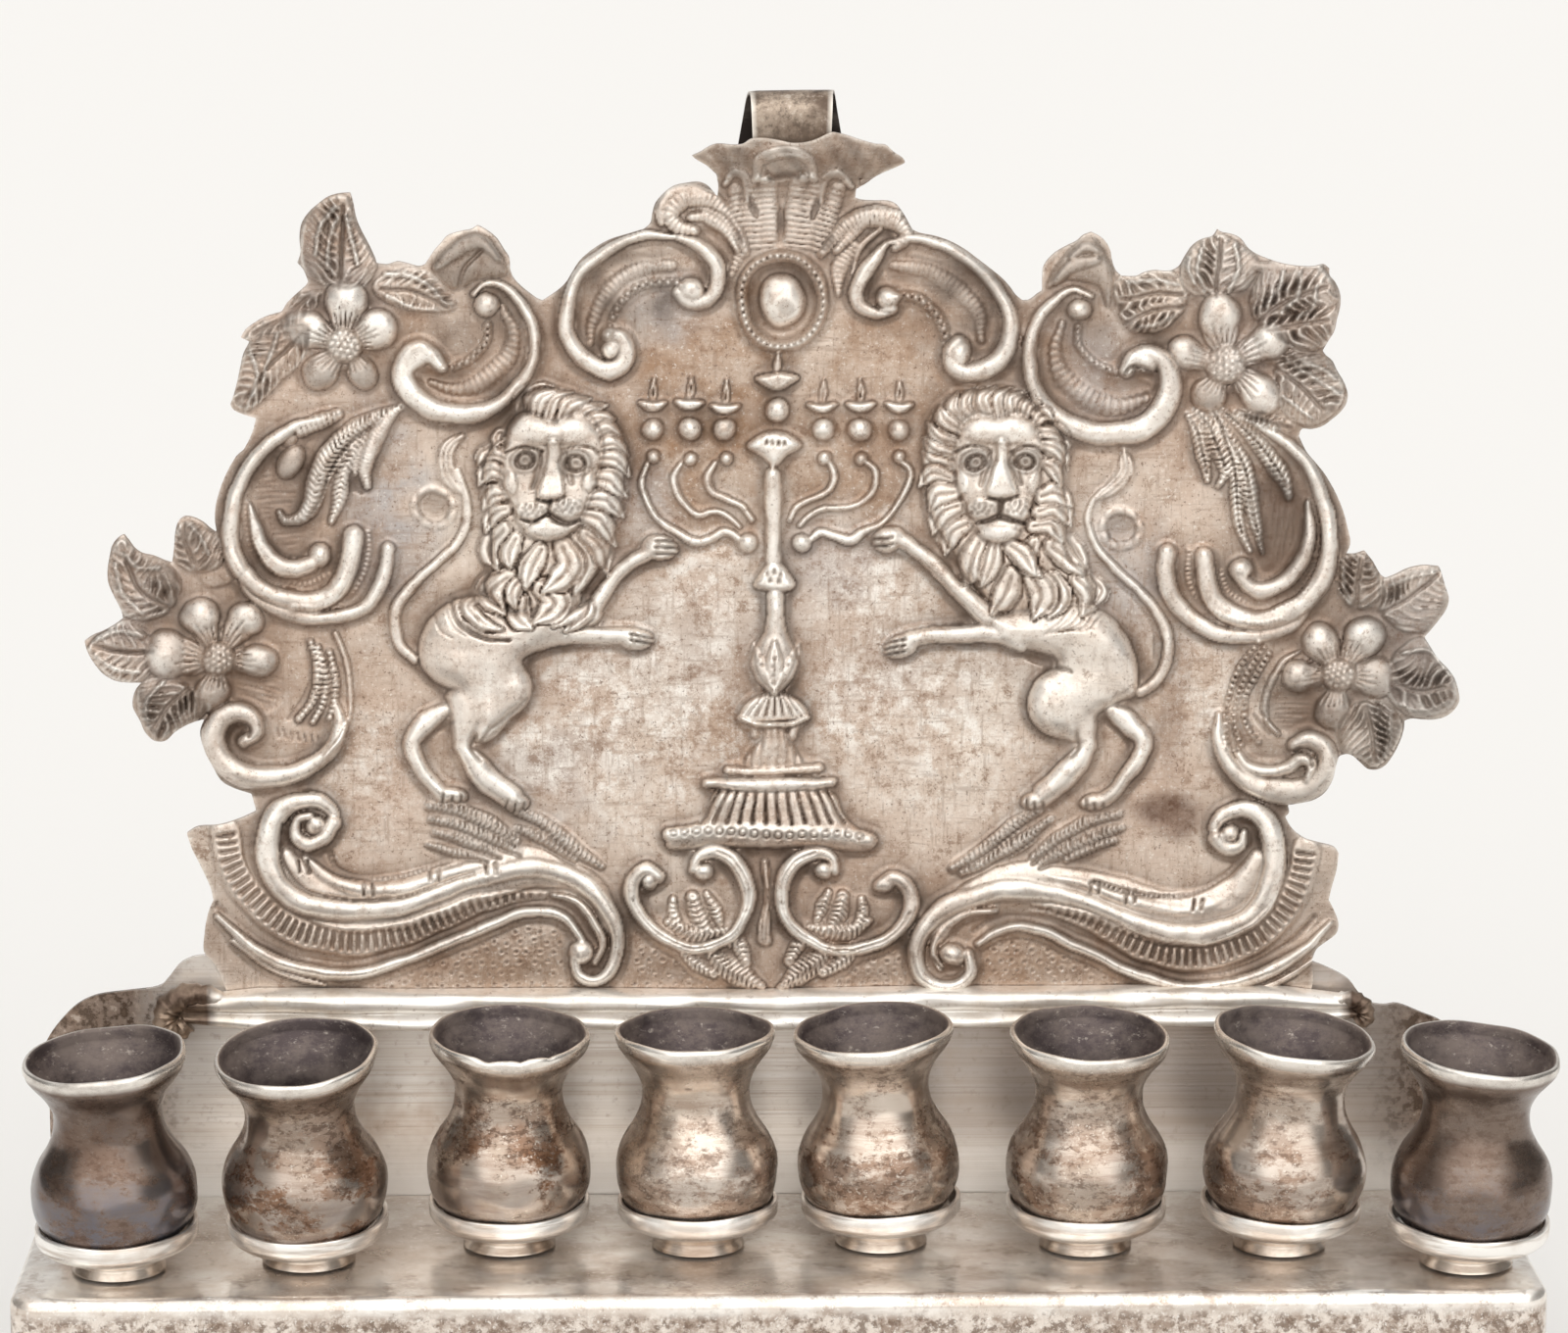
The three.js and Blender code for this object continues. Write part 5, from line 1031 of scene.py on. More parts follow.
def flower_upper_right():
    """The upper right flower and its leaves."""
    leaf([(410, 946), (425, 968), (449, 980), (475, 968), (492, 950), (480, 925), (440, 915), (412, 925)],
         [[(448, 915), (450, 945), (452, 975)]], dark=0.45, rise=1.5,
         veins=([(436, 920), (428, 945), (434, 968)], [(462, 920), (470, 945), (466, 970)],
                [(425, 930), (418, 945), (420, 955)]))
    leaf([(350, 938), (400, 942), (415, 925), (412, 900), (390, 880), (360, 880), (345, 900), (342, 925)],
         [[(412, 905), (380, 900), (352, 888)], [(412, 918), (380, 918), (350, 912)]], dark=0.5, rise=1.5,
         veins=([(408, 928), (380, 932), (356, 930)], [(405, 896), (385, 886), (368, 884)]))
    leaf([(500, 952), (555, 944), (570, 925), (572, 900), (562, 870), (545, 858), (515, 865), (490, 885),
          (482, 915)], [[(490, 890), (525, 912), (560, 925)], [(500, 880), (530, 885), (560, 890)]],
         spacing=8, dark=0.5, rise=1.8, veins=([(500, 905), (512, 925), (515, 940)],
                                               [(515, 898), (530, 915), (532, 938)],
                                               [(530, 892), (545, 905), (550, 925)]))
    roll([(485, 948), (515, 944), (552, 944)], [5, 8, 4], 1.4, shade=0.5)
    leaf([(515, 858), (555, 856), (572, 838), (580, 815), (570, 795), (540, 783), (515, 800), (505, 830)],
         [[(505, 845), (535, 825), (560, 800)]], dark=0.7, rise=1.5,
         veins=([(520, 852), (545, 835), (575, 815)], [(515, 815), (530, 805), (548, 792)],
                [(535, 850), (555, 842), (570, 830)]))
    leaf([(500, 800), (530, 785), (520, 775), (485, 782), (470, 800)], [[(480, 795), (525, 782)]],
         rise=1.0, dark=0.7)
    pillow([(275, 925), (290, 955), (320, 976), (336, 955), (345, 935), (335, 905), (325, 925),
            (300, 930)], 1.5, 16, dark=0.6)
    roll([(285, 930), (300, 945), (325, 952)], [4, 7, 5], 1.0, how="add")
    roll([(300, 955), (315, 965), (330, 960)], [3, 5, 3], 0.8, how="add")
    flower(457, 846, 20, [(450, 898, 20, 18), (503, 870, 17, 16), (493, 815, 20, 16), (440, 815, 17, 15),
                          (418, 858, 15, 18)], dim=(3,))


def flower_lower_left():
    """The lower left flower and its leaves."""
    leaf([(-580, 487), (-605, 474), (-628, 467), (-645, 495), (-645, 520), (-620, 535), (-590, 520),
          (-570, 500)], [[(-585, 525), (-610, 505), (-628, 480)]], rise=1.5,
         veins=([(-620, 525), (-636, 505), (-634, 480)],))
    leaf([(-642, 524), (-672, 528), (-696, 560), (-680, 574), (-660, 586), (-635, 575), (-625, 550)],
         [[(-630, 555), (-660, 556), (-690, 562)]], rise=1.5, veins=(
        [(-640, 570), (-665, 575), (-685, 568)], [(-645, 535), (-668, 538), (-688, 552)]))
    leaf([(-660, 590), (-674, 625), (-674, 652), (-662, 672), (-645, 655), (-615, 645), (-600, 620),
          (-615, 595), (-640, 585)], [[(-610, 600), (-645, 620), (-662, 665)]], rise=1.5,
         veins=([(-625, 640), (-645, 640), (-660, 655)], [(-640, 592), (-662, 615), (-668, 645)]))
    leaf([(-609, 648), (-607, 680), (-598, 690), (-575, 680), (-562, 668), (-560, 645), (-585, 635)],
         [[(-590, 645), (-598, 668), (-600, 688)]], rise=1.4,
         veins=([(-575, 655), (-582, 672), (-592, 685)],))
    dome(-560, 640, 26, 18, 0.8, turn=30, how="add")
    flower(-564, 548, 18, [(-582, 590, 16, 17), (-536, 588, 15, 15), (-523, 546, 17, 14), (-570, 513, 18, 15),
                           (-615, 552, 20, 21)], dim=(3,))


def flower_lower_right():
    """The lower right flower and its leaves."""
    leaf([(580, 652), (600, 652), (616, 630), (620, 608), (600, 595), (575, 610), (572, 635)],
         [[(592, 600), (594, 625), (598, 648)]], rise=1.4, spacing=5.5,
         veins=([(578, 640), (580, 620), (586, 602)],))
    leaf([(618, 628), (650, 636), (674, 638), (684, 606), (672, 582), (655, 570), (630, 575), (612, 595)],
         [[(615, 590), (645, 608), (672, 632)]], rise=1.6, veins=([(625, 620), (650, 630), (668, 634)],))
    leaf([(658, 568), (680, 545), (694, 515), (690, 495), (665, 486), (640, 488), (620, 505), (625, 540),
          (640, 560)], [[(625, 520), (655, 512), (680, 516)]], rise=1.6,
         veins=([(640, 550), (665, 552), (685, 530)], [(635, 497), (660, 492), (684, 500)]))
    leaf([(638, 480), (630, 450), (612, 434), (595, 443), (575, 450), (570, 480), (590, 500), (620, 500)],
         [[(600, 495), (608, 468), (612, 440)]], rise=1.5, spacing=5.5,
         veins=([(625, 485), (626, 462), (620, 445)],))
    flower(573, 528, 18, [(555, 562, 16, 18), (600, 567, 18, 17), (612, 525, 20, 18), (568, 492, 15, 17),
                          (532, 528, 14, 15)], dim=(3, 2))


def lamp_foot():
    """The fluted foot of the seven branched lamp."""
    pillow([(-112, 357), (-108, 374), (-72, 385), (-60, 414), (58, 412), (74, 384), (100, 362), (98, 352),
            (0, 354)], 2.6, 20)
    line = [(-108, 369), (-55, 372), (0, 372), (55, 368), (95, 362)]
    roll(line, [8, 9, 9, 9, 9], 3.0, light=0.85)
    for k in range(17):
        t = k / 16
        punched_ring(-104 + 190 * t, 371 - 6 * t * t + 1.2 * math.sin(9 * t), 3.6, 1.0, 0.6, (1.0, 1.1))
    for k in range(12):
        t = k / 11
        top, low = (-56 + 108 * t, 412), (-76 + 146 * t, 380)
        cut([top, low], [1.2, 2.5], 0.8, dark=0.9)
    roll([(-70, 420), (-40, 419), (0, 417), (40, 418), (58, 421)], [5, 8, 9, 8, 5], 3.2, light=0.98)
    roll([(-48, 434), (0, 431), (44, 434)], [5, 6, 5], 2.2, light=0.4)
    for k in range(11):
        punched_ring(-46 + 9 * k, 435, 2.6, 0.8, 0.25)
    roll([(-2, 432), (-2, 445), (-1, 460), (-1, 482)], [42, 28, 17, 13], [1.6, 1.9, 2.1], shape=0.7,
         lines=(9, 0.25), light=0.2)


def lamp_stem():
    """Its collar, bulb, stem and middle light."""
    pillow([(-37, 486), (-30, 502), (-12, 513), (10, 513), (28, 503), (35, 488), (0, 480)], 2.9, 10,
           light=0.6)
    for k in range(-3, 4):
        cut([(k * 4.5 - 1, 511), (k * 9.5 - 1, 489)], [1, 2], 0.55, dark=0.5)
    roll([(-35, 486), (-18, 481), (0, 480), (18, 481), (33, 487)], 3.5, 3.2, light=0.7)
    roll([(-20, 470), (-22, 478)], 5, 1.2)
    roll([(16, 468), (20, 478)], 6, 1.6, light=0.6)
    roll([(-1, 510), (-1, 525), (-1, 545), (-1, 562), (-1, 575)], [7, 20, 26, 22, 13],
         [2.4, 3.0, 3.2, 2.8, 2.4], light=0.5)
    for run, wide in (([(-1, 512), (-14, 525), (-22, 545), (-24, 562)], [3, 8, 8, 2]),
                      ([(-1, 512), (12, 525), (21, 545), (24, 562)], [3, 8, 8, 2]),
                      ([(-1, 512), (-1, 532), (-2, 552), (-2, 566)], [4, 10, 9, 2])):
        roll(run, wide, 0.7, how="add", light=0.4)
        line = curve(run)
        cut([tuple(p) for p in line[1::4]], 1.2, 0.35, dark=0.5)
    for u, v in ((-2, 528), (-3, 538), (-1, 547), (-15, 540), (14, 540), (-18, 550), (18, 550)):
        dot(u, v, 2.0, 0.4, 0.2)
    roll([(-1, 572), (-1, 590), (-1, 612)], [13, 10, 10], 2.5, shape=0.6, light=0.7)
    pillow([(-24, 620), (-18, 634), (-8, 645), (3, 645), (14, 634), (20, 620), (0, 613)], 2.9, 9, light=0.6)
    for u, v in ((-9, 632), (-2, 635), (5, 632), (-6, 626), (3, 626)):
        dome(u, v, 2, 4, 0.5, how="cut", dark=0.9)
    roll([(-3, 645), (-3, 665), (-3, 690), (-3, 715), (-3, 733)], [9, 8, 8, 11, 9], [2.4, 2.4, 2.8, 2.8],
         light=0.85)
    cut([(3, 655), (4, 690), (6, 720)], 1.2, 0.3, dark=0.4)
    roll([(-3, 733), (-3, 752)], [3, 4], 2.0, light=0.3)
    pillow([(-30, 763), (-14, 750), (-5, 742), (2, 742), (12, 752), (26, 764), (14, 776), (-1, 780),
            (-16, 776)], 2.8, 12, light=0.7)
    for u in (-10, -4, 3, 9):
        dome(u, 766, 1.8, 4.5, 0.6, how="cut", dark=0.95)
    dome(1, 800, 13, 13, 3.2, light=0.95)
    pillow([(-22, 832), (-12, 822), (1, 818), (14, 822), (24, 832), (2, 838)], 2.6, 7, light=0.9)
    roll([(1, 836), (2, 848), (3, 858)], [5, 4, 1.5], 1.2, light=0.3)


def lamp_branches():
    """Its six side lights, and the arms that carry them."""
    for u, top, low in ((-126, 806, 752), (-88, 806, 750), (-52, 803, 750), (47, 804, 751), (85, 804, 750),
                        (124, 805, 752)):
        dome(u, 780, 12, 12, 3.0, light=0.9 if -100 < u < 60 else 0.5)
        pillow([(u - 16, top + 2), (u - 8, top - 6), (u, top - 8), (u + 8, top - 6), (u + 16, top + 2),
                (u, top + 5)], 2.2, 5, light=0.7)
        dome(u, top + 4, 10, 3, 0.5, how="cut", dark=0.7)
        roll([(u, top + 4), (u + 1, top + 16), (u + 1, top + 27)], [4.5, 4, 1.5], 0.9)
        cut([(u, top + 8), (u + 1, top + 18)], 1.2, 0.5, dark=0.7)
        dome(u + 1, low, 7, 7, 2.0, light=0.5)
    arms = (([(-131, 745), (-137, 728), (-133, 708), (-122, 690), (-103, 677), (-85, 667), (-70, 668),
              (-50, 675), (-38, 669), (-31, 664)], [2.5, 3, 3.2, 3.5, 4.5, 5.5, 5, 5, 4]),
            ([(-97, 746), (-104, 731), (-100, 715), (-88, 700), (-78, 694), (-65, 697), (-50, 693),
              (-37, 682)], [2.5, 4, 4, 3.5, 4, 3.5, 3.5, 3]),
            ([(-62, 746), (-70, 731), (-65, 717), (-50, 710), (-35, 703), (-24, 689)],
             [2.5, 4, 4, 3.5, 3.5, 3]), ([(52, 748), (59, 735), (55, 720), (45, 712), (30, 706), (20, 700),
                                          (13, 689)], [2.5, 3.5, 3.5, 3, 3, 3]),
            ([(90, 748), (101, 736), (100, 722), (90, 710), (75, 700), (50, 699), (35, 693), (25, 684)],
             [2.5, 3.5, 3.5, 3, 3, 3, 3]), ([(127, 748), (138, 738), (135, 722), (125, 705), (105, 683),
                                             (90, 676), (75, 667), (60, 672), (45, 676), (34, 667)],
                                            [2.5, 3, 3, 3, 3.5, 5, 5.5, 5, 4]))
    for number, (run, wide) in enumerate(arms):
        outermost = number in (0, len(arms) - 1)
        roll(run, wide, 1.5 if outermost else 1.3, light=0.7, soft=0.15)
    dome(-29, 665, 10.5, 10.5, 2.8, light=0.9)
    dome(27, 665, 10.5, 10.5, 2.8, light=0.9)


def left_lion_body():
    """The left lion's body, legs and tail, and the ring behind it."""
    pillow([(-270, 600), (-300, 612), (-335, 603), (-358, 578), (-362, 545), (-348, 525), (-325, 508),
            (-312, 485), (-305, 462), (-292, 462), (-268, 485), (-252, 500), (-246, 522), (-256, 543),
            (-235, 556), (-200, 566), (-205, 600)], 4.2, 34, light=0.55, soft=0.6)
    roll([(-330, 612), (-322, 585), (-300, 570), (-270, 566)], [2, 3, 3, 2], 0.6, how="cut")
    for k in range(4):
        cut([(-346 + 13 * k, 592 + 4 * k), (-338 + 13 * k, 576 + 2 * k), (-326 + 13 * k, 568 + 2 * k)],
            [1.2, 2.2, 1.0], 0.3, dark=0.45)
    # Hind legs
    roll([(-336, 494), (-354, 484), (-368, 463), (-361, 441), (-349, 423), (-336, 409)],
         [9, 13, 11, 9, 9, 10], [1.6, 2.3, 2.4, 2.2], light=0.75, shape=0.6)
    cut([(-326, 482), (-345, 474), (-358, 460)], [2, 3, 2], 0.8, dark=0.7)
    roll([(-308, 500), (-314, 478), (-317, 458)], [30, 17, 10], [3.4, 3.0, 2.6], light=0.6, soft=0.6,
         shape=0.6)
    roll([(-316, 456), (-302, 438), (-286, 420), (-268, 406)], [9, 13, 15, 14], [2.6, 2.8, 2.6], light=0.8,
         soft=0.3, shape=0.6)
    cut([(-252, 508), (-270, 490), (-292, 474), (-304, 456)], [1.5, 2.5, 2], 0.4, dark=0.4)
    cut([(-304, 470), (-308, 456), (-298, 444)], [1.5, 2.5, 1.5], 0.6, dark=0.6)
    dome(-326, 409, 15, 9, 2.2, turn=-10, light=0.6)
    dome(-264, 402, 16, 10, 2.3, turn=-12, light=0.6)
    claws(((-336, 405), (-327, 402), (-318, 403), (-272, 398), (-263, 395), (-254, 396)), -2)
    # Tail
    roll([(-366, 548), (-380, 560), (-385, 582), (-382, 603), (-366, 624), (-342, 646), (-322, 668),
          (-314, 690), (-315, 715), (-324, 738)], [6, 6, 6, 6, 5, 5, 5, 4, 4], [1.5, 1.5, 1.2, 0.8, 0.7],
         light=0.45)
    roll([(-320, 718), (-334, 740), (-334, 758), (-318, 774)], [4, 9, 9, 3], 0.8, lines=(5, 0.35), light=0.2)
    # Ring
    ring(-346, 702, 22, 16.5, 0.5)
    # Fore legs
    roll([(-205, 585), (-190, 592), (-176, 612), (-160, 634), (-144, 648), (-130, 656)], [14, 11, 9, 8, 8, 9],
         [3.0, 2.6, 2.2, 2.4], light=0.5)
    dome(-119, 661, 19, 14, 2.9, turn=-8, light=0.8)
    for v in (655, 662, 668):
        cut([(-122, v), (-101, v - 2)], 1.9, 0.9, dark=0.95)
    roll([(-262, 566), (-235, 570), (-200, 572), (-170, 570), (-148, 570)], [8, 11, 11, 9, 9],
         [2.4, 2.8, 2.8, 2.6], light=0.85)
    dome(-142, 567, 19, 12, 2.8, light=0.85)
    for v in (562, 568):
        cut([(-146, v + 4), (-124, v)], 1.9, 0.9, dark=0.95)
    dome(-188, 588, 16, 9, 2.8, turn=30, light=0.3)


def left_lion_head():
    """The left lion's mane and face."""
    tufts = [([(-262, 790), (-256, 812), (-240, 824), (-226, 824)], 8),
             ([(-246, 793), (-240, 812), (-222, 820)], 8), ([(-233, 793), (-226, 810), (-206, 818)], 8),
             ([(-218, 792), (-208, 806), (-190, 811)], 8), ([(-206, 790), (-192, 800), (-174, 803)], 8),
             ([(-194, 788), (-180, 792), (-163, 790)], 7), ([(-184, 776), (-170, 780), (-156, 770)], 8),
             ([(-182, 762), (-164, 765), (-152, 750)], 9), ([(-180, 750), (-164, 748), (-150, 732)], 9),
             ([(-184, 730), (-168, 728), (-152, 712)], 10), ([(-192, 708), (-172, 708), (-156, 690)], 11),
             ([(-198, 692), (-180, 686), (-164, 662)], 11), ([(-192, 672), (-178, 660), (-172, 632)], 11),
             ([(-202, 664), (-190, 645), (-204, 614)], 12), ([(-216, 660), (-210, 640), (-236, 616)], 13),
             ([(-240, 658), (-250, 640), (-253, 618)], 10), ([(-276, 678), (-289, 662), (-282, 640)], 11),
             ([(-264, 670), (-270, 655), (-268, 640)], 9), ([(-274, 700), (-288, 694), (-294, 676)], 9),
             ([(-276, 716), (-290, 714), (-297, 700)], 9), ([(-277, 734), (-291, 738), (-301, 724)], 9),
             ([(-275, 752), (-292, 756), (-300, 740)], 9), ([(-272, 770), (-282, 776), (-286, 762)], 6),
             ([(-272, 630), (-290, 616), (-276, 594)], 14), ([(-256, 628), (-266, 612), (-262, 598)], 8),
             ([(-258, 606), (-260, 592), (-248, 578)], 12), ([(-236, 620), (-222, 604), (-244, 584)], 13),
             ([(-214, 622), (-204, 604), (-226, 580)], 12), ([(-200, 612), (-192, 596), (-214, 574)], 8),
             ([(-300, 612), (-312, 600), (-298, 584), (-276, 578)], 7)]
    mane([(-262, 796), (-262, 815), (-240, 828), (-215, 826), (-190, 815), (-162, 798), (-148, 765),
          (-148, 735), (-152, 700), (-160, 665), (-172, 635), (-190, 612), (-196, 590), (-215, 574),
          (-245, 580), (-276, 588), (-294, 600), (-300, 622), (-292, 650), (-296, 690), (-302, 725),
          (-300, 752), (-285, 775)], tufts, (-229, 722))
    face([(-275, 765), (-268, 784), (-250, 796), (-226, 788), (-202, 797), (-184, 783), (-178, 765),
          (-181, 742), (-188, 716), (-195, 696), (-203, 679), (-217, 669), (-232, 666), (-248, 672),
          (-261, 687), (-268, 705), (-276, 725), (-278, 745)],
         [(-231, 770), (-223, 770), (-219, 748), (-214, 724), (-213, 713), (-222, 709), (-232, 709),
          (-242, 711), (-243, 718), (-236, 735), (-232, 752)])
    dome(-229, 779, 44, 15, 0.9, shape=0.8, how="add", light=0.95)
    eye(-254, 749, 15, 12, 0.8)
    eye(-205, 745, 15, 13, 0.5)
    cut([(-238, 758), (-241, 740), (-247, 722)], [2, 4, 3], 0.6, dark=0.5)
    cut([(-216, 756), (-212, 740), (-207, 724)], [2, 4, 3], 0.6, dark=0.45)
    cut([(-276, 757), (-264, 762), (-250, 762), (-237, 758)], [1.6, 2.4, 1.6], 0.7, dark=0.85)
    cut([(-219, 758), (-206, 763), (-190, 762), (-181, 756)], [1.6, 2.2, 1.6], 0.6, dark=0.7)
    dome(-268, 727, 7, 13, 0.7, how="add", light=0.95)
    dome(-190, 726, 8, 10, 0.9, how="add", light=0.9)
    cut([(-198, 733), (-195, 740), (-186, 739)], 1.8, 0.5, dark=0.7)
    dome(-247, 699, 19, 10, 0.9, how="add", turn=6, light=0.55)
    dome(-212, 701, 17, 11, 0.9, how="add", turn=-8, light=0.55)
    cut([(-228, 708), (-230, 699), (-229, 692)], 1.8, 0.8, dark=0.9)
    cut([(-259, 691), (-246, 687), (-235, 692), (-229, 694), (-221, 688), (-210, 684), (-199, 688)],
        [1.6, 2.0, 1.8, 3.0, 4.0, 3.2, 1.6], 1.1, dark=0.95)
    cut([(-213, 711), (-222, 708), (-232, 707), (-243, 710)], 1.8, 0.8, dark=0.85)
    dome(-232, 676, 24, 10, 0.7, how="add", light=0.8)
    whiskers(((-247, 699), (-212, 701)), 14, 8)


def left_lion_leaves():
    """The leaves under the left lion's feet."""
    for run, wide in (([(-352, 398), (-322, 392), (-288, 378), (-262, 362)], [4, 9, 10, 5]),
                      ([(-350, 386), (-318, 376), (-282, 362), (-258, 352)], [4, 8, 9, 5]),
                      ([(-345, 372), (-312, 360), (-278, 350)], [4, 8, 5]),
                      ([(-268, 395), (-240, 382), (-208, 358), (-178, 336)], [4, 8, 9, 4]),
                      ([(-262, 375), (-232, 362), (-202, 345)], [4, 9, 4]),
                      ([(-352, 360), (-325, 350), (-290, 345)], [3, 6, 4])):
        ground_leaf(run, wide)


def right_lion_body():
    """The right lion's body, legs and tail, and the ring behind it."""
    pillow([(262, 600), (300, 606), (338, 592), (360, 566), (370, 535), (368, 508), (345, 498), (325, 485),
            (310, 462), (292, 462), (268, 474), (255, 495), (262, 522), (284, 540), (262, 552), (225, 562),
            (215, 590)], 4.2, 34, light=0.45, soft=0.6)
    cut([(240, 556), (262, 545), (284, 536), (300, 532)], [2, 4, 2], 0.6, dark=0.7)
    for k in range(6):
        cut([(330 - 7 * k, 592 + k), (318 - 6 * k, 578 + k), (292 - 4 * k, 574 - k)], 1.2, 0.3, dark=0.35)
    roll([(340, 494), (358, 482), (373, 463), (368, 442), (356, 424), (343, 409), (332, 402)],
         [9, 13, 11, 9, 9, 9, 9], [1.6, 2.3, 2.4, 2.2], light=0.75, shape=0.6)
    cut([(330, 484), (348, 474), (358, 460)], [2, 3, 2], 0.8, dark=0.7)
    roll([(304, 500), (312, 478), (318, 460)], [28, 17, 11], [3.4, 3.0, 2.6], light=0.5, soft=0.6, shape=0.6)
    roll([(318, 458), (306, 440), (290, 422), (272, 408)], [10, 13, 15, 14], [2.6, 2.8, 2.6], light=0.75,
         shape=0.6)
    cut([(306, 472), (308, 456), (300, 446)], [1.5, 2.5, 1.5], 0.6, dark=0.6)
    dome(264, 402, 16, 10, 2.4, turn=12, light=0.6)
    dome(325, 400, 15, 9, 2.2, turn=8, light=0.5)
    claws(((254, 398), (262, 395), (271, 396), (316, 398), (325, 394), (334, 395)), 2)
    roll([(372, 512), (388, 525), (398, 545), (398, 568), (388, 594), (368, 617), (345, 638), (326, 660),
          (317, 685), (321, 705), (332, 718)], [6, 6, 6, 6, 5, 5, 4, 4, 3], [1.5, 1.4, 1.2, 0.8, 0.7],
         light=0.35)
    cut([(385, 545), (384, 575), (368, 602), (345, 625)], 1.4, 0.4, dark=0.4)
    roll([(325, 708), (343, 720), (357, 738), (354, 760)], [3, 9, 9, 3], 0.8, lines=(5, 0.35), light=0.2)
    ring(350, 678, 22, 15, 0.6)
    roll([(215, 590), (198, 604), (178, 624), (158, 644), (138, 660), (124, 668)], [13, 11, 9, 9, 8, 9],
         [3.0, 2.6, 2.2, 2.4], light=0.5)
    dome(115, 668, 19, 14, 2.9, turn=8, light=0.7)
    for v in (662, 669):
        cut([(118, v), (97, v - 1)], 1.9, 0.9, dark=0.95)
    roll([(250, 560), (225, 572), (190, 573), (160, 570), (135, 565)], [8, 11, 10, 9, 9],
         [2.4, 2.8, 2.8, 2.6], light=0.7)
    dome(127, 559, 19, 12, 2.7, turn=15, light=0.6)
    for v in (552, 558, 564):
        cut([(130, v + 2), (110, v - 2)], 1.9, 0.9, dark=0.95)


def right_lion_head():
    """The right lion's mane and face."""
    tufts = [([(186, 778), (172, 790), (166, 804)], 8), ([(192, 788), (180, 802), (184, 817)], 8),
             ([(203, 792), (194, 808), (204, 822)], 8), ([(214, 793), (208, 812), (222, 823)], 8),
             ([(227, 792), (226, 812), (240, 822)], 8), ([(239, 794), (240, 812), (254, 817)], 8),
             ([(250, 794), (256, 806), (268, 807)], 8), ([(262, 786), (270, 796), (281, 790)], 8),
             ([(182, 766), (166, 772), (156, 788)], 8), ([(180, 754), (162, 758), (151, 772)], 8),
             ([(178, 742), (160, 744), (149, 756)], 8), ([(176, 730), (158, 733), (147, 722)], 9),
             ([(180, 717), (162, 713), (156, 698)], 10), ([(184, 702), (168, 694), (160, 674)], 11),
             ([(192, 684), (176, 676), (170, 652)], 11), ([(268, 776), (286, 774), (295, 754)], 9),
             ([(272, 762), (286, 757), (294, 738)], 8), ([(274, 744), (284, 738), (290, 724)], 8),
             ([(270, 712), (286, 715), (299, 702)], 10), ([(268, 697), (284, 701), (299, 682)], 11),
             ([(262, 682), (280, 684), (292, 666)], 10), ([(206, 664), (198, 645), (194, 622)], 13),
             ([(222, 662), (218, 645), (206, 622)], 9), ([(238, 660), (252, 648), (262, 632)], 11),
             ([(262, 664), (254, 645), (268, 630)], 10), ([(282, 660), (298, 648), (312, 632)], 12),
             ([(300, 668), (310, 652), (316, 638)], 8), ([(238, 630), (232, 612), (220, 594)], 13),
             ([(262, 628), (272, 610), (262, 588)], 14), ([(282, 628), (290, 610), (278, 588)], 10),
             ([(306, 626), (318, 610), (310, 590)], 11), ([(322, 628), (331, 614), (323, 600)], 7)]
    mane([(160, 806), (178, 820), (205, 826), (235, 826), (262, 814), (284, 796), (298, 765), (296, 730),
          (300, 700), (302, 672), (318, 645), (330, 618), (322, 595), (290, 582), (255, 580), (225, 588),
          (200, 610), (180, 640), (162, 670), (150, 700), (145, 730), (146, 762), (152, 790)], tufts,
         (225, 722))
    face([(184, 765), (188, 784), (204, 796), (224, 790), (244, 797), (262, 784), (270, 765), (268, 740),
          (264, 718), (257, 698), (250, 680), (240, 669), (226, 664), (211, 669), (201, 682), (194, 700),
          (185, 722), (181, 745)], [(224, 770), (232, 770), (236, 748), (243, 724), (245, 713), (237, 709),
                                    (229, 708), (218, 711), (214, 717), (220, 735), (224, 752)], 0.4)
    dome(226, 779, 42, 15, 0.9, shape=0.8, how="add", light=0.95)
    eye(203, 746, 15, 12, 0.8)
    eye(252, 747, 14, 12, 0.7)
    cut([(218, 757), (214, 740), (208, 724)], [2, 4, 3], 0.6, dark=0.5)
    cut([(239, 757), (243, 740), (249, 724)], [2, 4, 3], 0.6, dark=0.5)
    cut([(182, 756), (193, 763), (206, 763), (218, 757)], [1.6, 2.4, 1.6], 0.7, dark=0.8)
    cut([(238, 757), (250, 763), (262, 762), (270, 755)], [1.6, 2.4, 1.6], 0.7, dark=0.8)
    dome(189, 727, 7, 13, 0.7, how="add", light=0.8)
    dome(262, 725, 7, 12, 0.7, how="add", light=0.5)
    dome(209, 699, 18, 11, 0.9, how="add", turn=6, light=0.55)
    dome(245, 700, 16, 11, 0.9, how="add", turn=-8, light=0.5)
    cut([(228, 707), (227, 700), (226, 693)], [3, 4, 3], 1.0, dark=0.95)
    cut([(203, 684), (214, 687), (226, 691), (240, 688), (252, 685)], [2, 3.2, 3.6, 3.2, 2], 1.2, dark=0.95)
    cut([(245, 711), (230, 707), (216, 711)], 1.8, 0.8, dark=0.85)
    dome(226, 674, 23, 9, 0.8, how="add", light=0.8)
    whiskers(((209, 699), (245, 700)), 14, 8)


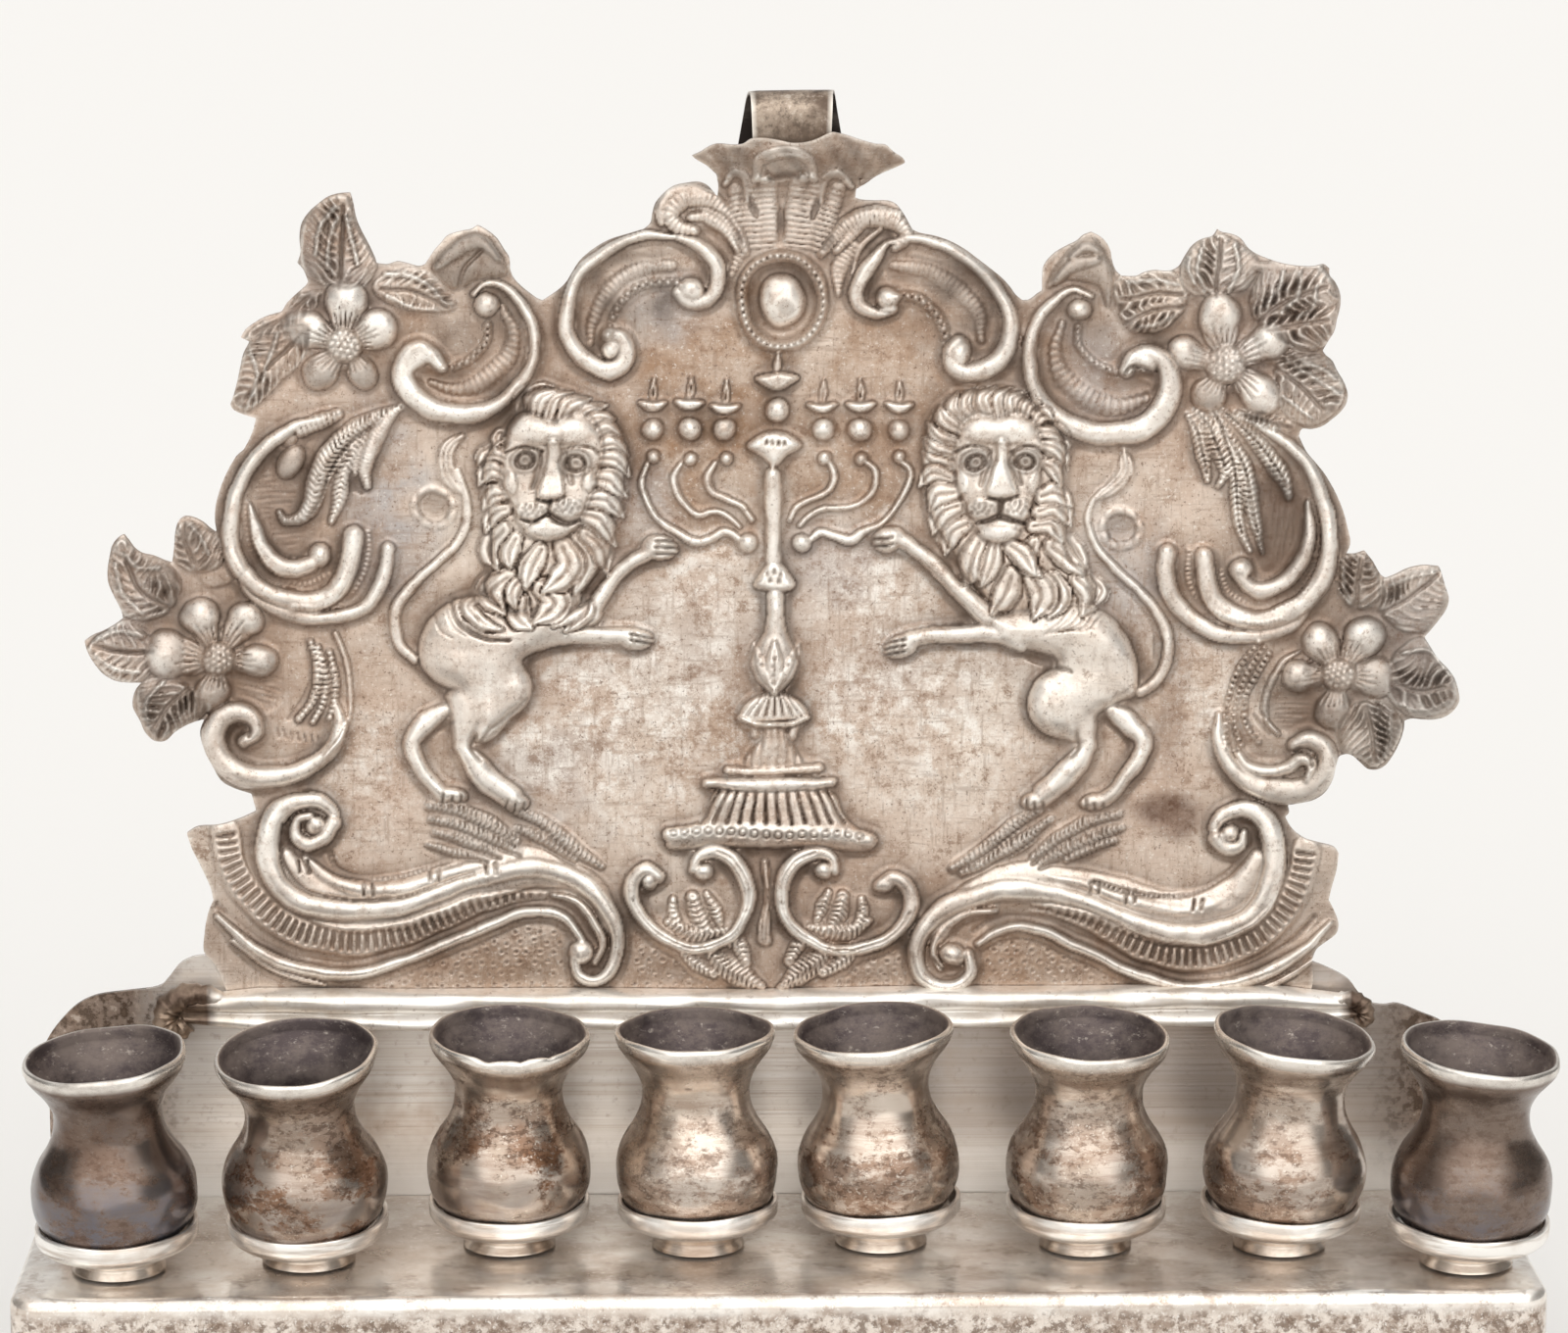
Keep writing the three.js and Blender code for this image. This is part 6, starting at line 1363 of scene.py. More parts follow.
def right_lion_leaves():
    """The leaves under the right lion's feet."""
    for run, wide in (([(268, 392), (245, 378), (215, 355), (180, 334)], [5, 9, 8, 4]),
                      ([(280, 382), (255, 362), (225, 345), (190, 330)], [5, 9, 8, 4]),
                      ([(350, 388), (322, 380), (292, 362), (262, 342)], [4, 9, 9, 5]),
                      ([(352, 374), (325, 364), (295, 350), (270, 338)], [4, 9, 8, 5]),
                      ([(345, 360), (320, 352), (298, 342)], [4, 6, 4])):
        ground_leaf(run, wide)


# Building pieces
def mesh_object(name, verts, quads, tris, material, nodes, body="lamp", sharp=42.0, more=()):
    """A mesh from arrays in millimetres, riding on a body in place of CAD nodes."""
    verts = np.clip(np.asarray(verts, float) * MM, CAD_BOX[0], CAD_BOX[1])
    quads = np.asarray(quads, int).reshape(-1, 4)
    tris = np.asarray(tris, int).reshape(-1, 3)
    sizes = np.concatenate([np.full(len(quads), 4), np.full(len(tris), 3), [len(face) for face in more]])
    corners = np.concatenate([quads.ravel(), tris.ravel(), *more]).astype(int)
    mesh = bpy.data.meshes.new(name)
    mesh.vertices.add(len(verts))
    mesh.vertices.foreach_set("co", verts.ravel())
    mesh.loops.add(len(corners))
    mesh.loops.foreach_set("vertex_index", corners)
    mesh.polygons.add(len(sizes))
    mesh.polygons.foreach_set("loop_start", np.concatenate([[0], np.cumsum(sizes)[:-1]]).astype(int))
    mesh.update(calc_edges=True)
    mesh.validate()
    mesh.shade_smooth()
    mesh.set_sharp_from_angle(angle=math.radians(sharp))
    mesh.materials.append(material)
    thing = bpy.data.objects.new(name, mesh)
    bpy.context.scene.collection.objects.link(thing)
    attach(thing, body)
    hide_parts(*nodes)
    return thing


def attribute(thing, name, values):
    """A colour attribute on the points, from rows of up to four numbers."""
    data = thing.data.attributes.new(name, "FLOAT_COLOR", "POINT")
    rows = np.zeros((len(thing.data.vertices), 4), np.float32)
    rows[:, 3] = 1.0
    rows[:, :values.shape[1]] = values
    data.data.foreach_set("color", rows.ravel())


def turned(profile, count):
    """A closed lathe profile of (radius, height), turned; a point on the axis becomes one vertex."""
    angles = np.linspace(0, 2 * math.pi, count, endpoint=False)
    verts, rings = [], []
    for r, z in profile:
        if r < ON_AXIS:
            rings.append([len(verts)])
            verts.append((0.0, 0.0, z))
        else:
            rings.append(list(range(len(verts), len(verts) + count)))
            verts.extend((r * math.cos(a), r * math.sin(a), z) for a in angles)
    quads, tris = [], []
    pairs = list(zip(rings[:-1], rings[1:]))
    if len(rings[0]) > 1 and len(rings[-1]) > 1:
        pairs.append((rings[-1], rings[0]))
    for low, high in pairs:
        for k in range(count):
            n = (k + 1) % count
            if len(low) == 1 and len(high) > 1:
                tris.append((low[0], high[n], high[k]))
            elif len(high) == 1 and len(low) > 1:
                tris.append((low[k], low[n], high[0]))
            elif len(low) > 1:
                quads.append((low[k], low[n], high[n], high[k]))
    return np.array(verts), quads, tris


def smooth_run(points, count):
    """More points on a profile, along a smooth curve."""
    p = np.array(points, float)
    out = []
    q = np.vstack([2 * p[0] - p[1], p, 2 * p[-1] - p[-2]])
    for a, b, c, d in zip(q[:-3], q[1:-2], q[2:-1], q[3:]):
        for t in np.linspace(0, 1, count, endpoint=False):
            out.append(0.5 * (2 * b + (c - a) * t + (2 * a - 5 * b + 4 * c - d) * t**2
                              + (3 * b - a - 3 * c + d) * t**3))
    out.append(p[-1])
    return np.array(out)


def numbered(rings):
    """Rings of points as one list of points, and their numbers ring by ring."""
    verts, numbers = [], []
    for ring in rings:
        numbers.append(list(range(len(verts), len(verts) + len(ring))))
        verts.extend(ring)
    return verts, numbers


def skinned(rings):
    """Quads between closed rings of points, ring by ring."""
    quads = []
    for low, high in zip(rings[:-1], rings[1:]):
        n = len(low)
        quads += [(low[k], high[k], high[(k + 1) % n], low[(k + 1) % n]) for k in range(n)]
    return quads


def flipped(quads):
    """Quads that face the other way."""
    return [(a, d, c, b) for a, b, c, d in quads]


# Plaque
# Stains on the plaque: place, half width, half height and strength
BROWN = [(-75, 775, 95, 90, 0.8), (-40, 860, 70, 50, 0.7), (80, 770, 95, 80, 0.6), (110, 850, 70, 60, 0.6),
         (-190, 640, 40, 50, 0.4), (-30, 480, 60, 70, 0.35), (120, 560, 70, 40, 0.3),
         (-350, 860, 60, 40, 0.3), (-420, 650, 50, 120, 0.25), (395, 600, 50, 100, 0.3),
         (-560, 520, 40, 60, 0.3), (-240, 240, 200, 30, 0.5), (230, 235, 200, 30, 0.5),
         (-520, 560, 60, 50, 0.4), (310, 850, 60, 60, 0.5), (-480, 980, 50, 40, 0.4)]
BLUE = [(-150, 700, 50, 40, 0.4), (-395, 700, 40, 90, 0.6), (-120, 905, 40, 30, 0.5), (360, 640, 40, 70, 0.5),
        (-640, 600, 60, 80, 0.4), (640, 540, 70, 90, 0.4), (330, 830, 70, 50, 0.4), (-230, 420, 60, 50, 0.3),
        (60, 640, 60, 50, 0.35), (-470, 930, 60, 60, 0.35), (520, 900, 80, 80, 0.35), (0, 560, 260, 60, 0.2)]
PALE = [(-150, 500, 110, 100, 0.9), (150, 500, 120, 90, 0.8), (-70, 620, 60, 50, 0.8),
        (110, 620, 60, 50, 0.8), (440, 520, 50, 70, 0.6), (-430, 430, 70, 50, 0.5),
        (-30, 410, 200, 40, 0.3), (190, 780, 50, 50, 0.3), (-215, 810, 60, 30, 0.3), (0, 1050, 60, 20, 0.3)]
GREY = [(-155, 925, 60, 45, 0.8), (190, 905, 60, 60, 0.8), (-300, 870, 40, 60, 0.7),
        (300, 850, 50, 60, 0.7), (-500, 720, 50, 80, 0.35), (520, 700, 50, 90, 0.6),
        (-560, 620, 60, 60, 0.3), (560, 470, 70, 60, 0.5), (-430, 950, 60, 60, 0.4),
        (480, 900, 110, 80, 0.3), (-620, 540, 110, 110, 0.45), (620, 560, 110, 110, 0.7),
        (0, 1010, 130, 60, 0.3), (560, 300, 40, 60, 0.4), (-560, 290, 40, 60, 0.3), (540, 395, 40, 30, 0.6)]
RED = [(405, 388, 32, 17, 0.9), (520, 690, 28, 50, 0.8), (405, 505, 12, 70, 0.3), (-500, 700, 24, 40, 0.4),
       (-555, 515, 30, 26, 0.4), (545, 492, 30, 22, 0.6)]
# The lip of the crest leans forward, further with height
LIP_V = 1036
LIP_REACH = 8.2
LIP_PLACES = [1016, 1027, 1038, 1048, 1056, 1065, 1073, 1083]
LIP_SHARES = [0, 0.12, 0.34, 0.56, 0.74, 0.88, 0.96, 1.0]
# How far the front may sink behind the sheet's own face, and how thin the sheet may get
DEEPEST = 0.58
THINNEST = 0.4


def tint(places):
    """Soft stains with a ragged edge."""
    out = np.zeros_like(U)
    ragged = swell(1, 1.6)
    for u, v, ru, rv, strength in places:
        here = window((u - 2.2 * ru, v - 2.2 * rv), (u + 2.2 * ru, v + 2.2 * rv))
        r = np.hypot((U[here] - u) / ru, (V[here] - v) / rv)
        raised(out, here, strength * clamped(1.5 - r + 0.22 * ragged[here]))
    return out


def moved(values, du, dv):
    """The field read beside its own place, so that lines waver as if cut by hand."""
    step = GRID_STEP / UNIT
    rows, columns = U.shape
    j = np.clip(np.arange(columns)[None, :] + du / step, 0, columns - 1.001)
    i = np.clip(np.arange(rows)[:, None] + dv / step, 0, rows - 1.001)
    i0, j0 = i.astype(int), j.astype(int)
    a, b = i - i0, j - j0
    top = values[i0, j0] * (1 - b) + values[i0, j0 + 1] * b
    low = values[i0 + 1, j0] * (1 - b) + values[i0 + 1, j0 + 1] * b
    return top * (1 - a) + low * a


def roughened():
    """Makes the finished relief uneven as hand work is, and sinks the ground at its feet less sharply."""
    du, dv = (swell(0.8, 2.0) + swell(0.2, 0.6) for _ in range(2))
    for values in (H, DARK, BRIGHT):
        values[:] = moved(values, du, dv)
    H[:] = H * (1 + np.clip(swell(0.09, 2.5), -0.25, 0.1)) + clamped(H) * swell(0.03, 0.7)
    foot = 0.9 * blurred(H, 0.8) - H - 0.12
    H[:] += np.clip(foot, 0, None) * clamped(1.2 - H / 0.6)


def front_field():
    """Height of the front face: the relief with dents and fine grain, and sharper at its foot."""
    sunk = 0.3 * np.clip(blurred(H, 1.2) - H, 0, None)
    dents = 1.4 * blurred(RNG.normal(0, 1, U.shape), 2.2)
    return H - sunk + dents + 0.036 * blurred(RNG.normal(0, 1, U.shape), 0.5)


def colour_fields(depth):
    """What the silver's colour depends on, from the relief and the distance to the sheet's edge."""
    wide, mid, fine = blurred(H, 3.5), blurred(H, 1.2), blurred(H, 0.33)
    # Patina in the hollows and chased lines, deepened as painted shade
    cavity = clamped(mid - H - 0.08 + 0.7 * (fine - H) / 0.12) * np.clip(0.8 + swell(0.3, 3.0), 0.25, 1.1)
    # High places, for rubbed light and painted highlight
    high = clamped((H - mid) / 0.9) * 0.7 + clamped((H - fine) / 0.1) * 0.3
    # Painted shade on the ground close round the raised forms
    close = clamped((wide - H - 0.1) / 1.3)
    brown, blue, pale, red = (tint(places) for places in (BROWN, BLUE, PALE, RED))
    bare = bell(depth, 2.4) * np.where(V > LIP_V, 1.0, 0.6)
    lipped = clamped((V - 1026) / 14) * (0.5 + 0.16 * np.sin(U / 9) + 0.16 * np.sin(U / 3.7 + V / 5))
    grime = tint(GREY) * clamped(1.3 - H / 2.8) * np.clip(1 + swell(0.3, 1.5), 0.3, 1.4)
    dusk = np.maximum(np.maximum(DARK, lipped), 0.9 * grime) * (1 - bare)
    return {"Relief": (cavity, high, dusk), "WearShadeStain": (np.maximum(BRIGHT, bare), close, brown),
            "Stain": (blue, pale, red)}


def trimmed(signed):
    """The grid cut where the signed distance to the edge is naught.

    Gives quads, triangles, pairs of points along the rim, and for each new point the two points of the
    grid that it lies between, with its share of the way.
    """
    count = U.size
    index = np.arange(count).reshape(U.shape)
    corners = index[:-1, :-1], index[:-1, 1:], index[1:, 1:], index[1:, :-1]
    flat = signed.ravel()
    inside = [flat[corner] > 0 for corner in corners]
    whole = np.all(inside, axis=0)
    some = np.any(inside, axis=0) & ~whole
    quads = np.stack([corner[whole] for corner in corners], 1)
    made, between, tris, rim = {}, [], [], []

    def crossing(p, q):
        """The number of the new point between two points of the grid."""
        low, high = min(p, q), max(p, q)
        if (low, high) not in made:
            made[low, high] = count + len(between)
            between.append((low, high, flat[low] / (flat[low] - flat[high])))
        return made[low, high]

    for p, q, r, s in zip(*(corner[some] for corner in corners)):
        for tri in ((p, q, r), (p, r, s)):
            signs = [flat[k] > 0 for k in tri]
            if all(signs):
                tris.append(tri)
            if all(signs) or not any(signs):
                continue
            out = []
            for k in range(3):
                after = (k + 1) % 3
                if signs[k]:
                    out.append(tri[k])
                if signs[k] != signs[after]:
                    out.append(crossing(tri[k], tri[after]))
            tris.append(tuple(out[:3]))
            if len(out) == 4:
                tris.append((out[0], out[2], out[3]))
            first, second = (k for k in out if k >= count)
            follows = out[(out.index(first) + 1) % len(out)] == second
            rim.append((first, second) if follows else (second, first))
    return quads, np.array(tris), np.array(rim), np.array(between)


def placed(u, v, height):
    """Places in millimetres of the relief, raised towards the eye."""
    plane_y = PANEL_Y + SHIFT_Y
    place = np.stack([across_at(u, v) + SHIFT_X, np.full(len(u), plane_y), height_at(v)], 1)
    return place + (EYE - place) * (height / (plane_y - EYE[1]))[:, None]


def plaque():
    """The embossed sheet: its front, its hollow back and the rim between them."""
    build_relief()
    roughened()
    lip = LIP_REACH * np.interp(V, LIP_PLACES, LIP_SHARES)
    lip = lip * (np.abs(U) < 150) * ((np.abs(U - 10) < 73) | (V > LIP_V))
    face_height = front_field()
    edge = edge_line()
    here, edge_distance, *_ = near(np.vstack([edge, edge[:1]]), 8)
    depth = np.full(U.shape, 1e6)
    depth[here] = edge_distance
    fields = colour_fields(depth)
    quads, tris, rim, between = trimmed(np.maximum(depth, 0.12) * np.where(inside_of(edge, U, V), 1, -1))
    low, high = between[:, :2].astype(int).T
    share = between[:, 2]
    used = np.zeros(U.size + len(between), bool)
    used[quads.ravel()] = True
    used[tris.ravel()] = True
    number = np.cumsum(used) - 1
    quads, tris, rim = number[quads], number[tris], number[rim]

    def spread(values):
        """The field at the points of the trimmed grid."""
        flat = values.ravel()
        return np.concatenate([flat, flat[low] * (1 - share) + flat[high] * share])[used]

    u, v = spread(U), spread(V)
    front = placed(u, v, spread(np.maximum(face_height, -DEEPEST) + lip))
    rear = placed(u, v, spread(np.clip(blurred(H, 0.9), 0, None) * 0.9 + lip))
    rear[:, 1] = np.maximum(rear[:, 1] + SHEET, front[:, 1] + THINNEST)
    rear[:, 1] = np.minimum(rear[:, 1], PANEL_Y + SHEET + SHIFT_Y)
    verts = np.vstack([front, rear])
    n = len(u)
    rim_quads = np.stack([rim[:, 1], rim[:, 0], rim[:, 0] + n, rim[:, 1] + n], 1)
    thing = mesh_object("plaque", verts, np.vstack([quads, quads[:, ::-1] + n, rim_quads]),
                        np.vstack([tris, tris[:, ::-1] + n]), silver_plaque(), ["backplate"],
                        sharp=80)
    corners = np.zeros(len(thing.data.loops), int)
    thing.data.loops.foreach_get("vertex_index", corners)
    # The front lies in the lower half of the map, the back in the upper half
    flat = np.stack([verts[:, 0] / 250 + 0.5, verts[:, 2] / 500 + np.repeat([0.0, 0.5], n)], 1)
    thing.data.uv_layers.new(name="OFBake").data.foreach_set("uv", flat[corners].ravel())
    for name, values in fields.items():
        behind = np.full(n, 0.3 if name == "Relief" else 0.0)
        attribute(thing, name, np.stack([np.concatenate([spread(value), behind]) for value in values], 1))


# Back wall with its ears
LEFT_EAR = [(-555, 245), (-575, 245), (-590, 243), (-603, 236), (-614, 222), (-625, 213), (-655, 209),
            (-685, 205), (-705, 196), (-720, 182), (-733, 165), (-741, 148), (-744, 130)]
RIGHT_EAR = [(545, 235), (565, 227), (585, 216), (596, 202), (606, 192), (622, 189), (637, 190),
             (660, 181), (683, 171), (705, 152), (722, 135), (729, 120)]
EAR_HALF = 118.9


def back_wall():
    """The sheet that rises behind the shelf."""
    left, right = (smooth_run([(across_at(u, v), height_at(v)) for u, v in ear], 4)
                   for ear in (LEFT_EAR, RIGHT_EAR))
    line = [(-BASE_HALF, FOOT_Z), (-BASE_HALF, SHELF_Z), (-EAR_HALF, SHELF_Z), (-EAR_HALF, left[-1][1] - 0.4),
            *left[::-1], *right, (EAR_HALF, right[-1][1] - 0.4), (EAR_HALF, SHELF_Z), (BASE_HALF, SHELF_Z),
            (BASE_HALF, FOOT_Z)]
    n = len(line)
    verts = [(x + SHIFT_X, y + SHIFT_Y, z) for y in (WALL_Y, WALL_Y + SHEET) for x, z in line[::-1]]
    sides = [(k, (k + 1) % n, (k + 1) % n + n, k + n) for k in range(n)]
    mesh_object("wall", verts, sides, (), silver_wall(), ["back_wall"], sharp=30,
                more=[range(n)[::-1], range(n, 2 * n)])


# Shelf
CORNER_RADIUS = 5.0
FOLD_RADIUS = 2
# Angles over a quarter circle
QUARTER = [k / 8 * math.pi / 2 for k in range(9)]


def shelf_plan(inset):
    """The shelf seen from above, from its back left corner round the front to its back right corner."""
    half, near_y, corner = BASE_HALF - inset, FRONT_Y + inset, max(CORNER_RADIUS - inset, 0.6)
    out = [(-half, WALL_Y - GAP)]
    for side, start in ((-1, math.pi), (1, 1.5 * math.pi)):
        for turn in QUARTER:
            a = start + turn
            out.append((side * (half - corner) + corner * math.cos(a),
                        near_y + corner + corner * math.sin(a)))
    out.append((half, WALL_Y - GAP))
    return out


def shelf():
    """One sheet folded down at the front and the ends."""
    outer, inner = ([(FOLD_RADIUS - r * math.cos(a), SHELF_Z - FOLD_RADIUS + r * math.sin(a))
                     for a in QUARTER] for r in (FOLD_RADIUS, FOLD_RADIUS - SHEET))
    hem = [(0.0, FOOT_Z + 0.3), (0.15, FOOT_Z), (0.85, FOOT_Z), (1.0, FOOT_Z + 0.3)]
    verts, rings = numbered([[(x + SHIFT_X, y + SHIFT_Y, z) for x, y in shelf_plan(inset)]
                             for inset, z in outer[::-1] + hem + inner])
    quads = [(high[k], high[k + 1], low[k + 1], low[k]) for low, high in zip(rings[:-1], rings[1:])
             for k in range(len(low) - 1)]
    quads.append((rings[0][0], rings[-1][0], rings[-1][-1], rings[0][-1]))
    ends = [[ring[0] for ring in rings], [ring[-1] for ring in rings][::-1]]
    mesh_object("tray", verts, quads, (), silver_shelf(), ["shelf"], sharp=35,
                more=[rings[0], rings[-1][::-1], *ends])


# Lights
PITCH = 30.6
ROW_MIDDLE = 2.5
# How far to the side a dish or bowl may reach
ROW_REACH = 120.9
COLLAR_HEIGHT = 3.3
RIVET_HOLE = 1.3
DISH_FLOOR = 1.1
BOWL_SHEET = 0.8
# Radius of the foot's edge, on which a leaning bowl stands
STAND_RADIUS = 5.98
BOWL_FACETS = 112
# Each light's shift along the row as a share of the pitch, setback as a share of the shelf's depth, and
# leans in degrees: forward, aside, and of the bowl beyond those
SHIFTS = [0.014, -0.019, 0.013, -0.002, -0.043, 0.024, 0.04, -0.026]
SETBACKS = [0.708, 0.631, 0.495, 0.512, 0.485, 0.529, 0.544, 0.72]
LEANS = [(2.5, -2, 2.5, 0), (5, -1.5, 5, -0.5), (2.5, 0, 2.5, 0.5), (0, -0.5, 0.4, -0.5), (1, -1, 1.5, -2),
         (2.5, 0, 2.5, 0), (2.5, 1, 2, 1.5), (2.5, 1.5, 2, 0)]
# Slope of each mouth to the side, and how far it is pinched
MOUTHS = [(-2.8, 0.0), (-2.6, 0.0), (0, 0.3), (0.3, 0.0), (-1.6, 0.0), (2.4, 0.2), (4.6, 0.0), (3.2, 0.2)]
# Share of dark, of rust and of blue on each bowl
TARNISH = [(1.0, 0.2, 0.95), (0.62, 0.6, 0.3), (0.3, 0.7, 0.3), (0.15, 0.35, 0.3), (0.25, 0.5, 0.2),
           (0.3, 0.45, 0.25), (0.4, 0.4, 0.2), (1.0, 0.1, 0.6)]
WIDE_COLLARS = (2, 3, 4, 7)
# Outlines of radius and height: a bowl's outside, and the dish
OUTSIDE = [(6.0, 0.0), (8.0, 0.25), (9.6, 0.9), (11.4, 2.6), (12.6, 5.2), (12.95, 8.2), (12.7, 10.6),
           (11.7, 13.2), (10.1, 15.7), (8.9, 18.3), (8.55, 20.8), (8.8, 22.8), (9.9, 25.2), (11.3, 27.1),
           (12.2, 28.4), (12.5, 29.2)]
# Lip, of which the first points count as outside
BRIM_OUTSIDE = 5
BRIM = [(12.66, 29.5), (12.75, 30.0), (12.7, 30.5), (12.5, 30.85), (12.2, 30.95), (11.9, 30.8), (11.7, 30.4)]
INSIDE_LOW, INSIDE_HIGH = 1.6, 28.9
BOWL_FLOOR = [(9.0, 2.6), (6.5, 2.15), (3.5, 2.0), (0, 1.95)]
KICK = [(0, 1.15), (3.0, 1.1), (4.6, 0.8), (5.6, 0.2)]
DISH = [(RIVET_HOLE, GAP), (9.9, GAP), (10.7, 0.45), (11.7, 1.0), (12.45, 1.7), (12.75, 2.3), (12.8, 3.0),
        (12.8, 4.2), (12.65, 4.45), (12.35, 4.5), (12.05, 4.4), (11.98, 4.1), (11.98, 2.9), (11.7, 2.1),
        (11.0, 1.5), (10.0, 1.15), (RIVET_HOLE, DISH_FLOOR)]


def held(verts, middle):
    """The piece, made narrower where it would reach past the base."""
    reach = np.abs(verts[:, 0] - middle).max()
    room = ROW_REACH - abs(middle)
    if reach > room:
        verts[:, 0] = middle + (verts[:, 0] - middle) * room / reach
    return verts


def tilt(forward, aside):
    """A turn about the two level axes, in degrees."""
    return np.array(Euler((math.radians(forward), math.radians(aside), 0)).to_matrix())


def lights():
    """Eight sets of collar, dish, rivet and bowl, each a little off its place and off the upright."""
    for k in range(8):
        forward, aside, *_ = LEANS[k]
        x = ROW_MIDDLE + (k - 3.5 + SHIFTS[k]) * PITCH + SHIFT_X
        y = WALL_Y - SETBACKS[k] * SHELF_DEPTH + SHIFT_Y
        pivot = np.array([x, y, SHELF_Z + GAP + COLLAR_HEIGHT])
        turn = tilt(forward, aside)
        collar(k, x, y, turn)
        dish(k, pivot, turn)
        rivet(k, x, y)
        bowl(k, pivot, turn)


def collar(k, x, y, turn):
    """A short waisted ring, level below and tilted with the dish above."""
    flare = 1.1 if k in WIDE_COLLARS else 0.35
    profile = [(RIVET_HOLE, 0.0), (6.8, 0.0), (7.4, 0.12), (7.4 - 0.1 * flare, 0.5),
               (6.9 - 0.2 * flare, 1.3), (6.8 - 0.2 * flare, 2.0), (7.0, 2.8), (7.3, 3.2),
               (7.2, COLLAR_HEIGHT), (RIVET_HOLE, COLLAR_HEIGHT)]
    verts, quads, tris = turned(profile, 72)
    share = clamped(verts[:, 2:] / COLLAR_HEIGHT)
    top = (verts - [0, 0, COLLAR_HEIGHT]) @ turn.T + [0, 0, COLLAR_HEIGHT]
    verts = verts * (1 - share) + top * share + [x, y, SHELF_Z + GAP]
    mesh_object(f"collar_{k + 1}", verts, quads, tris, silver_collar(), [f"cup_foot_{k + 1}"])


def dish(k, pivot, turn):
    """A shallow dish with a thick rim that isn't quite level."""
    verts, quads, tris = turned(DISH, 96)
    angle = np.arctan2(verts[:, 1], verts[:, 0])
    rim = clamped((verts[:, 2] - 1.2) / 3)
    verts[:, 2] += rim * (0.10 * np.sin(2 * angle + k) + 0.07 * np.sin(5 * angle + 2 * k))
    verts = held(verts @ turn.T + pivot, pivot[0])
    mesh_object(f"dish_{k + 1}", verts, quads, tris, silver_bright(), [f"drip_dish_{k + 1}"])


def rivet(k, x, y):
    """A rivet through dish, collar and shelf, with a head at each end."""
    head = GAP + COLLAR_HEIGHT + DISH_FLOOR + GAP
    profile = [(0, -2.0), (1.6, -1.95), (2.2, -1.7), (2.4, -1.35), (2.35, -1.3), (1.0, -1.3), (1.0, head),
               (2.35, head), (2.4, head + 0.1), (2.0, head + 0.5), (1.2, head + 0.7), (0, head + 0.75)]
    verts, quads, tris = turned(profile, 32)
    mesh_object(f"rivet_{k + 1}", verts + [x, y, SHELF_Z], quads, tris, silver_plain(),
                [f"cup_rivet_{k + 1}"])


def around(angle, degrees, wide):
    """A bell round one side of a bowl."""
    return bell(angle - math.radians(degrees), wide)


def bowl(k, pivot, turn):
    """A bowl beaten from thin sheet, with a pinched and sloping mouth; three have a dent or tears."""
    outside = smooth_run(OUTSIDE, 4)
    inside = [(r - BOWL_SHEET, z + BOWL_SHEET * 0.4) for r, z in outside[::-1]
              if INSIDE_LOW < z < INSIDE_HIGH]
    profile = [*KICK, *outside, *BRIM, *inside, *BOWL_FLOOR]
    verts, quads, tris = turned(profile, BOWL_FACETS)
    angle = np.arctan2(verts[:, 1], verts[:, 0])
    z = verts[:, 2].copy()
    rise = clamped((z - 18) / 13)
    slope, pinch = MOUTHS[k]
    wobble = 1 + 0.006 * np.sin(2 * angle + 1.3 * k) * (z / 30) + 0.005 * np.sin(3 * angle + k + z / 6)
    bump = 0.10 * np.sin(4 * angle + z / 3 + k) * np.sin(z / 4.3 + 2 * k)
    bump += 0.06 * np.sin(9 * angle + z / 1.9 + 3 * k)
    scale = wobble + bump / 13 - 0.02 * pinch * np.cos(2 * angle) * rise
    if k == 6:
        scale = scale + 0.035 * around(angle, -165, 0.5) * bell(z - 14, 3.0)
    if k == 7:
        scale = scale - 0.03 * around(angle, -100, 0.4) * bell(z - 9, 4)
    verts[:, 0] *= scale
    verts[:, 1] *= scale
    sheer = -math.tan(math.radians(slope))
    waves = 0.10 * np.sin(3 * angle + k) + 0.07 * np.sin(7 * angle + 2 * k)
    verts[:, 2] += rise ** 2 * (sheer * verts[:, 0] * 0.9 + waves)
    if k == 2:
        torn = around(angle, -105, 0.10) + 0.8 * around(angle, -80, 0.06) + 0.6 * around(angle, -58, 0.05)
        verts[:, 2] -= clamped((z - 29.4) / 1.5) * 0.5 * torn
    # A bowl that leans further than its dish stands on the edge of its foot
    forward, aside, further, beyond = LEANS[k]
    drop = math.sin(math.radians(math.hypot(further, beyond))) * STAND_RADIUS
    seat = pivot + turn @ np.array([0, 0, DISH_FLOOR + GAP + drop])
    verts = held(verts @ tilt(forward + further, aside + beyond).T + seat, pivot[0])
    thing = mesh_object(f"bowl_{k + 1}", verts, quads, tris, silver_bowl(), [f"oil_cup_{k + 1}"],
                        body=f"cup_{k + 1}", sharp=60)
    ring_sizes = [1 if r < ON_AXIS else BOWL_FACETS for r, _ in profile]
    order = np.repeat(np.arange(len(profile)), ring_sizes)
    inner = (order >= len(KICK) + len(outside) + BRIM_OUTSIDE).astype(float)
    brim = clamped((z - 28.6) / 1.0) * (1 - inner)
    attribute(thing, "Relief", np.stack([inner, clamped(z / 31), brim], 1))
    attribute(thing, "Stain", np.tile(TARNISH[k], (len(z), 1)))


# Moulding below the plaque
MOULDING_DEPTH = 4.4
MOULDING_STEPS = 160
BAND_LEFT, BAND_RIGHT = -612, 598
BAND_LOW, BAND_HIGH = 174, 213
MOULDING = [(0, 0), (0.5, 0.0), (0.78, 0.08), (0.86, 0.22), (0.66, 0.38), (0.60, 0.46), (0.86, 0.56),
            (1.0, 0.72), (0.9, 0.9), (0.6, 0.99), (0, 1)]
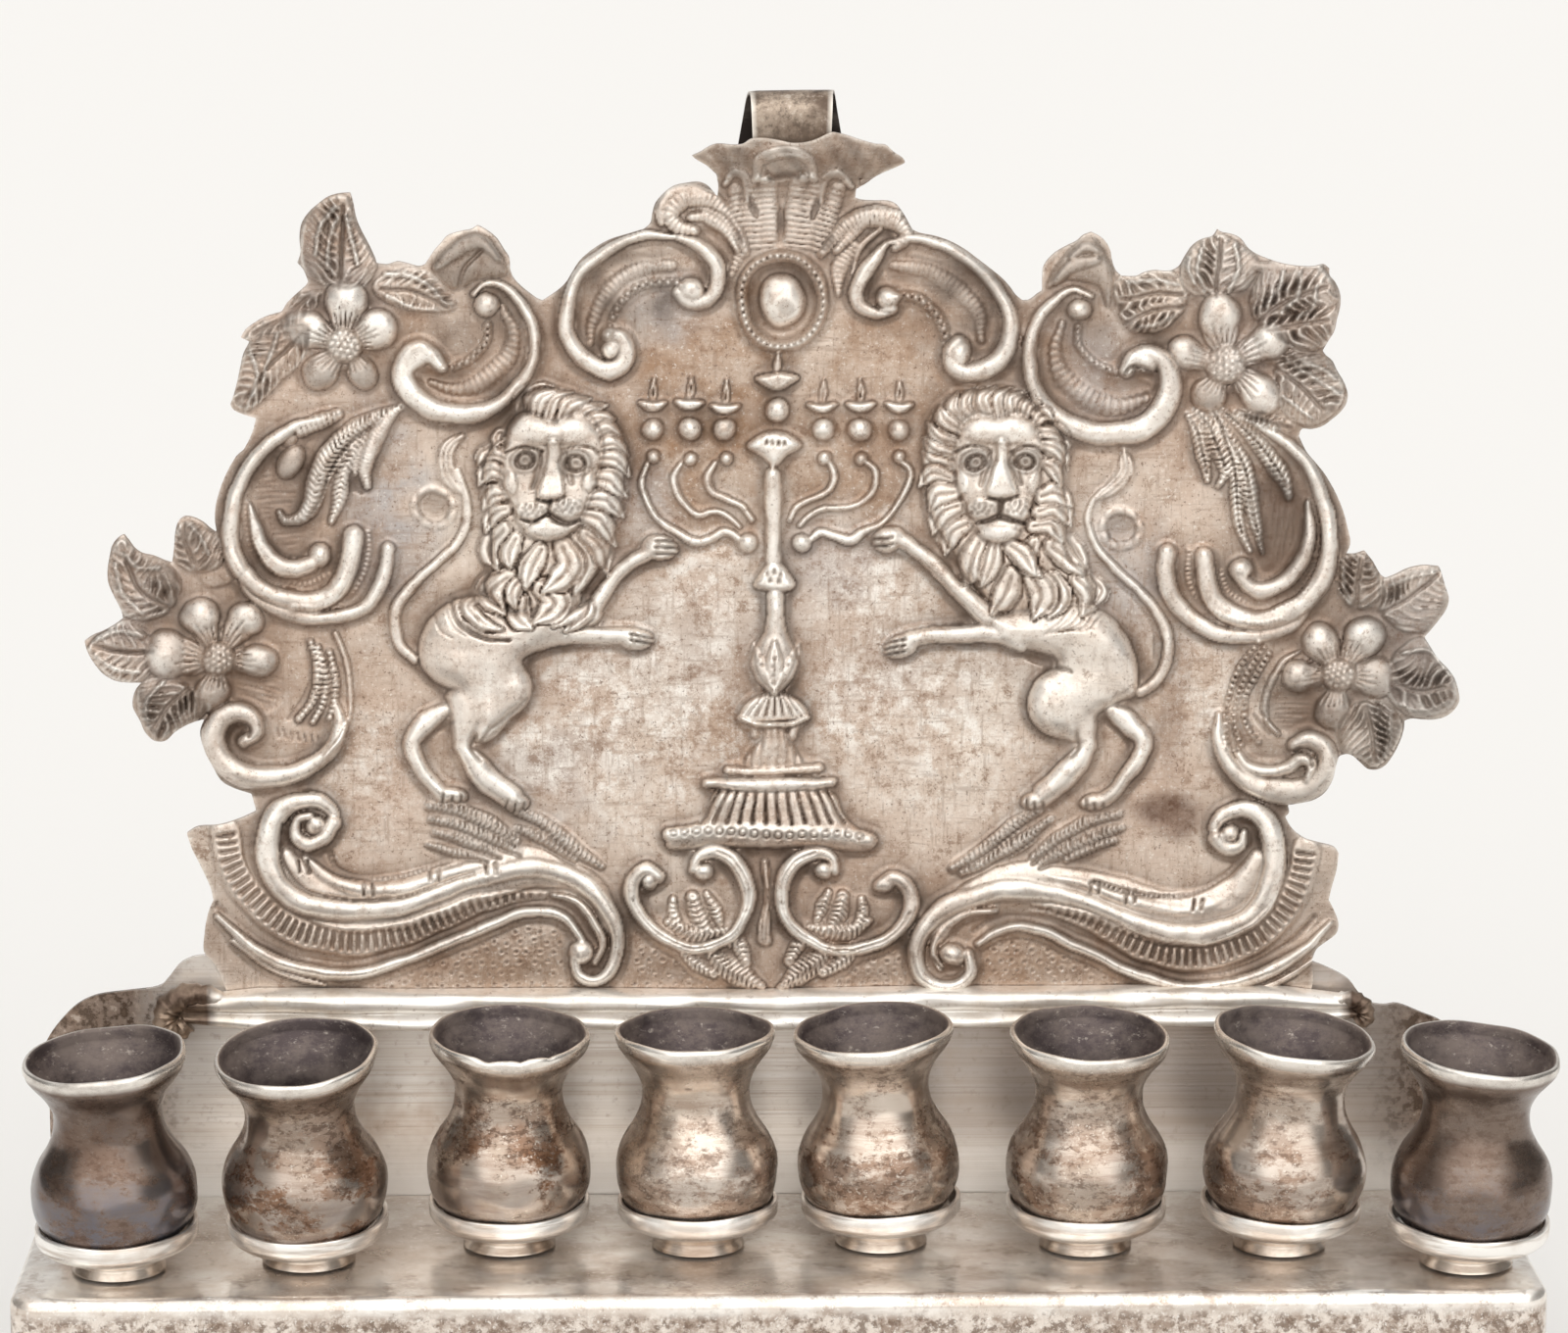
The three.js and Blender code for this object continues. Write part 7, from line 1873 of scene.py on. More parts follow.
# Curled wire at each end: its run and its radii
CURLS = (([(-552, 203), (-575, 211), (-597, 209), (-612, 198), (-613, 184), (-602, 176), (-592, 183)],
          [1.0, 1.7, 2.0, 2.1, 2.1, 1.9, 1.6]),
         ([(566, 199), (582, 202), (596, 196), (600, 184), (592, 176)], [0.9, 1.3, 1.5, 1.5, 1.2]))


def band_rings():
    """The double band as rings, hammered a little uneven and tapered at the ends."""
    section = smooth_run(MOULDING, 3)
    start, end = across_at(BAND_LEFT, BAND_LOW), across_at(BAND_RIGHT, BAND_LOW)
    low, high = height_at(BAND_LOW), height_at(BAND_HIGH)
    back_y = PANEL_Y - GAP
    for k in range(MOULDING_STEPS + 1):
        t = k / MOULDING_STEPS
        x = start + (end - start) * t + SHIFT_X
        taper = min(1.0, 0.55 + 6 * min(t, 1 - t))
        sag = 0.22 * math.sin(9 * t + 0.6) + 0.14 * math.sin(23 * t) - 0.5 * max(0, t - 0.8) * 3
        ring = []
        for d, h in section:
            uneven = 1 + 0.05 * math.sin(31 * t + 5 * h) + 0.04 * math.sin(67 * t + 9 * h)
            y = back_y - d * MOULDING_DEPTH * taper * uneven * (0.98 if uneven > 1 else 1)
            z = low + (high - low) * (0.5 + (h - 0.5) * taper) + sag * (0.4 + h * 0.4)
            ring.append((x, max(y, back_y - MOULDING_DEPTH) + SHIFT_Y, z))
        yield ring


def curl_rings(run, wide):
    """Thick wire along a run on the panel, as rings."""
    line = smooth_run(run, 6)
    back_y = PANEL_Y - GAP
    for k, (u, v) in enumerate(line):
        size = np.interp(k / (len(line) - 1), np.linspace(0, 1, len(wide)), wide)
        ahead = line[min(k + 1, len(line) - 1)] - line[max(k - 1, 0)]
        side = np.array([-ahead[1], ahead[0]]) / np.linalg.norm(ahead)
        ring = []
        for a in np.linspace(0, 2 * math.pi, 14, endpoint=False):
            uneven = size * (1 + 0.10 * math.sin(2.1 * k + a) + 0.08 * math.sin(3 * a + k))
            out = side * uneven * math.cos(a)
            y = back_y - 1.9 - uneven * math.sin(a)
            ring.append((across_at(u, v) + out[0] + SHIFT_X, min(y, back_y) + SHIFT_Y, height_at(v) + out[1]))
        yield ring


def moulding():
    """The double band over the plaque's foot, and the curled wire at its ends."""
    verts, rings = numbered(band_rings())
    quads, ends = skinned(rings), [rings[0], rings[-1][::-1]]
    for run, wide in CURLS:
        more_verts, rings = numbered(curl_rings(run, wide))
        rings = [[k + len(verts) for k in ring] for ring in rings]
        verts += more_verts
        quads += flipped(skinned(rings))
        ends += [rings[0][::-1], rings[-1]]
    mesh_object("moulding", verts, quads, (), silver_moulding(), ["base_moulding"],
                sharp=50, more=ends)


# Hanging loop
STRAP_THICK = 0.8
STRAP_BEND = 3.3
STRAP_X = 2.1
STRAP_COLUMNS = 10
STRAP_TOP, STRAP_TIP = 1127, 1071
# How far it runs down behind the plaque
STRAP_DROP = 60
# Half width of the strap, by the run from its lower end
STRAP_RUN, STRAP_HALF = [0, 44, 52, 60, 66], [11, 9.6, 8.8, 7.4, 6.5, 6.1]


def strap():
    """A strap behind the plaque, turned over forwards above the crest."""
    top, tip = height_at(STRAP_TOP), height_at(STRAP_TIP)
    back_y = WALL_Y + STRAP_THICK / 2
    bend_y, bend_z = back_y - STRAP_BEND, top - STRAP_BEND - STRAP_THICK / 2
    path = [(back_y, bend_z - STRAP_DROP + 5 * k) for k in range(12)]
    path += [(bend_y + STRAP_BEND * math.cos(a), bend_z + STRAP_BEND * math.sin(a))
             for a in np.linspace(0, math.pi, 25)]
    path += [(bend_y - STRAP_BEND, tip + 1.5), (bend_y - STRAP_BEND, tip)]
    path = np.array(path)
    run = np.concatenate([[0], np.cumsum(np.hypot(*np.diff(path, axis=0).T))])
    columns = np.linspace(-1, 1, STRAP_COLUMNS + 1)
    rings = []
    for k, (y, z) in enumerate(path):
        ahead = path[min(k + 1, len(path) - 1)] - path[max(k - 1, 0)]
        tangent = ahead / np.linalg.norm(ahead)
        side = np.array([tangent[1], -tangent[0]]) * STRAP_THICK / 2
        half = np.interp(run[k], [*STRAP_RUN, run[-1]], STRAP_HALF)
        ring = []
        for face in (1, -1):
            for column in columns:
                x = column * half * face
                worn = 0.78 if abs(column) == 1 else 1.0
                lift = 0.125 * (x / 6.5) * max(0, min(1, (z - bend_z) / 4 + 0.3))
                ring.append((STRAP_X + x + SHIFT_X, y + face * side[0] * worn + SHIFT_Y,
                             min(z + face * side[1] * worn + lift, top)))
        rings.append(ring)
    verts, rings = numbered(rings)
    thing = mesh_object("strap", verts, flipped(skinned(rings)), (), silver_strap(),
                        ["hanging_loop"], sharp=50, more=[rings[0][::-1], rings[-1]])
    # For the finish: the inner face, which gets painted shade, the edges, which get painted highlight, and
    # the front end
    inner = np.tile(np.repeat([0.0, 1.0], len(columns)), len(path))
    edge = np.tile(np.abs(columns), 2 * len(path))
    lower = np.repeat(clamped((run - run[-1] + 6) / 6), 2 * len(columns))
    attribute(thing, "Relief", np.stack([inner, edge, lower], 1))


# Feet
FOOT_RADIUS = 7.5
FOOT_STEM = 2.6
FOOT_OUTLINE = [(0.6, 0), (0.86, 0.05), (1, 0.2), (0.96, 0.36), (0.7, 0.49), (0.53, 0.6), (0.6, 0.7),
                (0.84, 0.79), (1, 0.88), (1, 0.95)]


def feet():
    """Four turned feet, each with a stem that reaches up under the shelf."""
    rise = FOOT_Z - GAP
    profile = [(0, 0)] + [(r * FOOT_RADIUS, z * rise) for r, z in smooth_run(FOOT_OUTLINE, 4)]
    profile += [(7.3, rise * 0.985), (7.0, rise), (FOOT_STEM, rise), (FOOT_STEM, SHELF_Z - 1.4),
                (2.45, SHELF_Z - 1.3), (0, SHELF_Z - 1.3)]
    verts, quads, tris = turned(profile, 72)
    reach = BASE_HALF - FOOT_RADIUS
    places = [(x, y) for y in (FRONT_Y + FOOT_RADIUS, WALL_Y + SHEET - FOOT_RADIUS) for x in (-reach, reach)]
    for k, (x, y) in enumerate(places):
        mesh_object(f"turned_foot_{k + 1}", verts + [x + SHIFT_X, y + SHIFT_Y, 0], quads, tris, silver_foot(),
                    [f"foot_{k + 1}"])


# Finishes
class Finish:
    """A node material for silver."""

    def __init__(self, name):
        self.material = bpy.data.materials.new(name)
        self.material.use_nodes = True
        self.nodes, self.links = self.material.node_tree.nodes, self.material.node_tree.links
        self.shader = next(node for node in self.nodes if node.type == "BSDF_PRINCIPLED")
        self.place = self.nodes.new("ShaderNodeTexCoord").outputs["Object"]

    def feed(self, socket, value):
        """Links a socket, or sets its value."""
        if hasattr(value, "is_linked"):
            self.links.new(value, socket)
        elif isinstance(value, tuple) and len(value) == 3 and socket.type == "RGBA":
            socket.default_value = (*value, 1.0)
        else:
            socket.default_value = value

    def maths(self, kind, a, b=0.0, clamp=False):
        """Two values, put together by a kind of sum."""
        node = self.nodes.new("ShaderNodeMath")
        node.operation, node.use_clamp = kind, clamp
        self.feed(node.inputs[0], a)
        self.feed(node.inputs[1], b)
        return node.outputs[0]

    def times(self, a, b, clamp=False):
        """The product of two values."""
        return self.maths("MULTIPLY", a, b, clamp)

    def mix(self, share, a, b):
        """From a to b by a share."""
        node = self.nodes.new("ShaderNodeMix")
        node.data_type, node.clamp_factor = "RGBA", True
        self.feed(node.inputs["Factor"], share)
        self.feed(node.inputs[6], a)
        self.feed(node.inputs[7], b)
        return node.outputs[2]

    def span(self, value, low, high, a=0.0, b=1.0):
        """From a to b as the value goes from low to high."""
        node = self.nodes.new("ShaderNodeMapRange")
        node.clamp = True
        for number, item in enumerate((value, low, high, a, b)):
            self.feed(node.inputs[number], item)
        return node.outputs[0]

    def noise(self, scale, detail, rough, stretch=None):
        """Noise over the object, finer along an axis with a greater stretch."""
        place = self.place
        if stretch:
            node = self.nodes.new("ShaderNodeMapping")
            self.links.new(place, node.inputs["Vector"])
            node.inputs["Scale"].default_value = stretch
            place = node.outputs[0]
        node = self.nodes.new("ShaderNodeTexNoise")
        self.links.new(place, node.inputs["Vector"])
        node.inputs["Scale"].default_value = scale
        node.inputs["Detail"].default_value = detail
        node.inputs["Roughness"].default_value = rough
        return node.outputs["Fac"]

    def marks(self, name):
        """The three fields of a colour attribute."""
        node = self.nodes.new("ShaderNodeAttribute")
        node.attribute_name = name
        split = self.nodes.new("ShaderNodeSeparateColor")
        self.links.new(node.outputs["Color"], split.inputs[0])
        return split.outputs

    def axes(self):
        """The place along the three axes, in metres."""
        split = self.nodes.new("ShaderNodeSeparateXYZ")
        self.links.new(self.place, split.inputs[0])
        return split.outputs

    def reach(self, axis, near, far):
        """From 0 to 1 with the distance from the middle along an axis, in metres."""
        return self.span(self.maths("ABSOLUTE", self.axes()[axis]), near, far)

    def toward(self, axis, near, far):
        """From 0 to 1 with the place along an axis, in metres."""
        return self.span(self.axes()[axis], near, far)

    def bump(self, height, strength, distance):
        """Shades the surface as if it had a fine grain."""
        node = self.nodes.new("ShaderNodeBump")
        node.inputs["Strength"].default_value = strength
        node.inputs["Distance"].default_value = distance
        self.links.new(height, node.inputs["Height"])
        self.links.new(node.outputs[0], self.shader.inputs["Normal"])

    def done(self, colour, rough, metal=1.0):
        """The material, with its colour, roughness and share of metal."""
        self.feed(self.shader.inputs["Base Color"], colour)
        self.feed(self.shader.inputs["Roughness"], rough)
        self.feed(self.shader.inputs["Metallic"], metal)
        return self.material


def tone(red, green, blue):
    """A screen colour as linear light."""
    return tuple(((c / 255 + 0.055) / 1.055) ** 2.4 if c > 10 else c / 255 / 12.92
                 for c in (red, green, blue))


DULL = tone(150, 128, 110)
DRAB = tone(176, 158, 142)
FINISHES = {}


def kept(maker):
    """One material for all the pieces of a finish."""
    def give():
        """The finish, made at its first use."""
        if maker.__name__ not in FINISHES:
            FINISHES[maker.__name__] = maker()
        return FINISHES[maker.__name__]
    return give


@kept
def silver_plaque():
    """Embossed silver: worn pale field, stains, rubbed and painted highlight up high, patina and painted
    shade low.
    """
    m = Finish("silver_embossed")
    cavity, high, dark = m.marks("Relief")
    bright, close, brown = m.marks("WearShadeStain")
    blue, pale, red = m.marks("Stain")
    broad = m.noise(22, 4, 0.65)
    patch = m.noise(75, 6, 0.75)
    grain = m.noise(420, 5, 0.78)
    speck = m.noise(1500, 3, 0.75)
    worn = m.noise(240, 7, 0.85)
    across = m.noise(900, 3, 0.7, (0.12, 1, 1))
    upright = m.noise(900, 3, 0.7, (1, 1, 0.12))
    field = m.mix(m.span(broad, 0.36, 0.64), tone(196, 172, 154), tone(222, 208, 194))
    field = m.mix(m.times(brown, m.span(patch, 0.34, 0.56, 0.35, 1.2), True), field, tone(150, 112, 78))
    field = m.mix(m.times(blue, m.span(patch, 0.66, 0.44, 0.2, 1.0)), field, tone(164, 168, 174))
    field = m.mix(m.span(patch, 0.54, 0.68, 0, 0.6), field, tone(170, 142, 122))
    flakes = m.times(m.maths("ADD", pale, 0.2), m.span(worn, 0.46, 0.58), True)
    flakes = m.times(flakes, m.span(grain, 0.6, 0.44, 0.5, 1.0))
    field = m.mix(flakes, field, tone(244, 238, 230))
    weave = m.times(m.maths("MAXIMUM", m.span(across, 0.54, 0.64), m.span(upright, 0.54, 0.64)), 0.4)
    field = m.mix(weave, field, tone(150, 126, 108))
    pits = m.times(m.span(worn, 0.50, 0.42), m.span(grain, 0.50, 0.58))
    field = m.mix(m.times(pits, m.span(broad, 0.3, 0.7, 0.4, 1.0)), field, tone(140, 112, 92))
    field = m.mix(m.span(speck, 0.60, 0.68, 0, 0.75), field, tone(118, 94, 78))
    field = m.mix(m.span(speck, 0.40, 0.32, 0, 0.6), field, tone(240, 234, 226))
    field = m.mix(m.times(red, m.span(grain, 0.3, 0.6, 0.6, 1.0)), field, tone(92, 64, 48))
    # Painted shade on the ground round the raised forms
    field = m.mix(m.times(close, m.span(patch, 0.38, 0.62, 0.3, 0.85)), field, tone(134, 108, 88))
    # Rubbed light and painted highlight on the high places and on forms marked light
    polish_and_highlight = m.maths("ADD", m.times(bright, 0.8), m.times(high, 0.55), True)
    polish_and_highlight = m.times(polish_and_highlight, m.span(patch, 0.40, 0.60, 1.0, 0.5))
    polish_and_highlight = m.times(polish_and_highlight, m.span(grain, 0.62, 0.5, 0.5, 1.0))
    polish_and_highlight = m.times(polish_and_highlight, m.span(speck, 0.66, 0.56, 0.5, 1.0))
    colour = m.mix(polish_and_highlight, field, tone(250, 245, 237))
    # Patina with painted shade, in the hollows and where forms are marked dark; the sooty tone is its colour
    hollow_dark = m.maths("MAXIMUM", m.times(cavity, 0.9), m.times(dark, 0.85))
    hollow_dark = m.times(hollow_dark, m.span(grain, 0.3, 0.72, 1.0, 0.65), True)
    sooty = m.mix(m.span(patch, 0.4, 0.6), tone(78, 60, 48), tone(98, 86, 76))
    colour = m.mix(hollow_dark, colour, sooty)
    m.bump(m.mix(0.5, m.noise(700, 4, 0.6), worn), 0.35, 0.0002)
    return m.done(colour, m.span(hollow_dark, 0, 1, 0.32, 0.6), 0.6)


@kept
def silver_bright():
    """Rubbed silver of the dishes."""
    m = Finish("silver_rubbed_bright")
    patch = m.noise(90, 4, 0.6)
    streak = m.noise(60, 4, 0.6, (1, 1, 12))
    colour = m.mix(m.span(patch, 0.45, 0.6), tone(252, 249, 244), tone(228, 218, 208))
    colour = m.mix(m.span(streak, 0.50, 0.62, 0, 0.6), colour, DRAB)
    return m.done(colour, 0.26, 0.75)


@kept
def silver_collar():
    """Duller silver with upright streaks."""
    m = Finish("silver_collar")
    patch = m.noise(110, 4, 0.65)
    streak = m.noise(200, 4, 0.6, (0.4, 0.4, 3))
    colour = m.mix(m.span(patch, 0.42, 0.62), tone(222, 210, 197), tone(184, 166, 150))
    colour = m.mix(m.span(streak, 0.52, 0.66, 0, 0.6), colour, DULL)
    return m.done(colour, 0.26, 0.8)


@kept
def silver_plain():
    """Plain silver of the rivets, out of sight."""
    return Finish("silver_plain").done(tone(216, 211, 204), 0.36)


@kept
def silver_wall():
    """Brushed silver, dull at the ears, with painted shade high on its right and painted light from the shelf
    at its foot.
    """
    m = Finish("silver_brushed")
    streak = m.noise(40, 5, 0.6, (0.25, 1, 14))
    fine = m.noise(160, 5, 0.7, (0.12, 1, 14))
    patch = m.noise(30, 5, 0.65)
    grain = m.noise(500, 4, 0.7)
    colour = m.mix(m.span(streak, 0.35, 0.65), tone(254, 249, 243), tone(236, 226, 215))
    colour = m.mix(m.span(fine, 0.5, 0.66, 0, 0.4), colour, tone(180, 160, 142))
    # Painted shade on the upper wall's right half, between the bowls
    dim = m.times(m.toward(0, 0.005, 0.03), m.reach(2, 0.0385, 0.044))
    colour = m.mix(m.times(dim, 0.5), colour, tone(130, 108, 92))
    colour = m.mix(m.span(patch, 0.52, 0.66, 0, 0.6), colour, tone(186, 162, 140))
    ears = m.reach(0, 0.0975, 0.106)
    colour = m.mix(m.times(ears, m.span(patch, 0.3, 0.6, 0.7, 1.0)), colour, tone(132, 110, 94))
    colour = m.mix(m.times(ears, m.span(grain, 0.48, 0.58)), colour, tone(88, 72, 60))
    colour = m.mix(m.times(ears, m.span(grain, 0.42, 0.36)), colour, tone(188, 172, 158))
    colour = m.mix(m.span(grain, 0.56, 0.7, 0, 0.35), colour, DULL)
    # Painted light from the shelf: the front of the wall's foot near white and less metallic
    middle = (WALL_Y + 0.5 * SHEET + SHIFT_Y) * MM
    foot = m.times(m.reach(2, 0.046, 0.036), m.toward(1, middle + 0.0001, middle - 0.0001))
    colour = m.mix(m.times(foot, 0.85), colour, tone(252, 248, 242))
    m.bump(fine, 0.2, 0.0002)
    return m.done(colour, 0.22, m.span(foot, 0, 1, 0.5, 0.3))


@kept
def silver_shelf():
    """Satin silver, stained, with a pitted apron, and painted shade and reflection of the bowls towards the
    wall.
    """
    m = Finish("silver_satin")
    patch = m.noise(60, 5, 0.65)
    speck = m.noise(500, 4, 0.75)
    streak = m.noise(90, 4, 0.6, (0.4, 1, 3))
    stain = m.noise(150, 6, 0.75)
    pits = m.noise(1300, 3, 0.75)
    colour = m.mix(m.span(patch, 0.42, 0.58), tone(254, 250, 244), tone(228, 217, 206))
    colour = m.mix(m.span(streak, 0.48, 0.6, 0, 0.45), colour, DRAB)
    colour = m.mix(m.span(stain, 0.54, 0.62, 0, 0.4), colour, tone(146, 120, 100))
    colour = m.mix(m.span(speck, 0.58, 0.68, 0, 0.5), colour, tone(140, 116, 98))
    # Painted shade and painted reflection of the bowls, darker towards the wall
    colour = m.mix(m.toward(1, -0.006, 0.012), colour, m.mix(0.3, colour, tone(120, 98, 82)))
    coarse = m.noise(330, 6, 0.75)
    apron = m.mix(m.span(coarse, 0.42, 0.58), tone(236, 226, 216), tone(172, 154, 140))
    apron = m.mix(m.span(speck, 0.50, 0.58, 0, 0.8), apron, tone(124, 104, 90))
    colour = m.mix(m.reach(2, 0.0318, 0.0302), colour, apron)
    colour = m.mix(m.span(pits, 0.42, 0.34, 0, 0.8), colour, tone(250, 246, 240))
    m.bump(m.noise(260, 4, 0.6), 0.15, 0.0002)
    return m.done(colour, m.span(patch, 0.35, 0.65, 0.16, 0.28), 0.75)


@kept
def silver_bowl():
    """Tarnished silver: bright, brown, rusty and blue outside, sooty inside, with a clean lip."""
    m = Finish("silver_tarnished")
    inner, up, brim = m.marks("Relief")
    dark, rust, blue = m.marks("Stain")
    broad = m.noise(38, 4, 0.7, (1, 1, 0.6))
    patch = m.noise(75, 8, 0.80, (1, 1, 1.6))
    speck = m.noise(500, 5, 0.8, (1, 1, 1.8))
    fine = m.noise(1500, 3, 0.75)
    wiped = m.noise(150, 6, 0.75, (0.35, 0.35, 3))
    outer = m.mix(m.span(broad, 0.38, 0.62), tone(236, 224, 211), tone(194, 177, 160))
    outer = m.mix(m.span(wiped, 0.46, 0.60, 0, 0.5), outer, tone(150, 122, 102))
    outer = m.mix(m.times(dark, m.span(broad, 0.3, 0.62, 1.0, 0.75)), outer, tone(104, 88, 78))
    outer = m.mix(m.span(up, 0.86, 0.94, 0, 0.4), outer, tone(104, 84, 70))
    low = m.span(up, 0.1, 0.5, 1.0, 0.1)
    blues = m.times(m.times(blue, low), m.span(patch, 0.38, 0.54, 1.0, 0.2))
    outer = m.mix(blues, outer, tone(104, 112, 130))
    rusts = m.times(m.span(patch, 0.48, 0.54), m.span(broad, 0.60, 0.50))
    rusts = m.times(rusts, m.times(rust, m.span(up, 0.75, 0.45, 0.4, 1.3)), True)
    outer = m.mix(rusts, outer, tone(118, 80, 52))
    specks = m.times(m.span(speck, 0.50, 0.56), m.span(patch, 0.47, 0.53, 0.0, 0.9))
    outer = m.mix(m.times(specks, m.span(rust, 0, 1, 0.3, 1.0)), outer, tone(74, 54, 42))
    clean = m.times(m.span(patch, 0.44, 0.52, 0.1, 0.5), m.span(dark, 0.3, 1, 0.9, 0.12))
    outer = m.mix(m.times(m.span(fine, 0.60, 0.66), clean), outer, tone(246, 238, 226))
    outer = m.mix(m.times(brim, m.span(patch, 0.4, 0.66, 0.95, 0.4)), outer, tone(244, 239, 231))
    hollow_dark = m.mix(m.span(patch, 0.42, 0.58), tone(92, 82, 82), tone(138, 126, 120))
    hollow_dark = m.mix(m.span(speck, 0.58, 0.7, 0, 0.8), hollow_dark, tone(196, 186, 176))
    colour = m.mix(inner, outer, hollow_dark)
    m.bump(m.noise(70, 2, 0.5), 0.12, 0.0006)
    rough = m.maths("ADD", m.span(inner, 0, 1, 0.20, 0.6), m.span(patch, 0.46, 0.56, 0, 0.12))
    return m.done(colour, rough, 0.87)


@kept
def silver_moulding():
    """Polished wire with dull ends."""
    m = Finish("silver_polished_wire")
    patch = m.noise(120, 5, 0.65)
    speck = m.noise(600, 4, 0.7)
    colour = m.mix(m.span(patch, 0.45, 0.7), tone(250, 246, 240), tone(222, 210, 196))
    colour = m.mix(m.span(speck, 0.58, 0.72, 0, 0.6), colour, DULL)
    colour = m.mix(m.reach(0, 0.0915, 0.0935), colour,
                   m.mix(m.span(patch, 0.4, 0.6), tone(150, 130, 112), tone(92, 74, 62)))
    return m.done(colour, 0.34, 0.6)


@kept
def silver_strap():
    """Worn strap, with painted highlight along its edges and painted shade on its inside."""
    m = Finish("silver_worn_strap")
    inner, edge, lower = m.marks("Relief")
    patch = m.noise(130, 5, 0.65)
    streak = m.noise(220, 5, 0.65, (0.3, 1, 1))
    grain = m.noise(700, 5, 0.78)
    colour = m.mix(m.span(patch, 0.42, 0.58), tone(172, 156, 140), tone(118, 100, 86))
    colour = m.mix(m.span(grain, 0.48, 0.6, 0, 0.7), colour, tone(78, 66, 56))
    colour = m.mix(m.span(grain, 0.42, 0.34, 0, 0.6), colour, tone(206, 194, 182))
    colour = m.mix(m.span(streak, 0.48, 0.62, 0, 0.8), colour, tone(92, 76, 64))
    colour = m.mix(m.times(lower, 0.6), colour, tone(104, 88, 74))
    # Painted highlight along the edges
    colour = m.mix(m.span(edge, 0.86, 1.0, 0, 0.9), colour, tone(236, 229, 219))
    # Painted shade on the inner face
    colour = m.mix(inner, colour, m.mix(m.span(streak, 0.5, 0.66), tone(46, 38, 34), tone(92, 84, 78)))
    m.bump(streak, 0.15, 0.0002)
    return m.done(colour, m.span(inner, 0, 1, 0.38, 0.7), 0.6)


@kept
def silver_foot():
    """Turned silver."""
    m = Finish("silver_turned")
    patch = m.noise(140, 5, 0.65)
    colour = m.mix(m.span(patch, 0.4, 0.65), tone(210, 202, 192), tone(170, 156, 144))
    return m.done(colour, 0.34)


# Camera, light and floor
LENS, SENSOR = 112.29, 36
PITCH_DOWN, YAW, TILT = (math.radians(a) for a in (11.803, 1.760, 0.220))
ROOM_WHITE = (1.0, 0.985, 0.965)
SUN_WHITE = (1, 0.985, 0.96)
# Two wide soft lights, far off: name, power, width, and where each stands, in degrees
SUNS = (("key", 0.66, 120, 62, -14), ("top", 0.36, 90, 12, 30))
FLOOR_HALF = 14.0
FLOOR_WHITE = (0.905, 0.897, 0.882)


def add_camera(scene):
    """The camera at the eye, level but for a small tilt."""
    camera = bpy.data.objects.new("camera", bpy.data.cameras.new("camera"))
    ahead = Vector((math.sin(YAW) * math.cos(PITCH_DOWN), math.cos(YAW) * math.cos(PITCH_DOWN),
                    -math.sin(PITCH_DOWN)))
    level = Vector((math.cos(YAW), -math.sin(YAW), 0))
    upright = level.cross(ahead)
    right = level * math.cos(TILT) + upright * math.sin(TILT)
    up = upright * math.cos(TILT) - level * math.sin(TILT)
    turn = Matrix((right, up, -ahead)).transposed().to_4x4()
    camera.matrix_world = Matrix.Translation(Vector(EYE) * MM) @ turn
    camera.data.lens, camera.data.sensor_width = LENS, SENSOR
    camera.data.clip_start, camera.data.clip_end = 0.02, 60
    scene.collection.objects.link(camera)
    scene.camera = camera


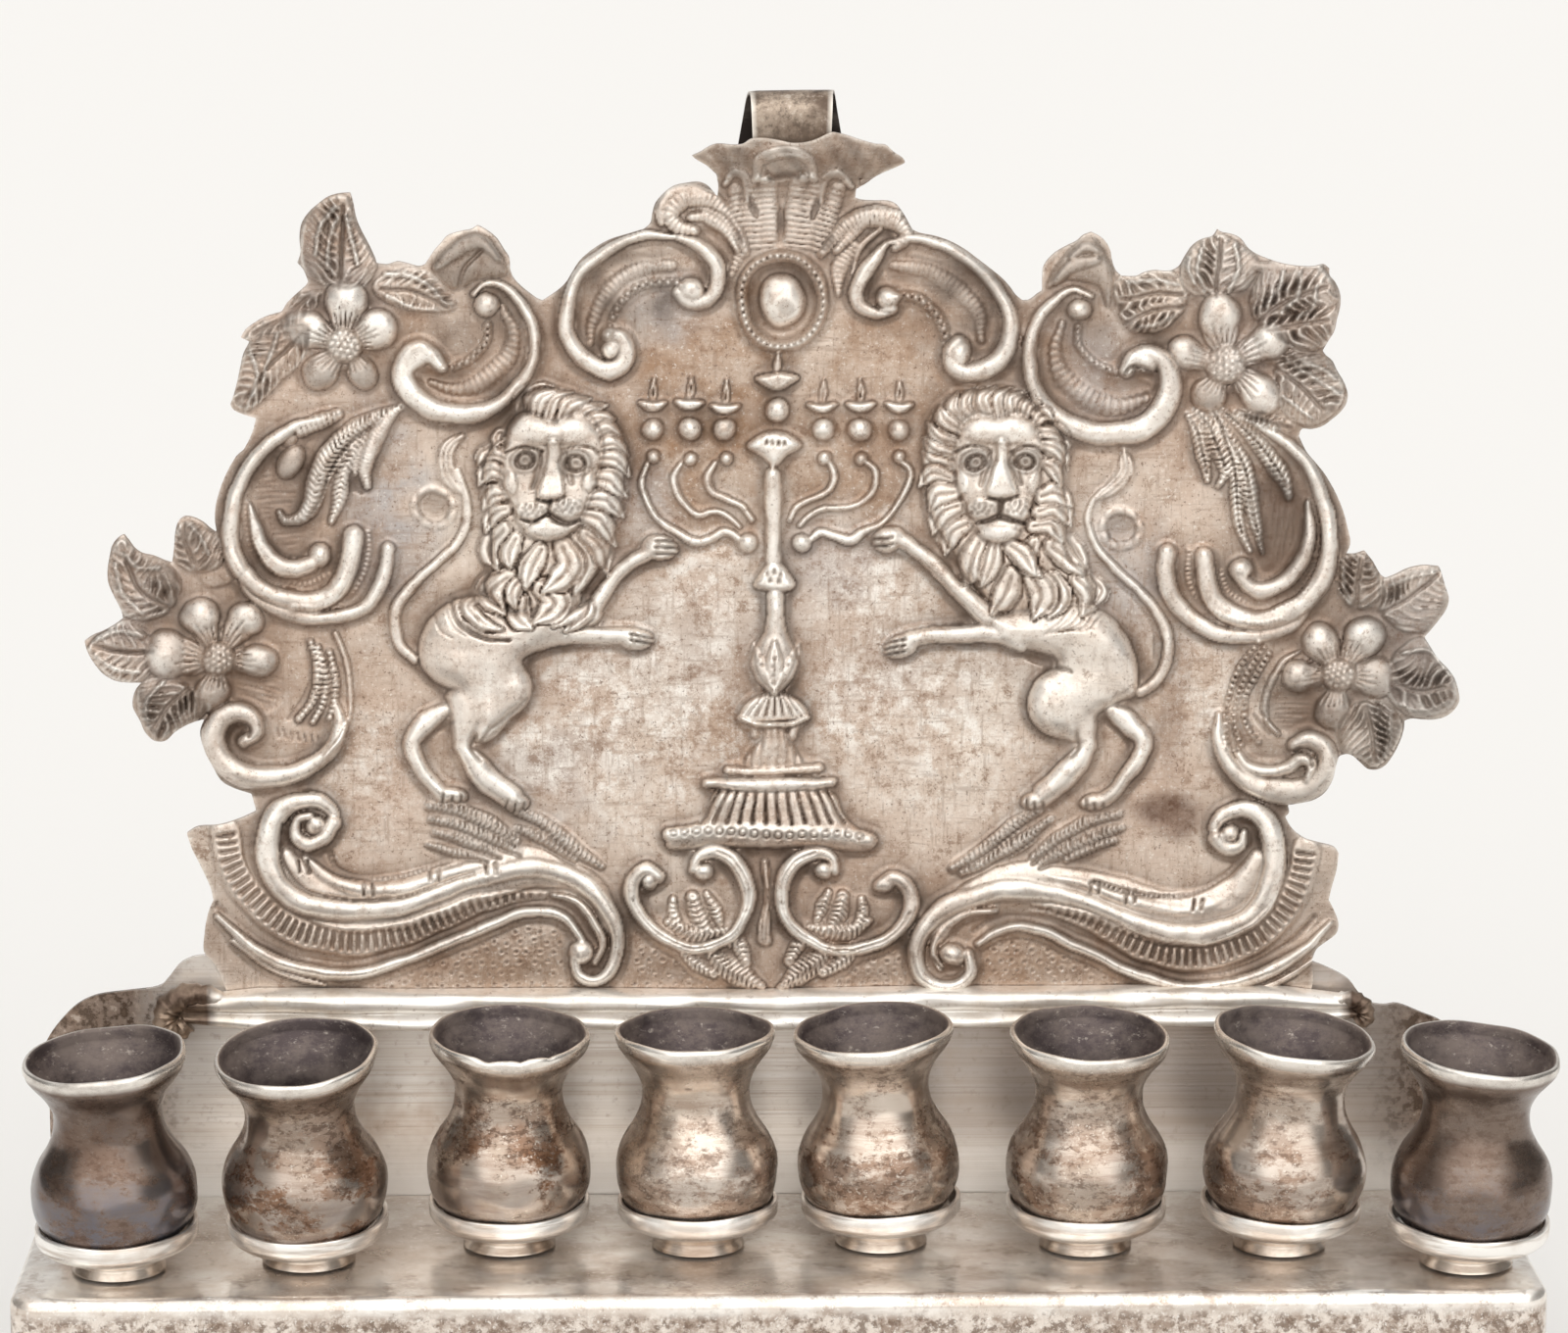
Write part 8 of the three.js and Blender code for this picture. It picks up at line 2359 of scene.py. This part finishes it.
def add_room(scene):
    """The room that the silver mirrors: brighter above and behind the camera, dim at the sides."""
    world = bpy.data.worlds.new("room")
    scene.world = world
    world.use_nodes = True
    nodes, links = world.node_tree.nodes, world.node_tree.links
    nodes.clear()
    place = nodes.new("ShaderNodeTexCoord")
    split = nodes.new("ShaderNodeSeparateXYZ")
    links.new(place.outputs["Generated"], split.inputs[0])

    def spread(value, *ends):
        """A smooth step from one range to another."""
        node = nodes.new("ShaderNodeMapRange")
        node.clamp, node.interpolation_type = True, "SMOOTHSTEP"
        links.new(value, node.inputs[0])
        for number, item in enumerate(ends):
            node.inputs[number + 1].default_value = item
        return node.outputs[0]

    def maths(kind, *values):
        """Two values, or one, put through a kind of sum."""
        node = nodes.new("ShaderNodeMath")
        node.operation = kind
        for number, value in enumerate(values):
            links.new(value, node.inputs[number])
        return node.outputs[0]

    height = spread(split.outputs["Z"], -0.1, 0.8, 0.66, 0.80)
    sides = spread(maths("ABSOLUTE", split.outputs["X"]), 0.5, 0.85, 1.1, 0.2)
    front = spread(split.outputs["Y"], -0.8, 0.1, 2.0, 0.8)
    room = nodes.new("ShaderNodeBackground")
    room.inputs["Color"].default_value = (*ROOM_WHITE, 1)
    links.new(maths("MULTIPLY", maths("MULTIPLY", height, sides), front), room.inputs["Strength"])
    links.new(room.outputs[0], nodes.new("ShaderNodeOutputWorld").inputs[0])


def add_suns(scene):
    """The wide soft lights."""
    for name, power, wide, lean, turn in SUNS:
        sun = bpy.data.lights.new(name, "SUN")
        sun.energy, sun.angle, sun.color = power, math.radians(wide), SUN_WHITE
        thing = bpy.data.objects.new(name, sun)
        thing.rotation_euler = Euler((math.radians(lean), 0, math.radians(turn)))
        scene.collection.objects.link(thing)


def add_floor(scene):
    """A white floor that fills the picture behind the lamp."""
    size = FLOOR_HALF
    mesh = bpy.data.meshes.new("floor")
    mesh.from_pydata([(-size, -size, 0), (size, -size, 0), (size, size * 2, 0), (-size, size * 2, 0)], [],
                     [(0, 1, 2, 3)])
    floor = bpy.data.objects.new("floor", mesh)
    scene.collection.objects.link(floor)
    m = Finish("floor")
    mesh.materials.append(m.done(FLOOR_WHITE, 0.9, 0.0))
    m.shader.inputs["Specular IOR Level"].default_value = 0.0


def studio():
    """Everything round the object."""
    scene = bpy.context.scene
    scene.view_settings.view_transform = "Standard"
    add_camera(scene)
    add_room(scene)
    add_suns(scene)
    add_floor(scene)


plaque()
back_wall()
shelf()
lights()
moulding()
strap()
feet()
studio()
bpy.context.view_layer.update()
